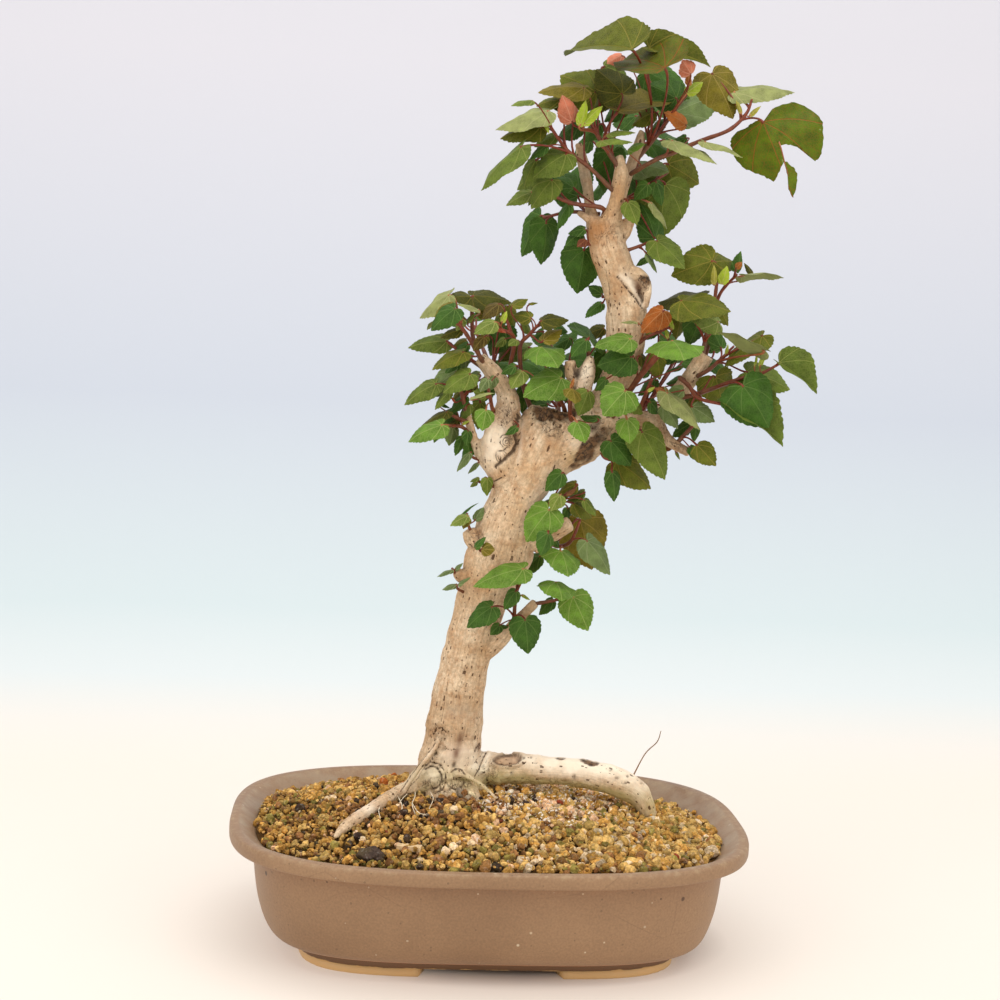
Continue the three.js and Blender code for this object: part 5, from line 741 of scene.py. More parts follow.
# The eaten leaf's two lobes and the scrap left at its tip, in shares along and across, with its bare midrib
EATEN_LOBES = [
    (-0.114, 0.175), (-0.126, 0.36), (-0.088, 0.495), (0.049, 0.63), (0.207, 0.687), (0.373, 0.654),
    (0.504, 0.607), (0.631, 0.515), (0.664, 0.434), (0.592, 0.389), (0.467, 0.307), (0.376, 0.18),
    (0.348, 0.095), (0.388, 0.084), (0.545, 0.055), (0.659, -0.06), (0.726, -0.132), (0.684, -0.177),
    (0.602, -0.246), (0.514, -0.33), (0.421, -0.41), (0.3, -0.464), (0.17, -0.47), (0.058, -0.45),
    (0.002, -0.406), (-0.031, -0.325), (-0.03, -0.228), (-0.042, -0.155), (-0.051, -0.061), (0, 0),
]
EATEN_TIP = [
    (0.545, 0.074), (0.652, 0.139), (0.763, 0.152), (0.874, 0.093), (1, 0), (0.873, -0.015), (0.804, 0.037),
    (0.683, 0.035), (0.545, 0.055),
]
EATEN_MIDRIB = [(0.3, 0.09), (0.388, 0.084), (0.545, 0.064), (0.733, 0.044), (0.9, 0.02)]
TOOTH_DEPTH = 0.018
LARGE_TOOTH_DEPTH = 0.011
STEM_THIN = 0.7
RING_SHARES = (0.03, 0.22, 0.42, 0.6, 0.76, 0.89, 1.0)

# How far off the frame's own leaf may be, and how many waves are tried on it
FRAME_MISS = 1.7
WAVE_TRIES = 72
# Places on the edge of a frame leaf by its size, used to find its waves
EDGE_TESTS = {
    "large": (28, ((0.12, 0.54), (0.42, 0.47))),
    "middle": (16, ((0.04, 0.5), (0.36, 0.45))),
    "small": (0, ((0, 0.36), (0.36, 0.48))),
}


def leaf_pose(row, shift):
    """A leaf's own axes, length, width and fold from its row."""
    joint_across, joint_down, tip_across, tip_down, depth, lean, turn, width = row[:8]
    fold = row[9] if len(row) > 9 else BLADE_FOLD
    joint = tree_at(joint_across, joint_down, depth + shift)
    tip = tree_at(tip_across, tip_down, depth + shift + lean)
    along = unit(tip - joint)
    facing = unit(EYE - joint)
    facing = unit(facing - along * (facing @ along))
    aside = np.cross(along, facing)
    if (aside[2] if abs(aside[2]) > 0.35 else aside[0]) < 0:
        aside = -aside
    angle = math.radians(turn)
    up = facing * math.cos(angle) + aside * math.sin(angle)
    return {
        "joint": joint,
        "along": along,
        "across": np.cross(up, along),
        "up": up,
        "length": np.linalg.norm(tip - joint),
        "width": width,
        "fold": math.radians(fold),
    }


def blade_points(pose, wave, along, out, lift=0.0):
    """Places on a leaf's blade, from shares along and across it."""
    inside = np.maximum(along, 0)
    ripple = BLADE_WAVE * np.sin(9 * along + wave + np.where(out > 0, 1.3, 0))
    far = np.abs(out) * pose["width"]
    height = BLADE_ARCH * 4 * inside * (1 - inside) - far * math.sin(pose["fold"]) + ripple * far
    length = pose["length"]
    side = out * pose["width"] * math.cos(pose["fold"]) * length
    return (
        pose["joint"]
        + np.multiply.outer(along * length, pose["along"])
        + np.multiply.outer(side, pose["across"])
        + np.multiply.outer(height * length + lift, pose["up"])
    )


def settle(row, corners, draw):
    """The leaf's place and wave as the frame's node has them."""
    start = leaf_pose(row, 0)
    if start["length"] < LEAST_LEAF:
        return start, draw.uniform(0, 2 * math.pi)
    best = (9e9, 0)
    for shift in DEPTH_TRIES:
        pose = leaf_pose(row, shift)
        tip = pose["joint"] + pose["along"] * pose["length"]
        faces = [tip + side * BLADE_HALF * pose["up"] for side in (-1, 1)]
        miss = sum(np.linalg.norm(corners - face, axis=1).min() for face in faces)
        best = min(best, (miss, shift), key=lambda one: one[0])
    if best[0] > FRAME_MISS:
        return start, draw.uniform(0, 2 * math.pi)
    pose = leaf_pose(row, best[1])
    tests = next(tests for least, tests in EDGE_TESTS.values() if pose["length"] > least or least == 0)
    along = np.array([place[0] for place in tests for _ in (0, 1)], float)
    out = np.array([place[1] * side for place in tests for side in (1, -1)], float)
    waves = np.linspace(0, 2 * math.pi, WAVE_TRIES, endpoint=False)
    misses = []
    for wave in waves:
        places = blade_points(pose, wave, along, out, BLADE_HALF)
        gaps = np.linalg.norm(corners[None] - places[:, None], axis=2)
        misses.append(gaps.min(axis=1).sum())
    return pose, waves[int(np.argmin(misses))]


def edge_shares(length, draw):
    """A toothed edge right round a leaf, from the stalk over one half to the tip and back."""
    curve = smooth_rows(SMALL_CURVE if length < 16 else EDGE_CURVE, 8)
    teeth = 7 if length < 12 else 10 if length < 18 else 14 if length < 26 else 18
    depth = LARGE_TOOTH_DEPTH + (TOOTH_DEPTH - LARGE_TOOTH_DEPTH) * (1 - rise(length, 14, 30))
    steps = teeth * 3
    runs = runs_along(curve)
    halves = []
    for side in (1, -1):
        place = np.linspace(0, 1, steps + 1)
        warp = place + 0.25 / teeth * np.sin(place * 2 * math.pi * 3 + draw.uniform(0, 6))
        warp[0], warp[-1] = 0, 1
        along = np.interp(warp * runs[-1], runs, curve[:, 0])
        out = np.interp(warp * runs[-1], runs, curve[:, 1])
        normal = np.stack([np.gradient(out), -np.gradient(along)], axis=1)
        normal = -unit(normal + 1e-9)
        tooth = np.array([-1.0, 0.35, 0.9])[np.arange(steps + 1) % 3] * depth
        tooth *= rise(place, 0.12, 0.3) * (1 - rise(place, 0.93, 1.0))
        tooth *= draw.uniform(0.6, 1.25, steps + 1)
        along, out = along + normal[:, 0] * tooth, np.maximum(out + normal[:, 1] * tooth, 0)
        out[0] = out[-1] = 0
        halves.append((along, out * side))
    ahead, back = halves
    return np.concatenate([ahead[0], back[0][-2:0:-1]]), np.concatenate([ahead[1], back[1][-2:0:-1]])


def closed_shares(places, draw):
    """A smooth closed outline through places, with a nibbled edge."""
    fine = smooth_rows([*places, places[0]], 4)[:-1]
    return fine[:, 0] + draw.normal(size=len(fine)) * 0.005, fine[:, 1] + draw.normal(size=len(fine)) * 0.005


def add_blade(skin, pose, wave, tint, edge, draw, middle=(0.0, 0.0)):
    """The two faces of a blade inside its edge, puckered between the veins."""
    sides = len(edge[0])
    tone = draw.uniform(0.86, 1.14)
    colour, vein = LEAF_TINTS[tint]
    colours = {"tint": toned(colour, tone), "veins": srgb(vein)}
    rings = RING_SHARES if pose["length"] > 19 else RING_SHARES[::2]
    length = pose["length"]
    shares = np.repeat(rings, sides)
    along = middle[0] + (np.tile(edge[0], len(rings)) - middle[0]) * shares
    out = middle[1] + (np.tile(edge[1], len(rings)) - middle[1]) * shares
    flat = np.stack([along * length, out * pose["width"] * length, np.full(len(along), length)], axis=1)
    pucker = noise_at(flat + draw.uniform(-90, 90), 5.5) * min(length / 30, 1) * 0.55 * (0.3 + shares)
    for under in (0, 1):
        lift = (0.2 - 0.17 * shares**5) * (-1 if under else 1) + pucker
        points = blade_points(pose, wave, along, out, lift)
        faces = ring_faces(len(rings), sides, caps=False) + [list(range(sides))[::-1]]
        if under:
            faces = [face[::-1] for face in faces]
        skin.add(points, faces, 0, blade=flat, under=under, **colours)


def add_eaten_leaf(skin, pose, wave, draw):
    """The leaf that was eaten away beside its midrib, which is left bare between the lobes and the tip."""
    add_blade(skin, pose, wave, "eaten", closed_shares(EATEN_LOBES, draw), draw)
    add_blade(skin, pose, wave, "eaten", closed_shares(EATEN_TIP, draw), draw, (0.6, 0.075))
    rib = smooth_rows(EATEN_MIDRIB, 4)
    path = blade_points(pose, wave, rib[:, 0], rib[:, 1])
    add_rod(skin, path, np.linspace(0.42, 0.2, len(path)), 7, (STALK_PALE, STALK_RED))


def add_rod(skin, path, radii, sides, colour):
    """A stalk or stem as a smooth rod with a colour at each end."""
    points = tube(path, radii, sides)
    share = np.repeat(np.linspace(0, 1, len(path)), sides)[:, None]
    start, end = (np.array(srgb(part)) for part in colour)
    skin.add(points, ring_faces(len(path), sides), 1, tint=start * (1 - share) + end * share)


def add_stalk(skin, stem, pose, tint):
    """A stalk from the nearest place on the stem, up to the notch from behind the blade."""
    joint, length = pose["joint"], pose["length"]
    gaps = np.linalg.norm(stem - joint, axis=1)
    nearest = int(np.argmin(gaps))
    back = max(nearest - max(int(gaps[nearest] / 2.2), 1), len(stem) // 5)
    root = stem[min(back, nearest)]
    gap = np.linalg.norm(joint - root)
    ahead = unit(stem[min(back + 1, len(stem) - 1)] - stem[max(back - 1, 0)])
    leave = root + (ahead * 0.5 + unit(joint - root) * 0.5) * gap * 0.4
    arrive = joint - pose["along"] * min(gap * 0.3, 5) - pose["up"] * min(gap * 0.18, 2.5)
    place = np.linspace(0, 1, 11)[:, None]
    path = root * (1 - place) ** 3 + 3 * leave * place * (1 - place) ** 2
    path = path + 3 * arrive * place**2 * (1 - place) + (joint + pose["along"] * 0.6) * place**3
    thin = STALK_RADIUS * (0.62 if length < 12 else 0.85 if length < 24 else 1.0)
    radii = thin * (1.25 - 0.45 * np.sin(place[:, 0] * math.pi))
    pale = tint in ("bud", "stipule", "light", "bright", "pale")
    add_rod(skin, path, radii, 7, (STALK_RED, STALK_PALE if pale else STALK_RED))


def leafy_shoot(name, rows, materials, draw):
    """One shoot: its stem, stalks and leaves, in the place of the frame's plain one."""
    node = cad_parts["shoot_" + name]
    corners = np.array([vertex.co for vertex in node.data.vertices]) / MM - POT_MIDDLE
    skin = Skin()
    path = limb_path([row for row in rows if len(row) == 4], 8)
    swell = 1 + 0.14 * bell((np.arange(len(path)) % 6) - 3, 1.0)
    add_rod(skin, path[:, :3], path[:, 3] * swell * STEM_THIN, 9, (STEM_BARK, STALK_RED))
    leaves = [row for row in rows if len(row) > 4]
    for row in [*leaves, *INNER_LEAVES.get(name, [])]:
        if row in leaves:
            pose, wave = settle(row, corners, draw)
        else:
            pose, wave = leaf_pose(row, 0), draw.uniform(0, 2 * math.pi)
        tint = row[8] if len(row) > 8 else "dark"
        if tint == "eaten":
            add_eaten_leaf(skin, pose, wave, draw)
        else:
            add_blade(skin, pose, wave, tint, edge_shares(pose["length"], draw), draw)
        add_stalk(skin, path[:, :3], pose, tint)
    return show(skin_piece("leafy_shoot_" + name, skin, materials), "leaf", "shoot_" + name)


# Marks on the bark by kind: steps across and down, half width, half height, strength, and the turn in degrees
# where there is one
BARK_MARKS = {
    "knot": [
        (438, 734, 6, 6, 0.9), (432, 778, 10, 9, 0.9), (457, 774, 6, 6, 1), (509, 543, 9, 8, 0.7),
        (506, 441, 7, 7, 1.3), (501, 456, 6, 6, 1.3), (554, 427, 5, 5, 1.1), (474, 541, 8, 8, 0.9),
        (486, 601, 5, 5, 0.5),
    ],
    "brown": [
        (460, 740, 3.4, 9, 1.1, 14), (456, 754, 3.8, 7, 1.1, 4), (479, 748, 5, 3.4, 0.9, 30),
        # The mark at 638, 290 is painted shade in the hollow between the leader and the broken stub
        (638, 290, 4.5, 13, 1.4, -12), (672, 436, 26, 9, 0.6, 48), (598, 364, 3.5, 12, 0.9, -16),
    ],
    "pit": [
        (454, 765, 1.9, 3, 1.4, 20), (435, 754, 2, 1.6, 0.8), (440, 766, 2, 1.6, 0.8),
        (443, 749, 3, 1.8, 0.9, -20), (641, 297, 2, 7, 1.6, -14), (650, 284, 2.4, 1.8, 1),
        (645, 288, 1.6, 1.4, 1), (577, 372, 4, 8, 1.2), (572, 415, 4, 6, 1.2, 20),
        (595, 425, 5, 10, 0.9, 25), (617, 778, 2.4, 1.8, 0.9), (628, 776, 1.5, 1.3, 0.9),
        (626, 783, 1.6, 1.3, 0.8), (611, 770, 1.3, 1.3, 0.8), (531, 757, 1.2, 1.1, 0.8),
        (536, 763, 1.1, 1, 0.8), (524, 759, 1.2, 1.1, 0.8), (512, 773, 1.4, 2.2, 0.9),
        (574, 777, 1.4, 3.2, 0.8), (642, 783, 1.5, 1.3, 0.8),
    ],
    "scar": [
        (508, 760, 16, 6.5, 1.6, -6),
    ],
    "rot": [
        (552, 410, 26, 11, 1.5, 4), (590, 448, 32, 9.5, 1.5, -52), (590, 761, 12, 4.5, 1.1, 14),
        (561, 758, 7, 1.6, 0.9), (645, 279, 7, 5, 0.7, 30),
    ],
    "fissure": [
        (672, 436, 26, 9, 0.8, 48), (520, 640, 30, 8, 0.4, -50), (509, 417, 14, 13, 1.2),
        (512, 437, 8, 10, 0.8), (553, 425, 15, 14, 1), (600, 428, 16, 10, 0.9, 10), (643, 283, 9, 9, 1),
        (583, 375, 20, 26, 0.6), (440, 786, 22, 9, 1), (462, 783, 12, 8, 0.9), (398, 795, 24, 8, 0.7, 30),
        (438, 734, 10, 10, 0.7), (478, 541, 12, 12, 0.8), (606, 235, 14, 14, 0.7), (545, 785, 60, 9, 0.5, 3),
        (490, 772, 10, 14, 0.7),
    ],
    "stain": [
        (592, 238, 9, 14, 0.9), (497, 475, 13, 6, 0.6), (548, 446, 4, 10, 0.9, 12),
        (524, 432, 3, 22, 0.5, 2), (532, 440, 3, 24, 0.45, -6), (556, 444, 4, 14, 0.5, 24),
        (497, 525, 12, 8, 0.35), (478, 590, 10, 8, 0.3), (456, 748, 9, 20, 0.5, 6), (580, 400, 10, 18, 0.4),
        (618, 300, 9, 40, 0.35), (596, 226, 12, 12, 0.6), (594, 262, 8, 20, 0.6, -10),
        (608, 250, 12, 14, 0.35), (600, 230, 16, 12, 0.7), (618, 196, 9, 34, 0.4, 6),
    ],
    "grey": [
        (462, 712, 26, 12, 0.7, 8), (572, 368, 10, 20, 0.6), (509, 414, 13, 13, 0.8),
        (553, 425, 14, 12, 0.3), (645, 284, 8, 8, 0.6), (584, 178, 9, 36, 0.9, 4),
        (636, 160, 9, 40, 0.8, 10), (616, 330, 12, 60, 0.35), (624, 250, 9, 22, 0.5),
    ],
    "pale": [
        (580, 765, 84, 13, 1.6, 6), (632, 284, 5, 14, 0.9, -38), (586, 374, 8, 18, 0.9, 16),
        (375, 815, 60, 12, 0.7, 36), (433, 777, 9, 8, 1), (500, 440, 9, 20, 0.8),
        (540, 500, 12, 26, 0.4, 20), (640, 790, 14, 14, 0.7, 50), (457, 757, 24, 14, 0.8),
        (480, 768, 12, 12, 1), (490, 447, 9, 26, 0.9, 4), (576, 442, 12, 9, 0.5, 30),
        (410, 780, 20, 8, 0.5, -40),
    ],
    "green": [
        (560, 791, 110, 9, 0.8, 4), (655, 806, 12, 20, 0.7), (440, 778, 46, 14, 0.5),
        (505, 778, 30, 12, 0.8), (575, 458, 10, 9, 0.4, -40),
    ],
}

# Cracks, two of them painted shadow lines along the raised root, and raised folds in the bark: half width,
# strength, and steps across and down along each
BARK_LINES = {
    "crack_and_shadow_line": [
        (1.5, 1.3, [(496, 466), (505, 459), (513, 452), (517, 443), (516, 432), (519, 420), (521, 412)]),
        (1, 0.8, [(496, 452), (504, 450), (511, 445)]), (1, 0.8, [(487, 481), (494, 482), (502, 478)]),
        (1, 0.6, [(541, 416), (543, 428), (549, 436), (560, 437), (565, 431)]),
        (1, 0.5, [(545, 413), (553, 416), (561, 416), (566, 421)]),
        (1, 1.1, [(425, 769), (431, 766), (437, 768), (441, 774), (442, 781), (438, 787), (431, 790)]),
        (0.9, 0.8, [(422, 766), (431, 762), (440, 765), (445, 772), (446, 781), (442, 790), (434, 794)]),
        (1, 1, [(451, 773), (455, 769), (461, 769), (465, 774)]),
        (1, 0.9, [(449, 786), (455, 790), (461, 787), (464, 782)]),
        (1, 0.8, [(486, 753), (482, 761), (479, 769), (475, 777)]), (0.8, 0.5, [(480, 757), (474, 764)]),
        (0.9, 0.8, [(435, 741), (433, 735), (436, 729), (442, 728), (446, 733)]),
        (0.9, 0.6, [(442, 745), (447, 748), (444, 751)]),
        (0.8, 0.6, [(502, 766), (511, 770), (520, 767), (526, 762)]), (0.7, 0.8, [(475, 752), (479, 744)]),
        (0.7, 0.8, [(479, 752), (480, 743)]), (0.7, 0.8, [(484, 751), (478, 746)]),
        # These two are painted shadow lines, one along each side of the raised root
        (0.8, 0.7, [(436, 742), (429, 752), (420, 763), (410, 777), (401, 791)]),
        (0.8, 0.6, [(441, 744), (436, 753), (427, 764), (416, 779), (404, 796)]),
        (0.8, 0.5, [(617, 272), (622, 282), (628, 290)]), (0.8, 0.5, [(606, 270), (609, 290), (608, 312)]),
        (0.8, 0.4, [(499, 575), (494, 600), (486, 630)]), (0.8, 0.4, [(470, 640), (463, 675), (459, 700)]),
        (0.8, 0.35, [(449, 670), (445, 700), (441, 722)]),
        (0.9, 1, [(617, 277), (627, 288), (634, 297), (642, 308)]),
    ],
    "fold": [
        (2.2, 0.8, [(489, 752), (485, 762), (482, 772)]), (2.4, 1.2, [(620, 276), (631, 288), (643, 306)]),
        (2.4, 0.7, [(523, 418), (522, 440), (518, 462)]), (2, 0.6, [(493, 792), (500, 780), (512, 774)]),
    ],
}

# Rough places on the bark: steps across and down, radius and strength
ROUGH_PLACES = [
    (440, 770, 42, 1), (500, 765, 22, 0.6), (505, 430, 30, 1), (545, 405, 34, 1), (585, 440, 34, 0.8),
    (500, 550, 26, 0.45), (605, 235, 24, 0.6), (644, 284, 14, 1.5), (580, 380, 26, 0.9),
    (620, 165, 60, 0.35), (372, 808, 60, 0.7), (600, 775, 60, 0.25), (660, 440, 40, 0.6),
]

# Further than any crack, painted shadow line or knot, in shares of it, and how many points are looked at in
# one go
FAR = 9.0
POINTS_AT_ONCE = 4000


def limb_axes():
    """Fine places along every limb: point, radius, distance along it and two directions across it."""
    parts = []
    start = 0.0
    for rows in LIMBS.values():
        fine = limb_path(rows, 10)
        centres = fine[:, :3]
        asides, others = tube_frames(centres)
        runs = runs_along(centres)
        parts.append(np.hstack([fine, (start + runs)[:, None], asides, others]))
        start += runs[-1] + 40
    return np.vstack(parts)


def bark_places(points, axes):
    """For each point of the skin its place along and across the nearest limb."""
    places, radii = [], []
    for start in range(0, len(points), POINTS_AT_ONCE):
        part = points[start : start + POINTS_AT_ONCE]
        gaps = np.linalg.norm(part[:, None] - axes[None, :, :3], axis=2) - axes[None, :, 3]
        nearest = axes[np.argmin(gaps, axis=1)]
        off = part - nearest[:, :3]
        across = [(off * nearest[:, first : first + 3]).sum(axis=1) for first in (5, 8)]
        places.append(np.stack([nearest[:, 4], *across], axis=1))
        radii.append(nearest[:, 3])
    return np.vstack(places), np.concatenate(radii)


def mark_share(across, down, row):
    """How far a skin point is from the middle of a mark, where 1 is its edge."""
    mark_across, mark_down, half_width, half_height, _, *turn = row
    angle = math.radians(turn[0] if turn else 0)
    x, y = across - mark_across, down - mark_down
    along = x * math.cos(angle) + y * math.sin(angle)
    over = y * math.cos(angle) - x * math.sin(angle)
    return np.hypot(along / half_width, over / half_height)


def line_gap(across, down, path):
    """Steps from each skin point to the nearest place on a line."""
    nearest = np.full(len(across), 99.0)
    for (start_x, start_y), (end_x, end_y) in zip(path, path[1:]):
        run_x, run_y = end_x - start_x, end_y - start_y
        share = ((across - start_x) * run_x + (down - start_y) * run_y) / (run_x**2 + run_y**2)
        share = np.clip(share, 0, 1)
        gap = np.hypot(across - start_x - share * run_x, down - start_y - share * run_y)
        nearest = np.minimum(nearest, gap)
    return nearest


def carve_bark(points, normals, places, radii):
    """Wrinkles, knots, pits, scars and cracks as a rise of the skin, with the colours they bring, among them
    painted shade in the pits and painted shadow lines beside the raised root.
    """
    across, down = seen(points)
    front = rise((normals * unit(EYE - points)).sum(axis=1), 0.05, 0.3)
    rough = np.full(len(points), 0.2)
    for rough_across, rough_down, radius, strength in ROUGH_PLACES:
        rough += strength * bell(np.hypot(across - rough_across, down - rough_down), radius)
    fine = noise_at(points, 1.9, 1)
    broad = noise_at(points, 5.5, 2)
    length_wise = noise_at(places * [0.10, 0.75, 0.75], 1, 3)
    ring_wise = noise_at(places * [0.42, 0.045, 0.045], 1, 4)
    height = rough * (0.34 * fine + 0.5 * broad) + 0.16 * length_wise + (0.12 + 0.4 * rough) * ring_wise
    crease = 1 - rise(np.abs(noise_at(points, 3.4, 9)), 0.02, 0.16)
    colours = {name: np.zeros(len(points)) for name in (*BARK_COLOURS, "fissure", "rot")}
    colours.update({name: np.full(len(points), FAR) for name in ("crack_and_shadow_line", "knot")})
    for kind, row in ((kind, row) for kind, rows in BARK_MARKS.items() for row in rows):
        strength = row[4]
        share = mark_share(across, down, row) + 0.14 * fine
        if kind == "knot":
            rings = 0.5 * bell(share - 0.8, 0.1)
            rings -= 0.5 * bell(share - 0.62, 0.12) + 0.6 * bell(share - 0.98, 0.12)
            height += front * strength * (1.1 * bell(share, 0.75) + rings)
            if strength > 1.2:
                share = np.where(front > 0.3, mark_share(across, down, row), FAR)
                colours["knot"] = np.minimum(colours["knot"], share)
        # Pits are dented and painted dark: painted shade inside the hole
        elif kind == "pit":
            height -= front * strength * bell(share**2, 1.0)
            colours["dark"] += front * 1.1 * bell(share**2, 0.9) * (0.7 + 0.5 * broad)
        elif kind == "scar":
            inside = 1 - rise(share, 0.7, 0.95)
            height += front * strength * (0.8 * bell(share - 1, 0.22) - 0.7 * inside)
            colours["dark"] += front * (0.75 * bell(share - 0.8, 0.14) + 0.35 * inside * (0.5 + fine))
            colours["stain"] += front * 0.7 * inside
        elif kind == "rot":
            inside = 1 - rise(share + 0.5 * broad, 0.6, 1.0)
            height -= front * strength * inside * (0.4 + 0.9 * np.abs(fine))
            colours["rot"] = np.maximum(colours["rot"], front * inside)
        elif kind == "fissure":
            inside = front * strength * (1 - rise(share, 0.6, 1.15))
            height += inside * (0.45 * broad - 0.9 * crease)
            colours["fissure"] = np.maximum(colours["fissure"], inside)
        else:
            colours[kind] += strength * bell(share, 0.9) * (0.75 + 0.4 * broad)
    for kind, row in ((kind, row) for kind, rows in BARK_LINES.items() for row in rows):
        half_width, strength, path = row
        gap = line_gap(across, down, path)
        share = front * strength * bell(gap + 0.5 * broad, half_width)
        if kind == "crack_and_shadow_line":
            height -= 0.8 * share
            gap = gap / (half_width * strength)
            colours["crack_and_shadow_line"] = np.minimum(colours["crack_and_shadow_line"], np.where(front > 0.3, gap, FAR))
        else:
            height += share
            colours["pale"] += 0.5 * share
    under = rise(-normals[:, 2], 0.0, 0.8) * rise(down, 740, 765)
    colours["green"] += 0.8 * under
    height *= np.clip(radii / 6, 0.35, 1)
    most = {"crack_and_shadow_line": FAR, "knot": FAR}
    return height, {name: np.clip(value, 0, most.get(name, 1)) for name, value in colours.items()}


def make_trunk(material):
    """The whole woody body as one skin over all its limbs and roots."""
    rough = Skin()
    for seed, (name, rows) in enumerate(LIMBS.items()):
        if name == "thin_twig":
            continue
        fine = limb_path(rows, 6)
        sides = 28 if fine[:, 3].max() > 12 else 16
        points = tube(fine[:, :3], fine[:, 3], sides, 0.13, seed)
        rough.add(points, ring_faces(len(fine), sides))
    base = skin_piece("limbs", rough, [])
    remesh = base.modifiers.new("one_skin", "REMESH")
    remesh.mode = "VOXEL"
    remesh.voxel_size = SKIN_STEP * MM
    smooth = base.modifiers.new("soft_joints", "SMOOTH")
    smooth.factor = 0.5
    smooth.iterations = 5
    whole = base.evaluated_get(bpy.context.evaluated_depsgraph_get()).to_mesh()
    points, normals = np.empty((2, len(whole.vertices) * 3))
    whole.vertices.foreach_get("co", points)
    whole.vertices.foreach_get("normal", normals)
    points = points.reshape(-1, 3) / MM - POT_MIDDLE
    normals = normals.reshape(-1, 3)
    faces = [list(face.vertices) for face in whole.polygons]
    bpy.data.objects.remove(base)
    places, radii = bark_places(points, limb_axes())
    height, colours = carve_bark(points, normals, places, radii)
    skin = Skin()
    skin.add(points + normals * height[:, None], faces, 0, bark_place=places, **colours)
    twig = limb_path(LIMBS["thin_twig"], 8)
    ends = {**dict.fromkeys(colours, 0), "crack_and_shadow_line": FAR, "knot": FAR, "brown": 0.9}
    points = tube(twig[:, :3], twig[:, 3], 6, 0.2, 3)
    skin.add(points, ring_faces(len(twig), 6), 0, bark_place=(0, 0, 0), **ends)
    return show(skin_piece("bark_trunk_and_roots", skin, [material]), "bark", "trunk")


# How square the foot ring is, how far its root and its feet's tops reach into the clay, and its fineness
FOOT_POWER = 4.2
RING_ROOT = 4.5
FOOT_SUNK = 0.4
FOOT_STEPS, FOOT_PICKS = 720, 40
# The least height that counts as lip, the lip's own width and the wall's least thickness
LIP_BOTTOM = 57
LIP_WIDTH = 5.6
WALL_LEAST = 3
# Size and reach of the wall's slow unevenness, and of the chips along the feet
UNEVEN_SIZE, UNEVEN_REACH = 60, 0.25
CHIP_SIZE, CHIP_REACH = 4, 0.5
# The pot's wall from low down up to its lip, and its inside from under the lip to the floor, as rows of inset
# from the rim, height and squareness
BODY_ROWS = [
    (32, 9.8, 3.9), (27, 10.6, 3.7), (22, 13.2, 3.4), (18, 19.5, 3.1), (15, 30, 3.0), (13.2, 44, POT_POWER),
    (12.6, 55.4, POT_POWER),
]
INNER_ROWS = [
    (12, 60, POT_POWER), (18, 55, POT_POWER), (21, 46, POT_POWER), (26, 24, 3.2), (36, FLOOR_TOP, 3.4),
]
# The lip as rows of inset and height, all as square as the rim
LIP_ROWS = [
    (13.2, 56.2), (13.1, 56.9), (11.6, 57.1), (2.4, 57.1), (1.1, 57.3), (0.7, 57.9), (0.45, 58.8), (0.4, 61),
    (0.45, 62.7), (0.7, 63.7), (1.2, 64.3), (2.4, 64.5), (4.6, 64.5), (6.0, 64.1), (7.6, 62.9),
]
# Marks on the wall: colour, steps across and down, radius
POT_MARKS = [
    ("#3E2C1E", 266, 873, 1.1), ("#4A2E1E", 683, 899, 1.2), ("#4A2E1E", 661, 899, 0.5),
    ("#5A4030", 327, 882, 0.5), ("#C8B498", 478, 894, 0.5), ("#C4AE90", 531, 933, 0.6),
    ("#C4AE90", 583, 894, 0.4), ("#CDBBA0", 518, 945, 0.7), ("#CDBBA0", 604, 942, 0.6),
    ("#CDBBA0", 585, 952, 0.6),
]
RING_INSET = 36.5
RING_TOP = 10.6


def oval(inset, height, power, sides=POT_SIDES):
    """Points round the pot at an inset from its rim."""
    angles = (np.arange(sides) + 0.5) / sides * 2 * math.pi
    cos, sin = np.cos(angles), np.sin(angles)
    x = (POT_LENGTH / 2 - inset) * np.sign(cos) * np.abs(cos) ** (2 / power)
    y = (POT_DEPTH / 2 - inset) * np.sign(sin) * np.abs(sin) ** (2 / power)
    return np.stack([x, y, np.full(sides, float(height))], axis=1)


def inside_pot(x, y, inset):
    """Whether places lie inside the rim's oval less an inset."""
    half_length, half_depth = POT_LENGTH / 2 - inset, POT_DEPTH / 2 - inset
    return np.abs(x / half_length) ** POT_POWER + np.abs(y / half_depth) ** POT_POWER < 1


def foot_paths():
    """The four arcs of the foot ring between its gaps, as rows of outer and inner points."""
    outer, inner = (oval(FOOT_INSET + width, 0, FOOT_POWER, FOOT_STEPS) for width in (0, FOOT_WIDTH))
    for side_x in (-1, 1):
        for side_y in (-1, 1):
            keep = (outer[:, 0] * side_x > FOOT_GAP_FRONT / 2) & (outer[:, 1] * side_y > FOOT_GAP_SIDE / 2)
            order = np.argsort(np.arctan2(outer[keep, 1] * side_y, outer[keep, 0] * side_x))
            picks = order[:: max(len(order) // FOOT_PICKS, 1)]
            yield outer[keep][picks], inner[keep][picks]


def wall_inset(z):
    """How far the outside of the wall stands in from the rim at a height."""
    rows = np.array([row[:2] for row in BODY_ROWS + LIP_ROWS[:3]])
    return np.interp(z, rows[:, 1], rows[:, 0])


def on_wall(across, down):
    """The place on the outside of the pot that shows at steps across and down."""
    for depth in np.arange(-POT_DEPTH, 0, 0.1):
        point = at(across, down, depth)
        if inside_pot(point[0], point[1], wall_inset(point[2])):
            return point
    return at(across, down, 0)


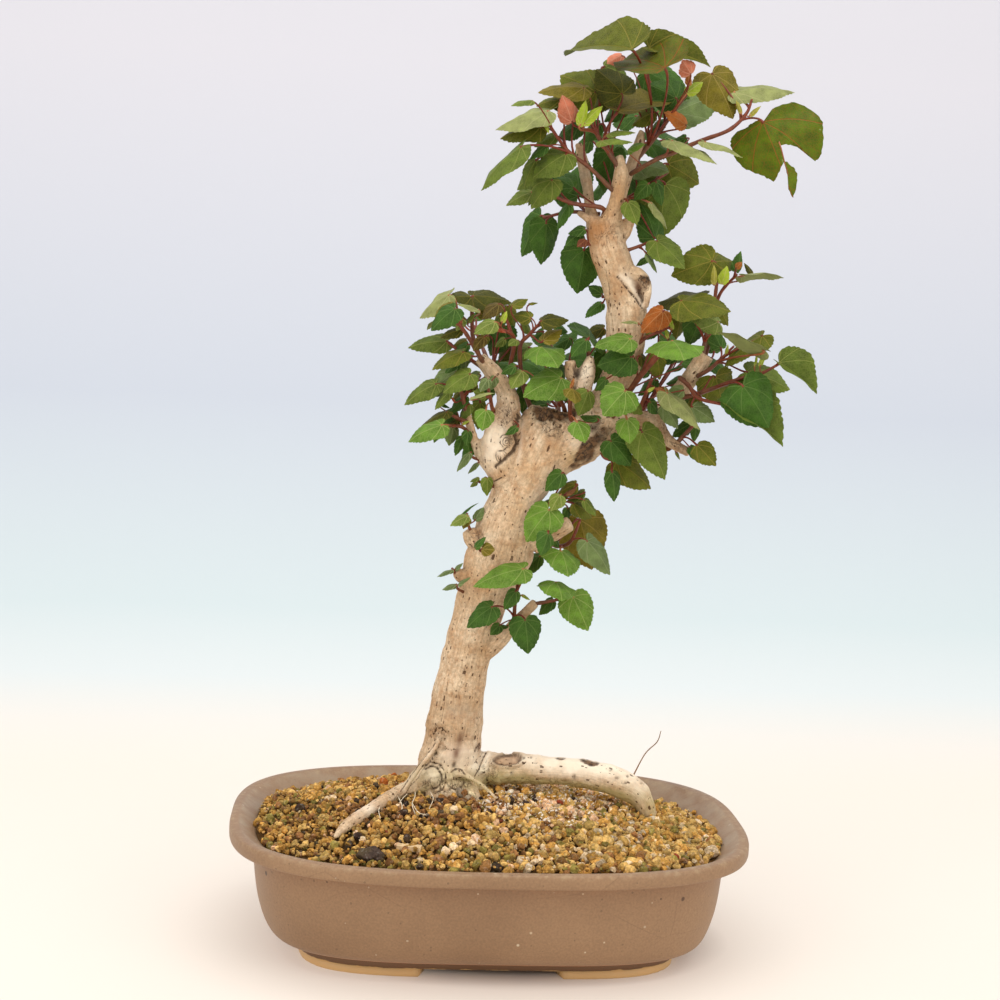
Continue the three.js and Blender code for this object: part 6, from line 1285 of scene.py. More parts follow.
def make_pot(material):
    """The stoneware pot with its turned-out lip, foot ring, four feet and two drain holes."""
    lip = [(*row, POT_POWER) for row in LIP_ROWS]
    rows = np.vstack([smooth_rows(BODY_ROWS, 6), lip, smooth_rows(INNER_ROWS, 3)])
    points = np.vstack([oval(*row) for row in rows])
    uneven = noise_at(points, UNEVEN_SIZE, 5)[:, None] * unit(points * [1, 1, 0] + 1e-9) * UNEVEN_REACH
    points = points - np.abs(uneven) * np.sign(points) * [1, 1, 0]
    wall = Skin()
    wall.add(points, ring_faces(len(rows), POT_SIDES))
    body = skin_piece("wall", wall, [])
    for side in (-1, 1):
        bpy.ops.mesh.primitive_cylinder_add(
            vertices=40,
            radius=DRAIN_RADIUS * MM,
            depth=FLOOR_TOP * 2 * MM,
            location=Vector(((side * DRAIN_OFFSET + POT_MIDDLE[0]) * MM, POT_MIDDLE[1] * MM, FLOOR_TOP * MM)),
        )
        drill = bpy.context.object
        hole = body.modifiers.new("drain", "BOOLEAN")
        hole.object = drill
        hole.solver = "EXACT"
        hole.operation = "DIFFERENCE"
    whole = body.evaluated_get(bpy.context.evaluated_depsgraph_get()).to_mesh()
    corners = np.array([vertex.co for vertex in whole.vertices]) / MM - POT_MIDDLE
    faces = [list(face.vertices) for face in whole.polygons]
    drills = [modifier.object for modifier in body.modifiers]
    bpy.data.objects.remove(body)
    for drill in drills:
        bpy.data.objects.remove(drill)
    skin = Skin()
    x, y, z = corners.T
    inner = inside_pot(x, y, np.where(z > LIP_BOTTOM, LIP_WIDTH, wall_inset(z) + WALL_LEAST))
    inner &= z > FLOOR_TOP - 0.2
    skin.add(corners, faces, 0, inner=inner.astype(float))
    insets = (RING_INSET, RING_INSET, FOOT_INSET + FOOT_WIDTH, FOOT_INSET + FOOT_WIDTH)
    heights = (RING_ROOT, RING_TOP, RING_TOP, RING_ROOT)
    ring = np.vstack([oval(inset, height, FOOT_POWER) for inset, height in zip(insets, heights)])
    skin.add(ring, ring_faces(4, POT_SIDES, closed_path=True), 0, inner=0)
    for outer, inner in foot_paths():
        count = len(outer)
        chip = CHIP_REACH * np.abs(noise_at(outer + 31, CHIP_SIZE, 6))[:, None] * unit(inner - outer)
        top = FOOT_HEIGHT + FOOT_SUNK
        levels = [(outer + chip, 0), (outer + 0.3 * chip, 0.7), (outer, top), (inner, top), (inner, 0)]
        rows = np.stack([points * [1, 1, 0] + [0, 0, height] for points, height in levels], axis=1)
        skin.add(rows.reshape(-1, 3), ring_faces(count, len(levels)), 0, inner=0)
    return show(skin_piece("stoneware_pot", skin, [material]), "clay_body", "pot")


# Clay grain colours, and how common each is in the plain, mossy, light and shady parts of the heap
GRAIN_TINTS = {
    "ochre": "#BC8C46", "gold": "#D2AA64", "brown": "#8E623A", "olive": "#8C7C3E", "pale": "#DEC29A",
    "pink": "#D8AE86", "white": "#E4D4BA", "dark": "#40322A", "red": "#84402C",
}
GRAIN_MOSS = {"plain": 0.16, "mossy": 0.45, "light": 0.05, "shady": 0.12, "sunny": 0.35}
GRAIN_MIXES = {
    "plain": (0.45, 0.32, 0.14, 0.04, 0.02, 0.03, 0.0, 0.02, 0.002),
    "mossy": (0.4, 0.22, 0.16, 0.18, 0.01, 0.01, 0.0, 0.03, 0.0),
    "light": (0.14, 0.24, 0.1, 0.03, 0.2, 0.24, 0.02, 0.02, 0.006),
    "shady": (0.28, 0.1, 0.36, 0.06, 0.04, 0.04, 0.0, 0.14, 0.004),
    "sunny": (0.26, 0.44, 0.06, 0.1, 0.12, 0.02, 0.0, 0.0, 0.002),
}
# Parts of the heap: kind, steps across and down, half width and half height
GRAIN_PARTS = [
    ("light", 552, 802, 72, 23),
    ("sunny", 560, 846, 110, 22),
    ("shady", 450, 806, 44, 16),
    ("shady", 372, 812, 30, 12),
    ("mossy", 290, 812, 40, 16),
    ("mossy", 390, 864, 90, 10),
    ("sunny", 660, 836, 80, 36),
]

# Layers of grains: spacing, share of places filled, height over the heap, sideways scatter, radius and detail
GRAIN_LAYERS = [(4.2, 1.0, -1.6, 0.7, 2.0, 2), (4.2, 0.4, 0.1, 1.6, 1.95, 2), (3.0, 0.6, -0.3, 0.9, 1.05, 1)]

# How much grain sizes spread, the least and largest, and their growth from left over the middle to the right
GRAIN_SPREAD = 0.26
GRAIN_RANGE = (0.6, 3.1)
GRAIN_GROWTH = (0.85, 1.0, 1.15)
GRAIN_SIDES = (-30, 30)
# How clear of the wood the grains lie, and the rounds and sides of the heap's own skin
GRAIN_CLEAR = 0.4
HEAP_ROUNDS, HEAP_SIDES = 46, 150

# Where the lava lump lies, and the two ends of the wood chip, in steps across and down
LUMP_PLACE = (371, 857)
CHIP_ENDS = ((392, 851), (414, 857))

# Single crumbs on the heap: colour, steps across and down, and three half sizes
CRUMBS = [
    ("#382820", 300, 810, 3.4, 2.6, 2.2), ("#382820", 358, 838, 3.2, 2.4, 2),
    ("#3E2C22", 407, 840, 2.8, 2.2, 1.8), ("#3E2C22", 402, 815, 3.4, 2.6, 2),
    ("#93402A", 676, 859, 2.6, 1.8, 1.3), ("#8E3C26", 560, 804, 2, 1.4, 1.2),
    ("#8A7A68", 446, 793, 3.6, 2.6, 2.2), ("#94846F", 461, 795, 3.8, 2.8, 2.2),
    ("#A08C74", 468, 800, 2.6, 2, 1.8), ("#B4642C", 384, 784, 3, 2.4, 2),
    ("#A85A2A", 394, 778, 2.6, 2.2, 1.8), ("#B8702E", 404, 787, 2.6, 2, 1.8),
    ("#6E4A30", 668, 808, 4.6, 1.4, 1), ("#7A5236", 676, 811, 4, 1.2, 0.9),
    ("#6A4630", 686, 816, 3.4, 1.2, 0.9), ("#E6D2A8", 472, 797, 2.8, 1.6, 2.6),
]
# Hair-fine pale roots that run over the grains, in steps across and down
FINE_ROOTS = [
    [(414, 789), (415, 799), (412, 808), (415, 818)],
    [(421, 788), (407, 797), (399, 806)],
    [(398, 800), (402, 811), (398, 820)],
    [(412, 806), (418, 815), (426, 819)],
    [(387, 803), (379, 812), (380, 822)],
    [(430, 794), (433, 803), (429, 812)],
]
FINE_ROOT_RADIUS = 0.28


def soil_height(x, y):
    """How high the heap stands at places in the pot."""
    across = (x + MOUND_LEFT) / (POT_LENGTH / 2 - 9)
    deep = (y - MOUND_BACK) / (POT_DEPTH / 2 - 9)
    return SOIL_EDGE + SOIL_RISE * (1 - np.minimum(across**2 + deep**2, 1)) - SOIL_FRONT_RISE * deep


def ball(detail):
    """Points and faces of a ball."""
    mesh = bpy.data.meshes.new("ball")
    shape = bmesh.new()
    bmesh.ops.create_icosphere(shape, subdivisions=detail, radius=1)
    shape.to_mesh(mesh)
    shape.free()
    points = np.array([vertex.co for vertex in mesh.vertices])
    faces = [list(face.vertices) for face in mesh.polygons]
    bpy.data.meshes.remove(mesh)
    return points, faces


def random_turn(draw):
    """A turn with no favoured direction."""
    turns = draw.normal(size=4)
    w, x, y, z = turns / np.linalg.norm(turns)
    return np.array([
        [1 - 2 * (y * y + z * z), 2 * (x * y - z * w), 2 * (x * z + y * w)],
        [2 * (x * y + z * w), 1 - 2 * (x * x + z * z), 2 * (y * z - x * w)],
        [2 * (x * z - y * w), 2 * (y * z + x * w), 1 - 2 * (x * x + y * y)],
    ])


def cut_stone(points, draw):
    """A ball of points cut by flat faces at random and crumbled, as a broken grain is."""
    cuts = unit(draw.normal(size=(9, 3)))
    lean = np.maximum(points @ cuts.T, 0.05)
    reach = (draw.uniform(0.56, 0.98, 9) / lean).min(axis=1)
    return points * (np.minimum(reach, 1.12) * draw.uniform(0.86, 1.1, len(points)))[:, None]


def grain_spots(draw, wood):
    """Places of the grains over the heap layer by layer, clear of the wood, with their size and detail."""
    rows = []
    for spacing, keep, lift, spread, radius, detail in GRAIN_LAYERS:
        for line, y in enumerate(np.arange(-POT_DEPTH / 2, POT_DEPTH / 2, spacing * 0.866)):
            for x in np.arange(-POT_LENGTH / 2, POT_LENGTH / 2, spacing):
                x_now = x + (line % 2) * spacing / 2 + draw.normal() * spread
                y_now = y + draw.normal() * spread
                if draw.random() < keep and inside_pot(x_now, y_now, SOIL_INSET + 1.2):
                    height = soil_height(x_now, y_now) + lift + draw.normal() * 0.5
                    rows.append((x_now, y_now, height, radius, detail))
    spots = np.array(rows)
    free = np.ones(len(spots), bool)
    for start in range(0, len(spots), POINTS_AT_ONCE):
        part = spots[start : start + POINTS_AT_ONCE, :3]
        gaps = np.linalg.norm(part[:, None] - wood[None, :, :3], axis=2) - wood[None, :, 3]
        free[start : start + POINTS_AT_ONCE] = gaps.min(axis=1) > GRAIN_CLEAR
    return spots[free]


def grain_tint(x, y, z, draw):
    """A grain's colour, and the part of the heap that it lies in."""
    across, down = seen(np.array([[x, y, z]]))
    kind = "plain"
    for part, part_across, part_down, half_width, half_height in GRAIN_PARTS:
        reach = math.hypot((across[0] - part_across) / half_width, (down[0] - part_down) / half_height)
        if reach < 0.75 + 0.5 * draw.random():
            kind = part
            break
    pick = draw.random() * sum(GRAIN_MIXES[kind])
    for tint, share in zip(GRAIN_TINTS, GRAIN_MIXES[kind]):
        pick -= share
        if pick <= 0:
            return tint, kind
    return "ochre", kind


def make_soil(materials, axes, draw):
    """The heap itself and the loose clay grains that cover it, clear of the wood, the lump and the chip."""
    chip = [[*on_heap(*place, 0.6), 1.7] for place in np.linspace(*CHIP_ENDS, 7)]
    middle = on_heap(*LUMP_PLACE, 1.0)
    lump = [[*middle, 4.6], [*(middle + [4, 0, 0]), 3.4]]
    wood = np.vstack([axes[:, :4], chip, lump])
    rim = oval(SOIL_INSET + 0.4, 0, POT_POWER, HEAP_SIDES)
    shares = np.sqrt(np.linspace(0.0004, 1, HEAP_ROUNDS))
    x, y = np.outer(shares, rim[:, 0]).ravel(), np.outer(shares, rim[:, 1]).ravel()
    flat = np.stack([x, y, np.zeros(len(x))], axis=1)
    z = soil_height(x, y) - 2.6 + 0.9 * noise_at(flat, 3.4, 8)
    heap = Skin()
    faces = ring_faces(HEAP_ROUNDS, HEAP_SIDES, caps=False)
    # The heap's dark brown is painted shade, seen in the gaps between the grains
    heap.add(np.stack([x, y, z], axis=1), faces, 0, tint=srgb("#4E3618"), moss=0, speck=0)
    show(skin_piece("clay_grain_heap", heap, materials), "clay_grain", "soil")
    balls = {detail: ball(detail) for detail in (1, 2)}
    names = ("loose_clay_grains_left", "loose_clay_grains_right", "fine_clay_crumbs")
    parts = {name: Skin() for name in names}
    for x, y, z, radius, detail in grain_spots(draw, wood):
        points, faces = balls[int(detail)]
        tint, kind = grain_tint(x, y, z, draw)
        size = np.clip(draw.lognormal(math.log(radius), GRAIN_SPREAD), *GRAIN_RANGE)
        size *= GRAIN_GROWTH[np.digitize(x, GRAIN_SIDES)]
        stretch = draw.uniform(0.75, 1.2, 3)
        grain = (cut_stone(unit(points), draw) * stretch * size) @ random_turn(draw).T + [x, y, z]
        colour = toned(GRAIN_TINTS[tint], draw.uniform(0.55, 1.3))
        moss = GRAIN_MOSS[kind] * draw.uniform(0.2, 1.1)
        speck = 1.0 if kind == "light" else 0.5 if tint in ("pale", "pink", "white") else 0.1
        name = names[2 if detail < 2 else 0 if x < 0 else 1]
        parts[name].add(grain, faces, 0, tint=colour, moss=moss, speck=speck)
    for name, part in parts.items():
        show(skin_piece(name, part, materials, smooth=False), "clay_grain")


def lumpy(skin, detail, size, place, turn, draw, roughness, **values):
    """A rough stone or crumb."""
    points, faces = ball(detail)
    shape = 1 + roughness * noise_at(points + draw.uniform(-50, 50, 3), 0.55)
    shape += 0.4 * roughness * noise_at(points + draw.uniform(-50, 50, 3), 0.2)
    skin.add(points * shape[:, None] * size @ turn.T + place, faces, 0, **values)


def on_heap(across, down, lift=0.0):
    """The place on the heap that shows at steps across and down."""
    depth = 0.0
    for _ in range(30):
        point = at(across, down, depth)
        miss = point[2] - soil_height(point[0], point[1])
        depth += miss * 1.5
        if abs(miss) < 0.02:
            break
    return point + [0, 0, lift]


def make_crumbs(materials, draw):
    """Dark lumps, grey pebbles, bark bits and brick-red crumbs, and the fine roots between them."""
    skin = Skin()
    for colour, across, down, *sizes in CRUMBS:
        place = on_heap(across, down, 0.8)
        lumpy(skin, 3, sizes, place, random_turn(draw), draw, 0.2, tint=srgb(colour), moss=0.1, speck=0.1)
    for path in FINE_ROOTS:
        points = smooth_rows([on_heap(*place, 1.6 + draw.uniform(-0.3, 0.6)) for place in path], 6)
        radii = np.linspace(FINE_ROOT_RADIUS, FINE_ROOT_RADIUS * 0.6, len(points))
        skin.add(tube(points, radii, 6), ring_faces(len(points), 6), 0, tint=srgb("#E4D6BC"), moss=0, speck=0)
    return show(skin_piece("crumbs_and_fine_roots", skin, materials), "clay_grain")


class Finish:
    """A material under way: nodes are added to its tree until the shader is dressed with them.

    A pattern's scale is its features to the metre, so 500 is a pattern of 2 mm. On a leaf's blade and along
    the bark, whose places are in millimetres, it is its features to the millimetre.
    """

    def __init__(self, name):
        self.material = bpy.data.materials.new(name)
        self.material.use_nodes = True
        self.tree = self.material.node_tree
        self.shader = self.tree.nodes["Principled BSDF"]
        self.where = self.add("TexCoord", out="Object")

    def fill(self, node, inputs):
        """Links or sets a node's inputs: a row of them from the first on, or numbered and named ones."""
        for socket, value in inputs.items() if isinstance(inputs, dict) else enumerate(inputs):
            if isinstance(value, bpy.types.NodeSocket):
                self.tree.links.new(value, node.inputs[socket])
            else:
                node.inputs[socket].default_value = value

    def add(self, kind, inputs=(), out=0, **settings):
        """Adds a node by its kind, or its kind and operation, and gives back one of its outputs."""
        kind, _, operation = kind.partition(".")
        node = self.tree.nodes.new("ShaderNode" + kind)
        if operation:
            node.operation = operation
        for name, value in settings.items():
            setattr(node, name, value)
        self.fill(node, inputs)
        return node.outputs[out]

    def patchy(self, scale, detail, low, high, least, most, **more):
        """A share or tone that runs from least to most in soft uneven patches."""
        cloud = self.add("TexNoise", {"Vector": self.where, "Scale": scale, "Detail": detail, **more})
        return self.add("MapRange", (cloud, low, high, least, most))

    def paint(self, base, *layers):
        """Colours laid over a base one after another, each as far as its share goes."""
        for share, colour in layers:
            colour = srgb(colour) if isinstance(colour, str) else colour
            base = self.add("Mix", {0: share, 6: base, 7: colour}, out=2, data_type="RGBA")
        return base

    def dress(self, base, relief, strength, depth, **more):
        """Gives the shader its colour, its relief and what else is said of it."""
        bump = self.add("Bump", {"Height": relief, "Strength": strength, "Distance": depth})
        self.fill(self.shader, {"Base Color": base, "Normal": bump, **more})
        return bump


SPECULAR = "Specular IOR Level"


def leaf_material():
    """Hibiscus leaf: a soft sheen over puckered green, with fine pale veins spreading from the stalk."""
    # The net's meshes are 1.3 mm wide, the freckles 0.9 mm and the clouds of tone 6 mm
    finish = Finish("sea hibiscus leaf, living blade with palmate veins")
    add = finish.add
    finish.where = add("Attribute", out="Vector", attribute_name="blade")
    ahead, side, size = add("SeparateXYZ", (finish.where,)).node.outputs
    finish.where = flat = add("VectorMath.MULTIPLY", (finish.where, (1, 1, 0)))
    reach = add("VectorMath.LENGTH", (flat,), out="Value")
    aside = add("Math.ABSOLUTE", (side,))
    angle = add("Math.ARCTAN2", (aside, ahead))
    bent = add("Math.MULTIPLY_ADD", (add("Math.DIVIDE", (reach, size)), 0.35, angle))
    nearest = None
    for source, start in ((angle, 0), (bent, 0.85), (bent, 1.5), (bent, 2.2)):
        off = add("Math.ABSOLUTE", (add("Math.SUBTRACT", (source, start)),))
        off = add("Math.MULTIPLY", (off, reach))
        nearest = off if nearest is None else add("Math.MINIMUM", (nearest, off))
    veins = add("MapRange", (nearest, 0.1, 0.36, 1, 0), interpolation_type="SMOOTHSTEP")
    step = add("Math.DIVIDE", (size, 7))
    comb = add("Math.PINGPONG", (add("Math.SUBTRACT", (ahead, aside)), step))
    ribs = add("MapRange", (comb, 0.05, 0.22, 0.6, 0), interpolation_type="SMOOTHSTEP")
    net = add("TexVoronoi", {"Vector": flat, "Scale": 0.75}, feature="DISTANCE_TO_EDGE")
    net = add("MapRange", (net, 0.02, 0.14, 0.3, 0))
    for finer in (ribs, net):
        veins = add("Math.MAXIMUM", (veins, finer))
    tint, vein_tint = (add("Attribute", out="Color", attribute_name=name) for name in ("tint", "veins"))
    under = add("Attribute", out="Fac", attribute_name="under")
    cloud = add("TexNoise", {"Vector": flat, "Scale": 0.16, "Detail": 4})
    tone = add("MapRange", (cloud, 0.3, 0.7, 0.66, 1.28))
    base = finish.paint(
        add("HueSaturation", {"Color": tint, "Value": tone}),
        (finish.patchy(1.1, 2, 0.7, 0.78, 0, 0.5), "#7A6A30"),
        (add("Math.MULTIPLY", (veins, 0.8)), vein_tint),
        (add("Math.MULTIPLY", (under, 0.6)), UNDER_TINT),
    )
    rough = add("MapRange", (under, 0, 1, 0.5, 0.75))
    relief = add("Math.MULTIPLY_ADD", (veins, -1, cloud))
    bump = finish.dress(base, relief, 0.55, 0.0006, **{"Roughness": rough, SPECULAR: 0.18})
    glow = add("BsdfTranslucent", {"Color": base, "Normal": bump})
    both = add("MixShader", (0.22, finish.shader.outputs[0], glow))
    finish.fill(finish.tree.nodes["Material Output"], {"Surface": both})
    return finish.material


def plain_material(name, scale, detail, lightest, strength, depth, colour=None, **more):
    """One colour, or the tint that the skin holds, with a fine uneven grain."""
    finish = Finish(name)
    base = srgb(colour) if colour else finish.add("Attribute", out="Color", attribute_name="tint")
    cloud = finish.add("TexNoise", {"Vector": finish.where, "Scale": scale, "Detail": detail})
    tone = finish.add("MapRange", (cloud, 0.3, 0.7, 0.7, lightest))
    base = finish.add("HueSaturation", {"Color": base, "Value": tone})
    finish.dress(base, cloud, strength, depth, **more)
    return finish.material


def stalk_material():
    """Red leaf stalks and young stems with a thin waxy skin."""
    return plain_material("sea hibiscus stalk, young red skin", 420, 3, 1.3, 0.4, 0.0003, Roughness=0.5)


def wood_material():
    """A split chip of pale wood, dry and dull."""
    name = "split pale wood, dry and rough"
    return plain_material(name, 500, 4, 1.25, 0.5, 0.0005, "#D8B98C", Roughness=0.85)


def screen_material(number):
    """Moulded plastic mesh: nearly black, with a low shine."""
    name = f"black moulded mesh plastic {number}"
    return plain_material(name, 300, 4, 1.25, 0.5, 0.0002, "#2A2C2A", Roughness=0.6)


def wire_material(number):
    """Soft anodised wire: brown metal that glints along its bends."""
    name = f"brown anodised wire {number}"
    return plain_material(name, 600, 4, 1.25, 0.5, 0.0001, "#8A6A4C", Roughness=0.4, Metallic=1)


# Stains of the bark, with the most that each covers; 'brown' also paints the shade in the hollow by the
# broken stub, and 'dark' the shade inside pits
BARK_COLOURS = {
    "pale": ("#FFF1DA", 0.9),
    "green": ("#B8AE74", 0.75),
    "grey": ("#9C8A76", 0.7),
    "stain": ("#AA6E34", 0.7),
    "brown": ("#6E4A34", 0.9),
    "dark": ("#2E2018", 0.92),
}
# Rings round a knot, in shares of its size
KNOT_RINGS = (0.72, 1.05, 1.4)
# Pores of the bark, 5 mm and 2.4 mm apart along it: how closely they stand along and across, and the largest
BARK_PORES = (((0.2, 0.36, 0.36), 0.3), ((0.42, 0.62, 0.62), 0.34))


def bark_material():
    """Smooth pale bark: peach skin with fine lengthwise lines, dark dashes of pores, stains and rot."""
    # Lines 14 mm long and 0.9 mm wide, rings 1.8 mm apart, patches of 22 mm and 7 mm, a mottle of 1.8 mm,
    # creases of 3 mm and shreds of 2.3 mm
    finish = Finish("sea hibiscus bark, smooth and dry with corky pores")
    add, patchy, paint, where = finish.add, finish.patchy, finish.paint, finish.where
    place = add("Attribute", out="Vector", attribute_name="bark_place")
    grain, rings = (
        add("TexNoise", {"Vector": add("VectorMath.MULTIPLY", (place, spread)), "Scale": 1, "Detail": detail})
        for spread, detail in (((0.07, 1.1, 1.1), 5), ((0.55, 0.06, 0.06), 4))
    )
    base = paint(
        srgb("#C3A078"),
        (patchy(45, 5, 0.32, 0.68, 0, 1), "#EAD5B6"),
        (add("MapRange", (grain, 0.42, 0.66, 0, 0.4)), "#9C7552"),
        (patchy(150, 5, 0.48, 0.64, 0, 0.5, Roughness=0.7), "#B38357"),
    )
    mottle = patchy(560, 4, 0.3, 0.7, 0.7, 1.26, Roughness=0.7)
    base = add("HueSaturation", {"Color": base, "Value": mottle})
    for name, (colour, most) in BARK_COLOURS.items():
        mark = add("Attribute", out="Fac", attribute_name=name)
        base = paint(base, (add("Math.MULTIPLY", (mark, most)), colour))
    dash = None
    for spread, largest in BARK_PORES:
        pores = add("TexVoronoi", {"Vector": add("VectorMath.MULTIPLY", (place, spread)), "Scale": 1}).node
        chance = add("SeparateXYZ", (pores.outputs["Color"],))
        size = add("MapRange", (chance, 0.45, 1, 0, largest))
        spot = add("Math.SUBTRACT", (size, pores.outputs["Distance"]))
        spot = add("MapRange", (spot, 0, 0.06, 0, 0.86))
        dash = spot if dash is None else add("Math.MAXIMUM", (dash, spot))
    names = ("crack_and_shadow_line", "knot", "fissure", "rot")
    crack_and_shadow_line, knot, fissure, rot = (add("Attribute", out="Fac", attribute_name=name) for name in names)
    ragged = patchy(500, 4, 0.3, 0.7, -0.5, 0.5)
    cuts = add("MapRange", (add("Math.MULTIPLY_ADD", (ragged, 0.7, crack_and_shadow_line)), 0.45, 1.2, 1, 0))
    knot = add("Math.MULTIPLY_ADD", (ragged, 0.1, knot))
    bend = add("TexNoise", {"Vector": where, "Scale": 190, "Detail": 2})
    knot = add("Math.MULTIPLY_ADD", (bend, 0.9, knot))
    broken = patchy(260, 1, 0.4, 0.52, 0, 0.9)
    for ring in KNOT_RINGS:
        off = add("Math.ABSOLUTE", (add("Math.SUBTRACT", (knot, ring)),))
        line = add("Math.MULTIPLY", (add("MapRange", (off, 0.02, 0.09, 1, 0)), broken))
        cuts = add("Math.MAXIMUM", (cuts, line))
    long_place = add("VectorMath.MULTIPLY", (where, (1, 1, 0.6)))
    crease = add("TexNoise", {"Vector": long_place, "Scale": 330, "Detail": 3, "Distortion": 0.8})
    crease = add("Math.ABSOLUTE", (add("Math.SUBTRACT", (crease, 0.5)),))
    crease = add("Math.MULTIPLY", (add("MapRange", (crease, 0.004, 0.035, 0.9, 0)), fissure))
    cuts = add("Math.MAXIMUM", (cuts, crease), use_clamp=True)
    shreds = add("TexNoise", {"Vector": where, "Scale": 430, "Detail": 6, "Distortion": 1.2})
    decay = paint(srgb("#2A1A12"), (add("MapRange", (shreds, 0.42, 0.62, 0, 1)), "#7E5A3A"))
    # Dark lines of cracks, knot rings and creases, among them the painted shadow lines beside the raised root
    base = paint(
        base,
        (dash, "#45280F"),
        (add("Math.MULTIPLY", (cuts, 0.85)), "#3E2A1C"),
        (add("Math.MULTIPLY", (rot, 0.92)), decay),
    )
    relief = add("Math.ADD", (grain, rings))
    for part, height in ((add("Math.MULTIPLY", (shreds, rot)), 3), (cuts, -1.2), (dash, -0.8)):
        relief = add("Math.MULTIPLY_ADD", (part, height, relief))
    finish.dress(base, relief, 0.6, 0.0006, **{"Roughness": 0.82, SPECULAR: 0.25})
    return finish.material


# Specks in the clay, one at most in each 3 mm and each 5 mm: their scale, rarity, largest size, the part of
# a random colour that picks them, strength and colour
CLAY_SPECKS = ((330, 0.8, 0.22, 0, 0.4, "#4A3828"), (210, 0.86, 0.16, 1, 0.5, "#C8B8A0"))


def clay_material():
    """Unglazed brown stoneware: matt fired clay with fine specks, faint wipes, a bare buff foot, dust with a
    painted highlight on the rim, and painted shade on the foot ring under the body.
    """
    # Clouds of 70 mm, grit of 1.1 mm, crust of 14 mm inside, wipes 36 mm apart, and dust in patches of 4 mm
    # on the rim's top that is also a painted highlight
    finish = Finish("brown stoneware, unglazed and smoothed before firing")
    add, patchy, paint, where = finish.add, finish.patchy, finish.paint, finish.where
    height = add("SeparateXYZ", (where,), out=2)
    broad = add("TexNoise", {"Vector": where, "Scale": 14, "Detail": 6})
    fine = add("TexNoise", {"Vector": where, "Scale": 900, "Detail": 3})
    base = paint(srgb("#876749"), (add("MapRange", (broad, 0.35, 0.68, 0, 1)), "#997858"))
    base = add("HueSaturation", {"Color": base, "Value": add("MapRange", (fine, 0.3, 0.7, 0.88, 1.1))})
    for scale, rarity, largest, part, strength, colour in CLAY_SPECKS:
        specks = add("TexVoronoi", {"Vector": where, "Scale": scale}).node
        chance = add("SeparateXYZ", (specks.outputs["Color"],), out=part)
        size = add("MapRange", (chance, rarity, 1, 0, largest))
        spot = add("Math.GREATER_THAN", (size, specks.outputs["Distance"]))
        base = paint(base, (add("Math.MULTIPLY", (spot, strength)), colour))
    inner = add("Attribute", out="Fac", attribute_name="inner")
    crust = add("Math.MULTIPLY", (patchy(70, 6, 0.4, 0.6, 0.05, 0.45), inner))
    long_place = add("VectorMath.MULTIPLY", (where, (0.35, 1, 1)))
    scratch = add("TexVoronoi", {"Vector": long_place, "Scale": 28}, feature="DISTANCE_TO_EDGE")
    scratch = add("MapRange", (scratch, 0, 0.006, 1, 0))
    scratch = add("Math.MULTIPLY", (scratch, add("MapRange", (broad, 0.56, 0.62, 0, 0.35))))
    base = paint(base, (crust, "#A89880"), (scratch, "#6A4E38"))
    ragged = add("TexNoise", {"Vector": where, "Scale": 160, "Detail": 4})
    for colour, across, down, radius in POT_MARKS:
        middle = tuple((on_wall(across, down) + POT_MIDDLE) * MM)
        off = add("VectorMath.DISTANCE", (where, middle), out="Value")
        off = add("Math.MULTIPLY_ADD", (ragged, -radius * MM, off))
        base = paint(base, (add("MapRange", (off, radius * MM * 0.3, radius * MM * 0.7, 0.85, 0)), colour))
    # Dust on the lip's top, which is also a painted highlight along it
    rim = add("MapRange", (height, 0.0615, 0.0635, 0, 1))
    rim_dust_and_highlight = add("Math.MULTIPLY", (patchy(260, 6, 0.48, 0.66, 0, 0.4, Roughness=0.7), rim))
    facing = add("SeparateXYZ", (add("NewGeometry", out="Normal"),), out=2)
    bare = add("MapRange", (facing, -0.95, -0.8, 1, 0))
    # Painted shade: the foot ring under the body is darkened, except on faces looking straight down
    under_body_shade = add("MapRange", (height, 0.0094, 0.0099, 0.75, 0))
    under_body_shade = add("Math.SUBTRACT", (under_body_shade, bare), use_clamp=True)
    edge = add("Math.MULTIPLY_ADD", (ragged, 0.0026, height))
    foot = add("MapRange", (edge, 0.0056, 0.0059, 1, 0))
    base = paint(base, (rim_dust_and_highlight, "#B8A07C"), (bare, "#B8703C"), (under_body_shade, "#6A4C34"), (foot, "#D4AE76"))
    rough = add("MapRange", (broad, 0.3, 0.7, 0.4, 0.58))
    finish.dress(base, fine, 0.25, 0.0003, Roughness=rough)
    return finish.material


def grain_material():
    """Fired clay grains: dull, porous and dusty, with a thin green growth on top."""
    # Pores of 1.4 mm, green growth in patches of 8 mm and white dust in specks of 1.6 mm
    finish = Finish("porous clay grain, crumbly and dusty")
    add = finish.add
    tint = add("Attribute", out="Color", attribute_name="tint")
    moss, speck = (add("Attribute", out="Fac", attribute_name=name) for name in ("moss", "speck"))
    rough = add("TexNoise", {"Vector": finish.where, "Scale": 700, "Detail": 5})
    tone = add("MapRange", (rough, 0.3, 0.7, 0.5, 1.45))
    base = finish.paint(
        add("HueSaturation", {"Color": tint, "Value": tone}),
        (add("Math.MULTIPLY", (finish.patchy(120, 3, 0.42, 0.62, 0, 1), moss)), "#827637"),
        (add("Math.MULTIPLY", (finish.patchy(620, 1, 0.6, 0.66, 0, 0.9), speck)), "#F2EADC"),
    )
    finish.dress(base, rough, 0.8, 0.0008, **{"Roughness": 0.95, SPECULAR: 0.15})
    return finish.material


def repaint(node, material):
    """Another material on a CAD node that stays as it is."""
    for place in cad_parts[node].material_slots:
        place.link = "OBJECT"
        place.material = material


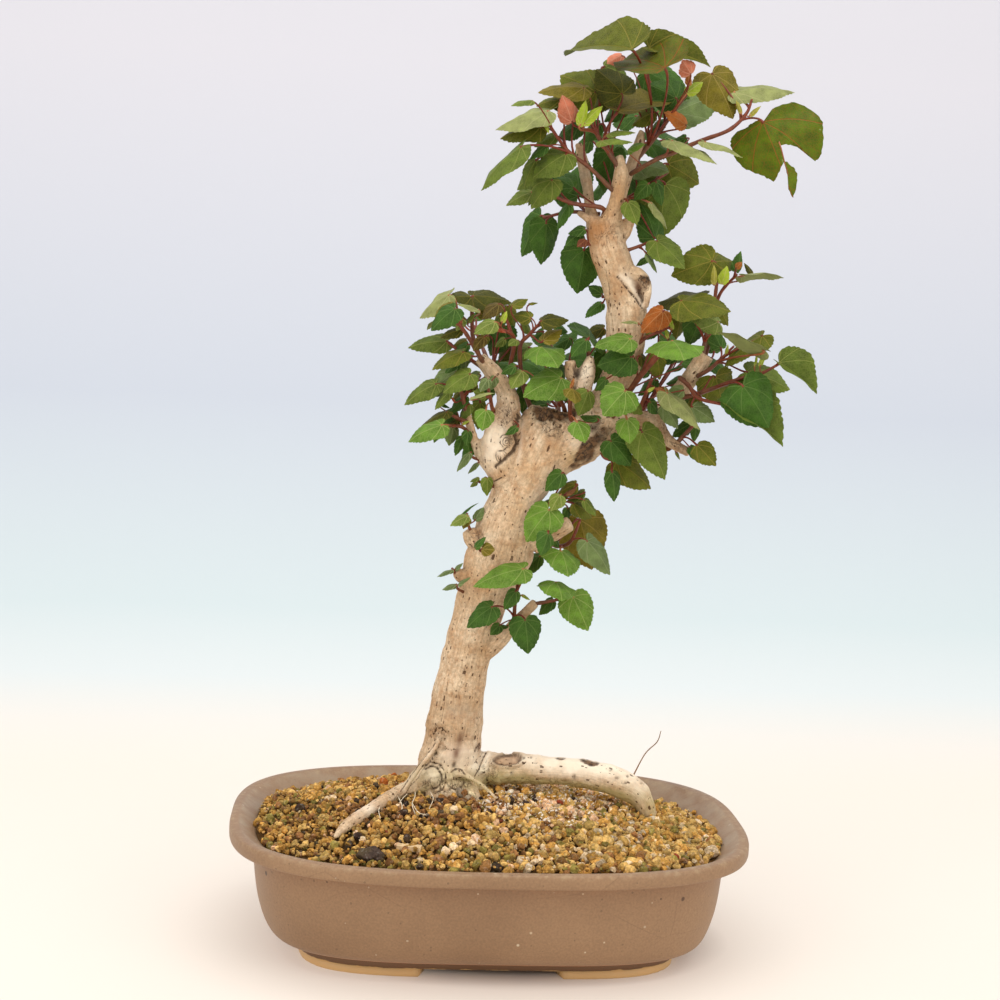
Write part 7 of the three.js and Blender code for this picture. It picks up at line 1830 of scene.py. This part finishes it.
# Colours of the backdrop from the floor up, and the sizes of its floor, bend and wall
PAPER_COLOURS = [(0, "#FAE8D6"), (0.05, "#DAE0E0"), (0.09, "#CDD8DA"), (0.25, "#C3C9D3"), (0.57, "#D3D2D9")]
PAPER_WIDE, PAPER_BEND, PAPER_BACK, PAPER_TALL, PAPER_FRONT = 3000, 600, 900, 2600, -2400
BEND_STEPS = 24


def make_stage():
    """A pale floor that curves up into a wall, cream below and cool white above, glowing as painted light
    that lifts its shadows, save round the pot, where the shade stays.
    """
    finish = Finish("paper backdrop, matt with a painted glow")
    add = finish.add
    height = add("SeparateXYZ", (finish.where,), out=2)
    paper = add("ValToRGB", (add("MapRange", (height, -0.02, 1, 0, 1)),))
    stops = paper.node.color_ramp.elements
    while len(stops) < len(PAPER_COLOURS):
        stops.new(0.5)
    for stop, (place, colour) in zip(stops, PAPER_COLOURS):
        stop.position = place
        stop.color = srgb(colour)
    # Painted light: the paper glows to lift its shadows, and the glow fades out round the pot so that the
    # shade beneath it stays
    near = add("VectorMath.MULTIPLY", (finish.where, (9.6, 14, 0)))
    away = add("VectorMath.LENGTH", (near,), out="Value")
    looks = {
        "Base Color": add("HueSaturation", {"Color": paper, "Value": 0.7}),
        "Emission Color": paper,
        "Emission Strength": add("MapRange", (away, 0.8, 1.15, 0, 0.385)),
        "Roughness": 0.95,
        SPECULAR: 0,
    }
    finish.fill(finish.shader, looks)
    profile = [(PAPER_FRONT, 0), (0, 0), (PAPER_BACK - PAPER_BEND, 0)]
    for step in range(1, BEND_STEPS + 1):
        angle = step / BEND_STEPS * math.pi / 2
        ahead = PAPER_BACK - PAPER_BEND + PAPER_BEND * math.sin(angle)
        profile.append((ahead, PAPER_BEND - PAPER_BEND * math.cos(angle)))
    profile.append((PAPER_BACK, PAPER_TALL))
    points = np.array([[x, y, z] for y, z in profile for x in (-PAPER_WIDE, PAPER_WIDE)], float)
    faces = [[2 * i, 2 * i + 1, 2 * i + 3, 2 * i + 2] for i in range(len(profile) - 1)]
    floor = piece_from("paper_floor_and_wall", points, faces, [finish.material])


# Lights: name, place, height they aim at, width and height, watts and colour
LIGHTS = [
    ("soft_top", (0, -0.25, 1.5), 0.15, (1.6, 1.4), 13, "#FFFFFF"),
    ("soft_left", (-1.3, -1.1, 0.9), 0.25, (1.1, 1.3), 8.5, "#FFF8F0"),
    ("soft_right", (1.3, -1.1, 0.8), 0.25, (1.1, 1.3), 6.5, "#FFF8F0"),
]
ROOM_LIGHT = 0.75


def make_light():
    """Soft studio light from above and both front sides, and a pale room all round."""
    for name, place, aim, size, watts, colour in LIGHTS:
        data = bpy.data.lights.new(name, "AREA")
        data.shape = "RECTANGLE"
        data.size, data.size_y = size
        data.energy = watts
        data.color = srgb(colour)[:3]
        light = bpy.data.objects.new(name, data)
        light.location = place
        light.rotation_euler = (Vector((0, 0, aim)) - Vector(place)).to_track_quat("-Z", "Y").to_euler()
        bpy.context.scene.collection.objects.link(light)
    world = bpy.data.worlds.new("pale_room")
    world.use_nodes = True
    back = world.node_tree.nodes["Background"]
    back.inputs["Color"].default_value = srgb("#FFFDFA")
    back.inputs["Strength"].default_value = ROOM_LIGHT
    bpy.context.scene.world = world
    bpy.context.scene.view_settings.view_transform = "Standard"


def make_camera():
    """The front view: the same place, tilt and lens angle as the places were read in."""
    data = bpy.data.cameras.new("front_view")
    data.sensor_fit = "HORIZONTAL"
    data.angle = math.radians(VIEW_ANGLE)
    camera = bpy.data.objects.new("front_view", data)
    cos, sin = math.cos(VIEW_ROLL), math.sin(VIEW_ROLL)
    axes = [cos * VIEW_RIGHT + sin * VIEW_UP, cos * VIEW_UP - sin * VIEW_RIGHT, -VIEW_AHEAD]
    place = Matrix(np.array([turned(axis, VIEW_TURN) for axis in axes]).T.tolist()).to_4x4()
    place.translation = Vector((EYE + POT_MIDDLE) * MM)
    camera.matrix_world = place
    bpy.context.scene.collection.objects.link(camera)
    bpy.context.scene.camera = camera


draw = np.random.default_rng(17)
leaf_finishes = [leaf_material(), stalk_material()]
for shoot_name, shoot_rows in SHOOTS.items():
    leafy_shoot(shoot_name, shoot_rows, leaf_finishes, draw)
make_trunk(bark_material())
make_pot(clay_material())
grains = grain_material()
make_soil([grains], limb_axes(), draw)
make_crumbs([grains], draw)
lump = Skin()
lump_looks = {"tint": srgb("#4C3E36"), "moss": 0.15, "speck": 0.1}
lumpy(lump, 4, [6.3, 4.4, 3.6], on_heap(*LUMP_PLACE, 1.2), np.eye(3), draw, 0.26, **lump_looks)
show(skin_piece("lava_rock_lump", lump, [grains]), "lava_rock", "lava_lump")
repaint("wood_chip", wood_material())
for number in (1, 2):
    repaint(f"drain_screen_{number}", screen_material(number))
    repaint(f"drain_clip_{number}", wire_material(number))
make_stage()
make_light()
make_camera()
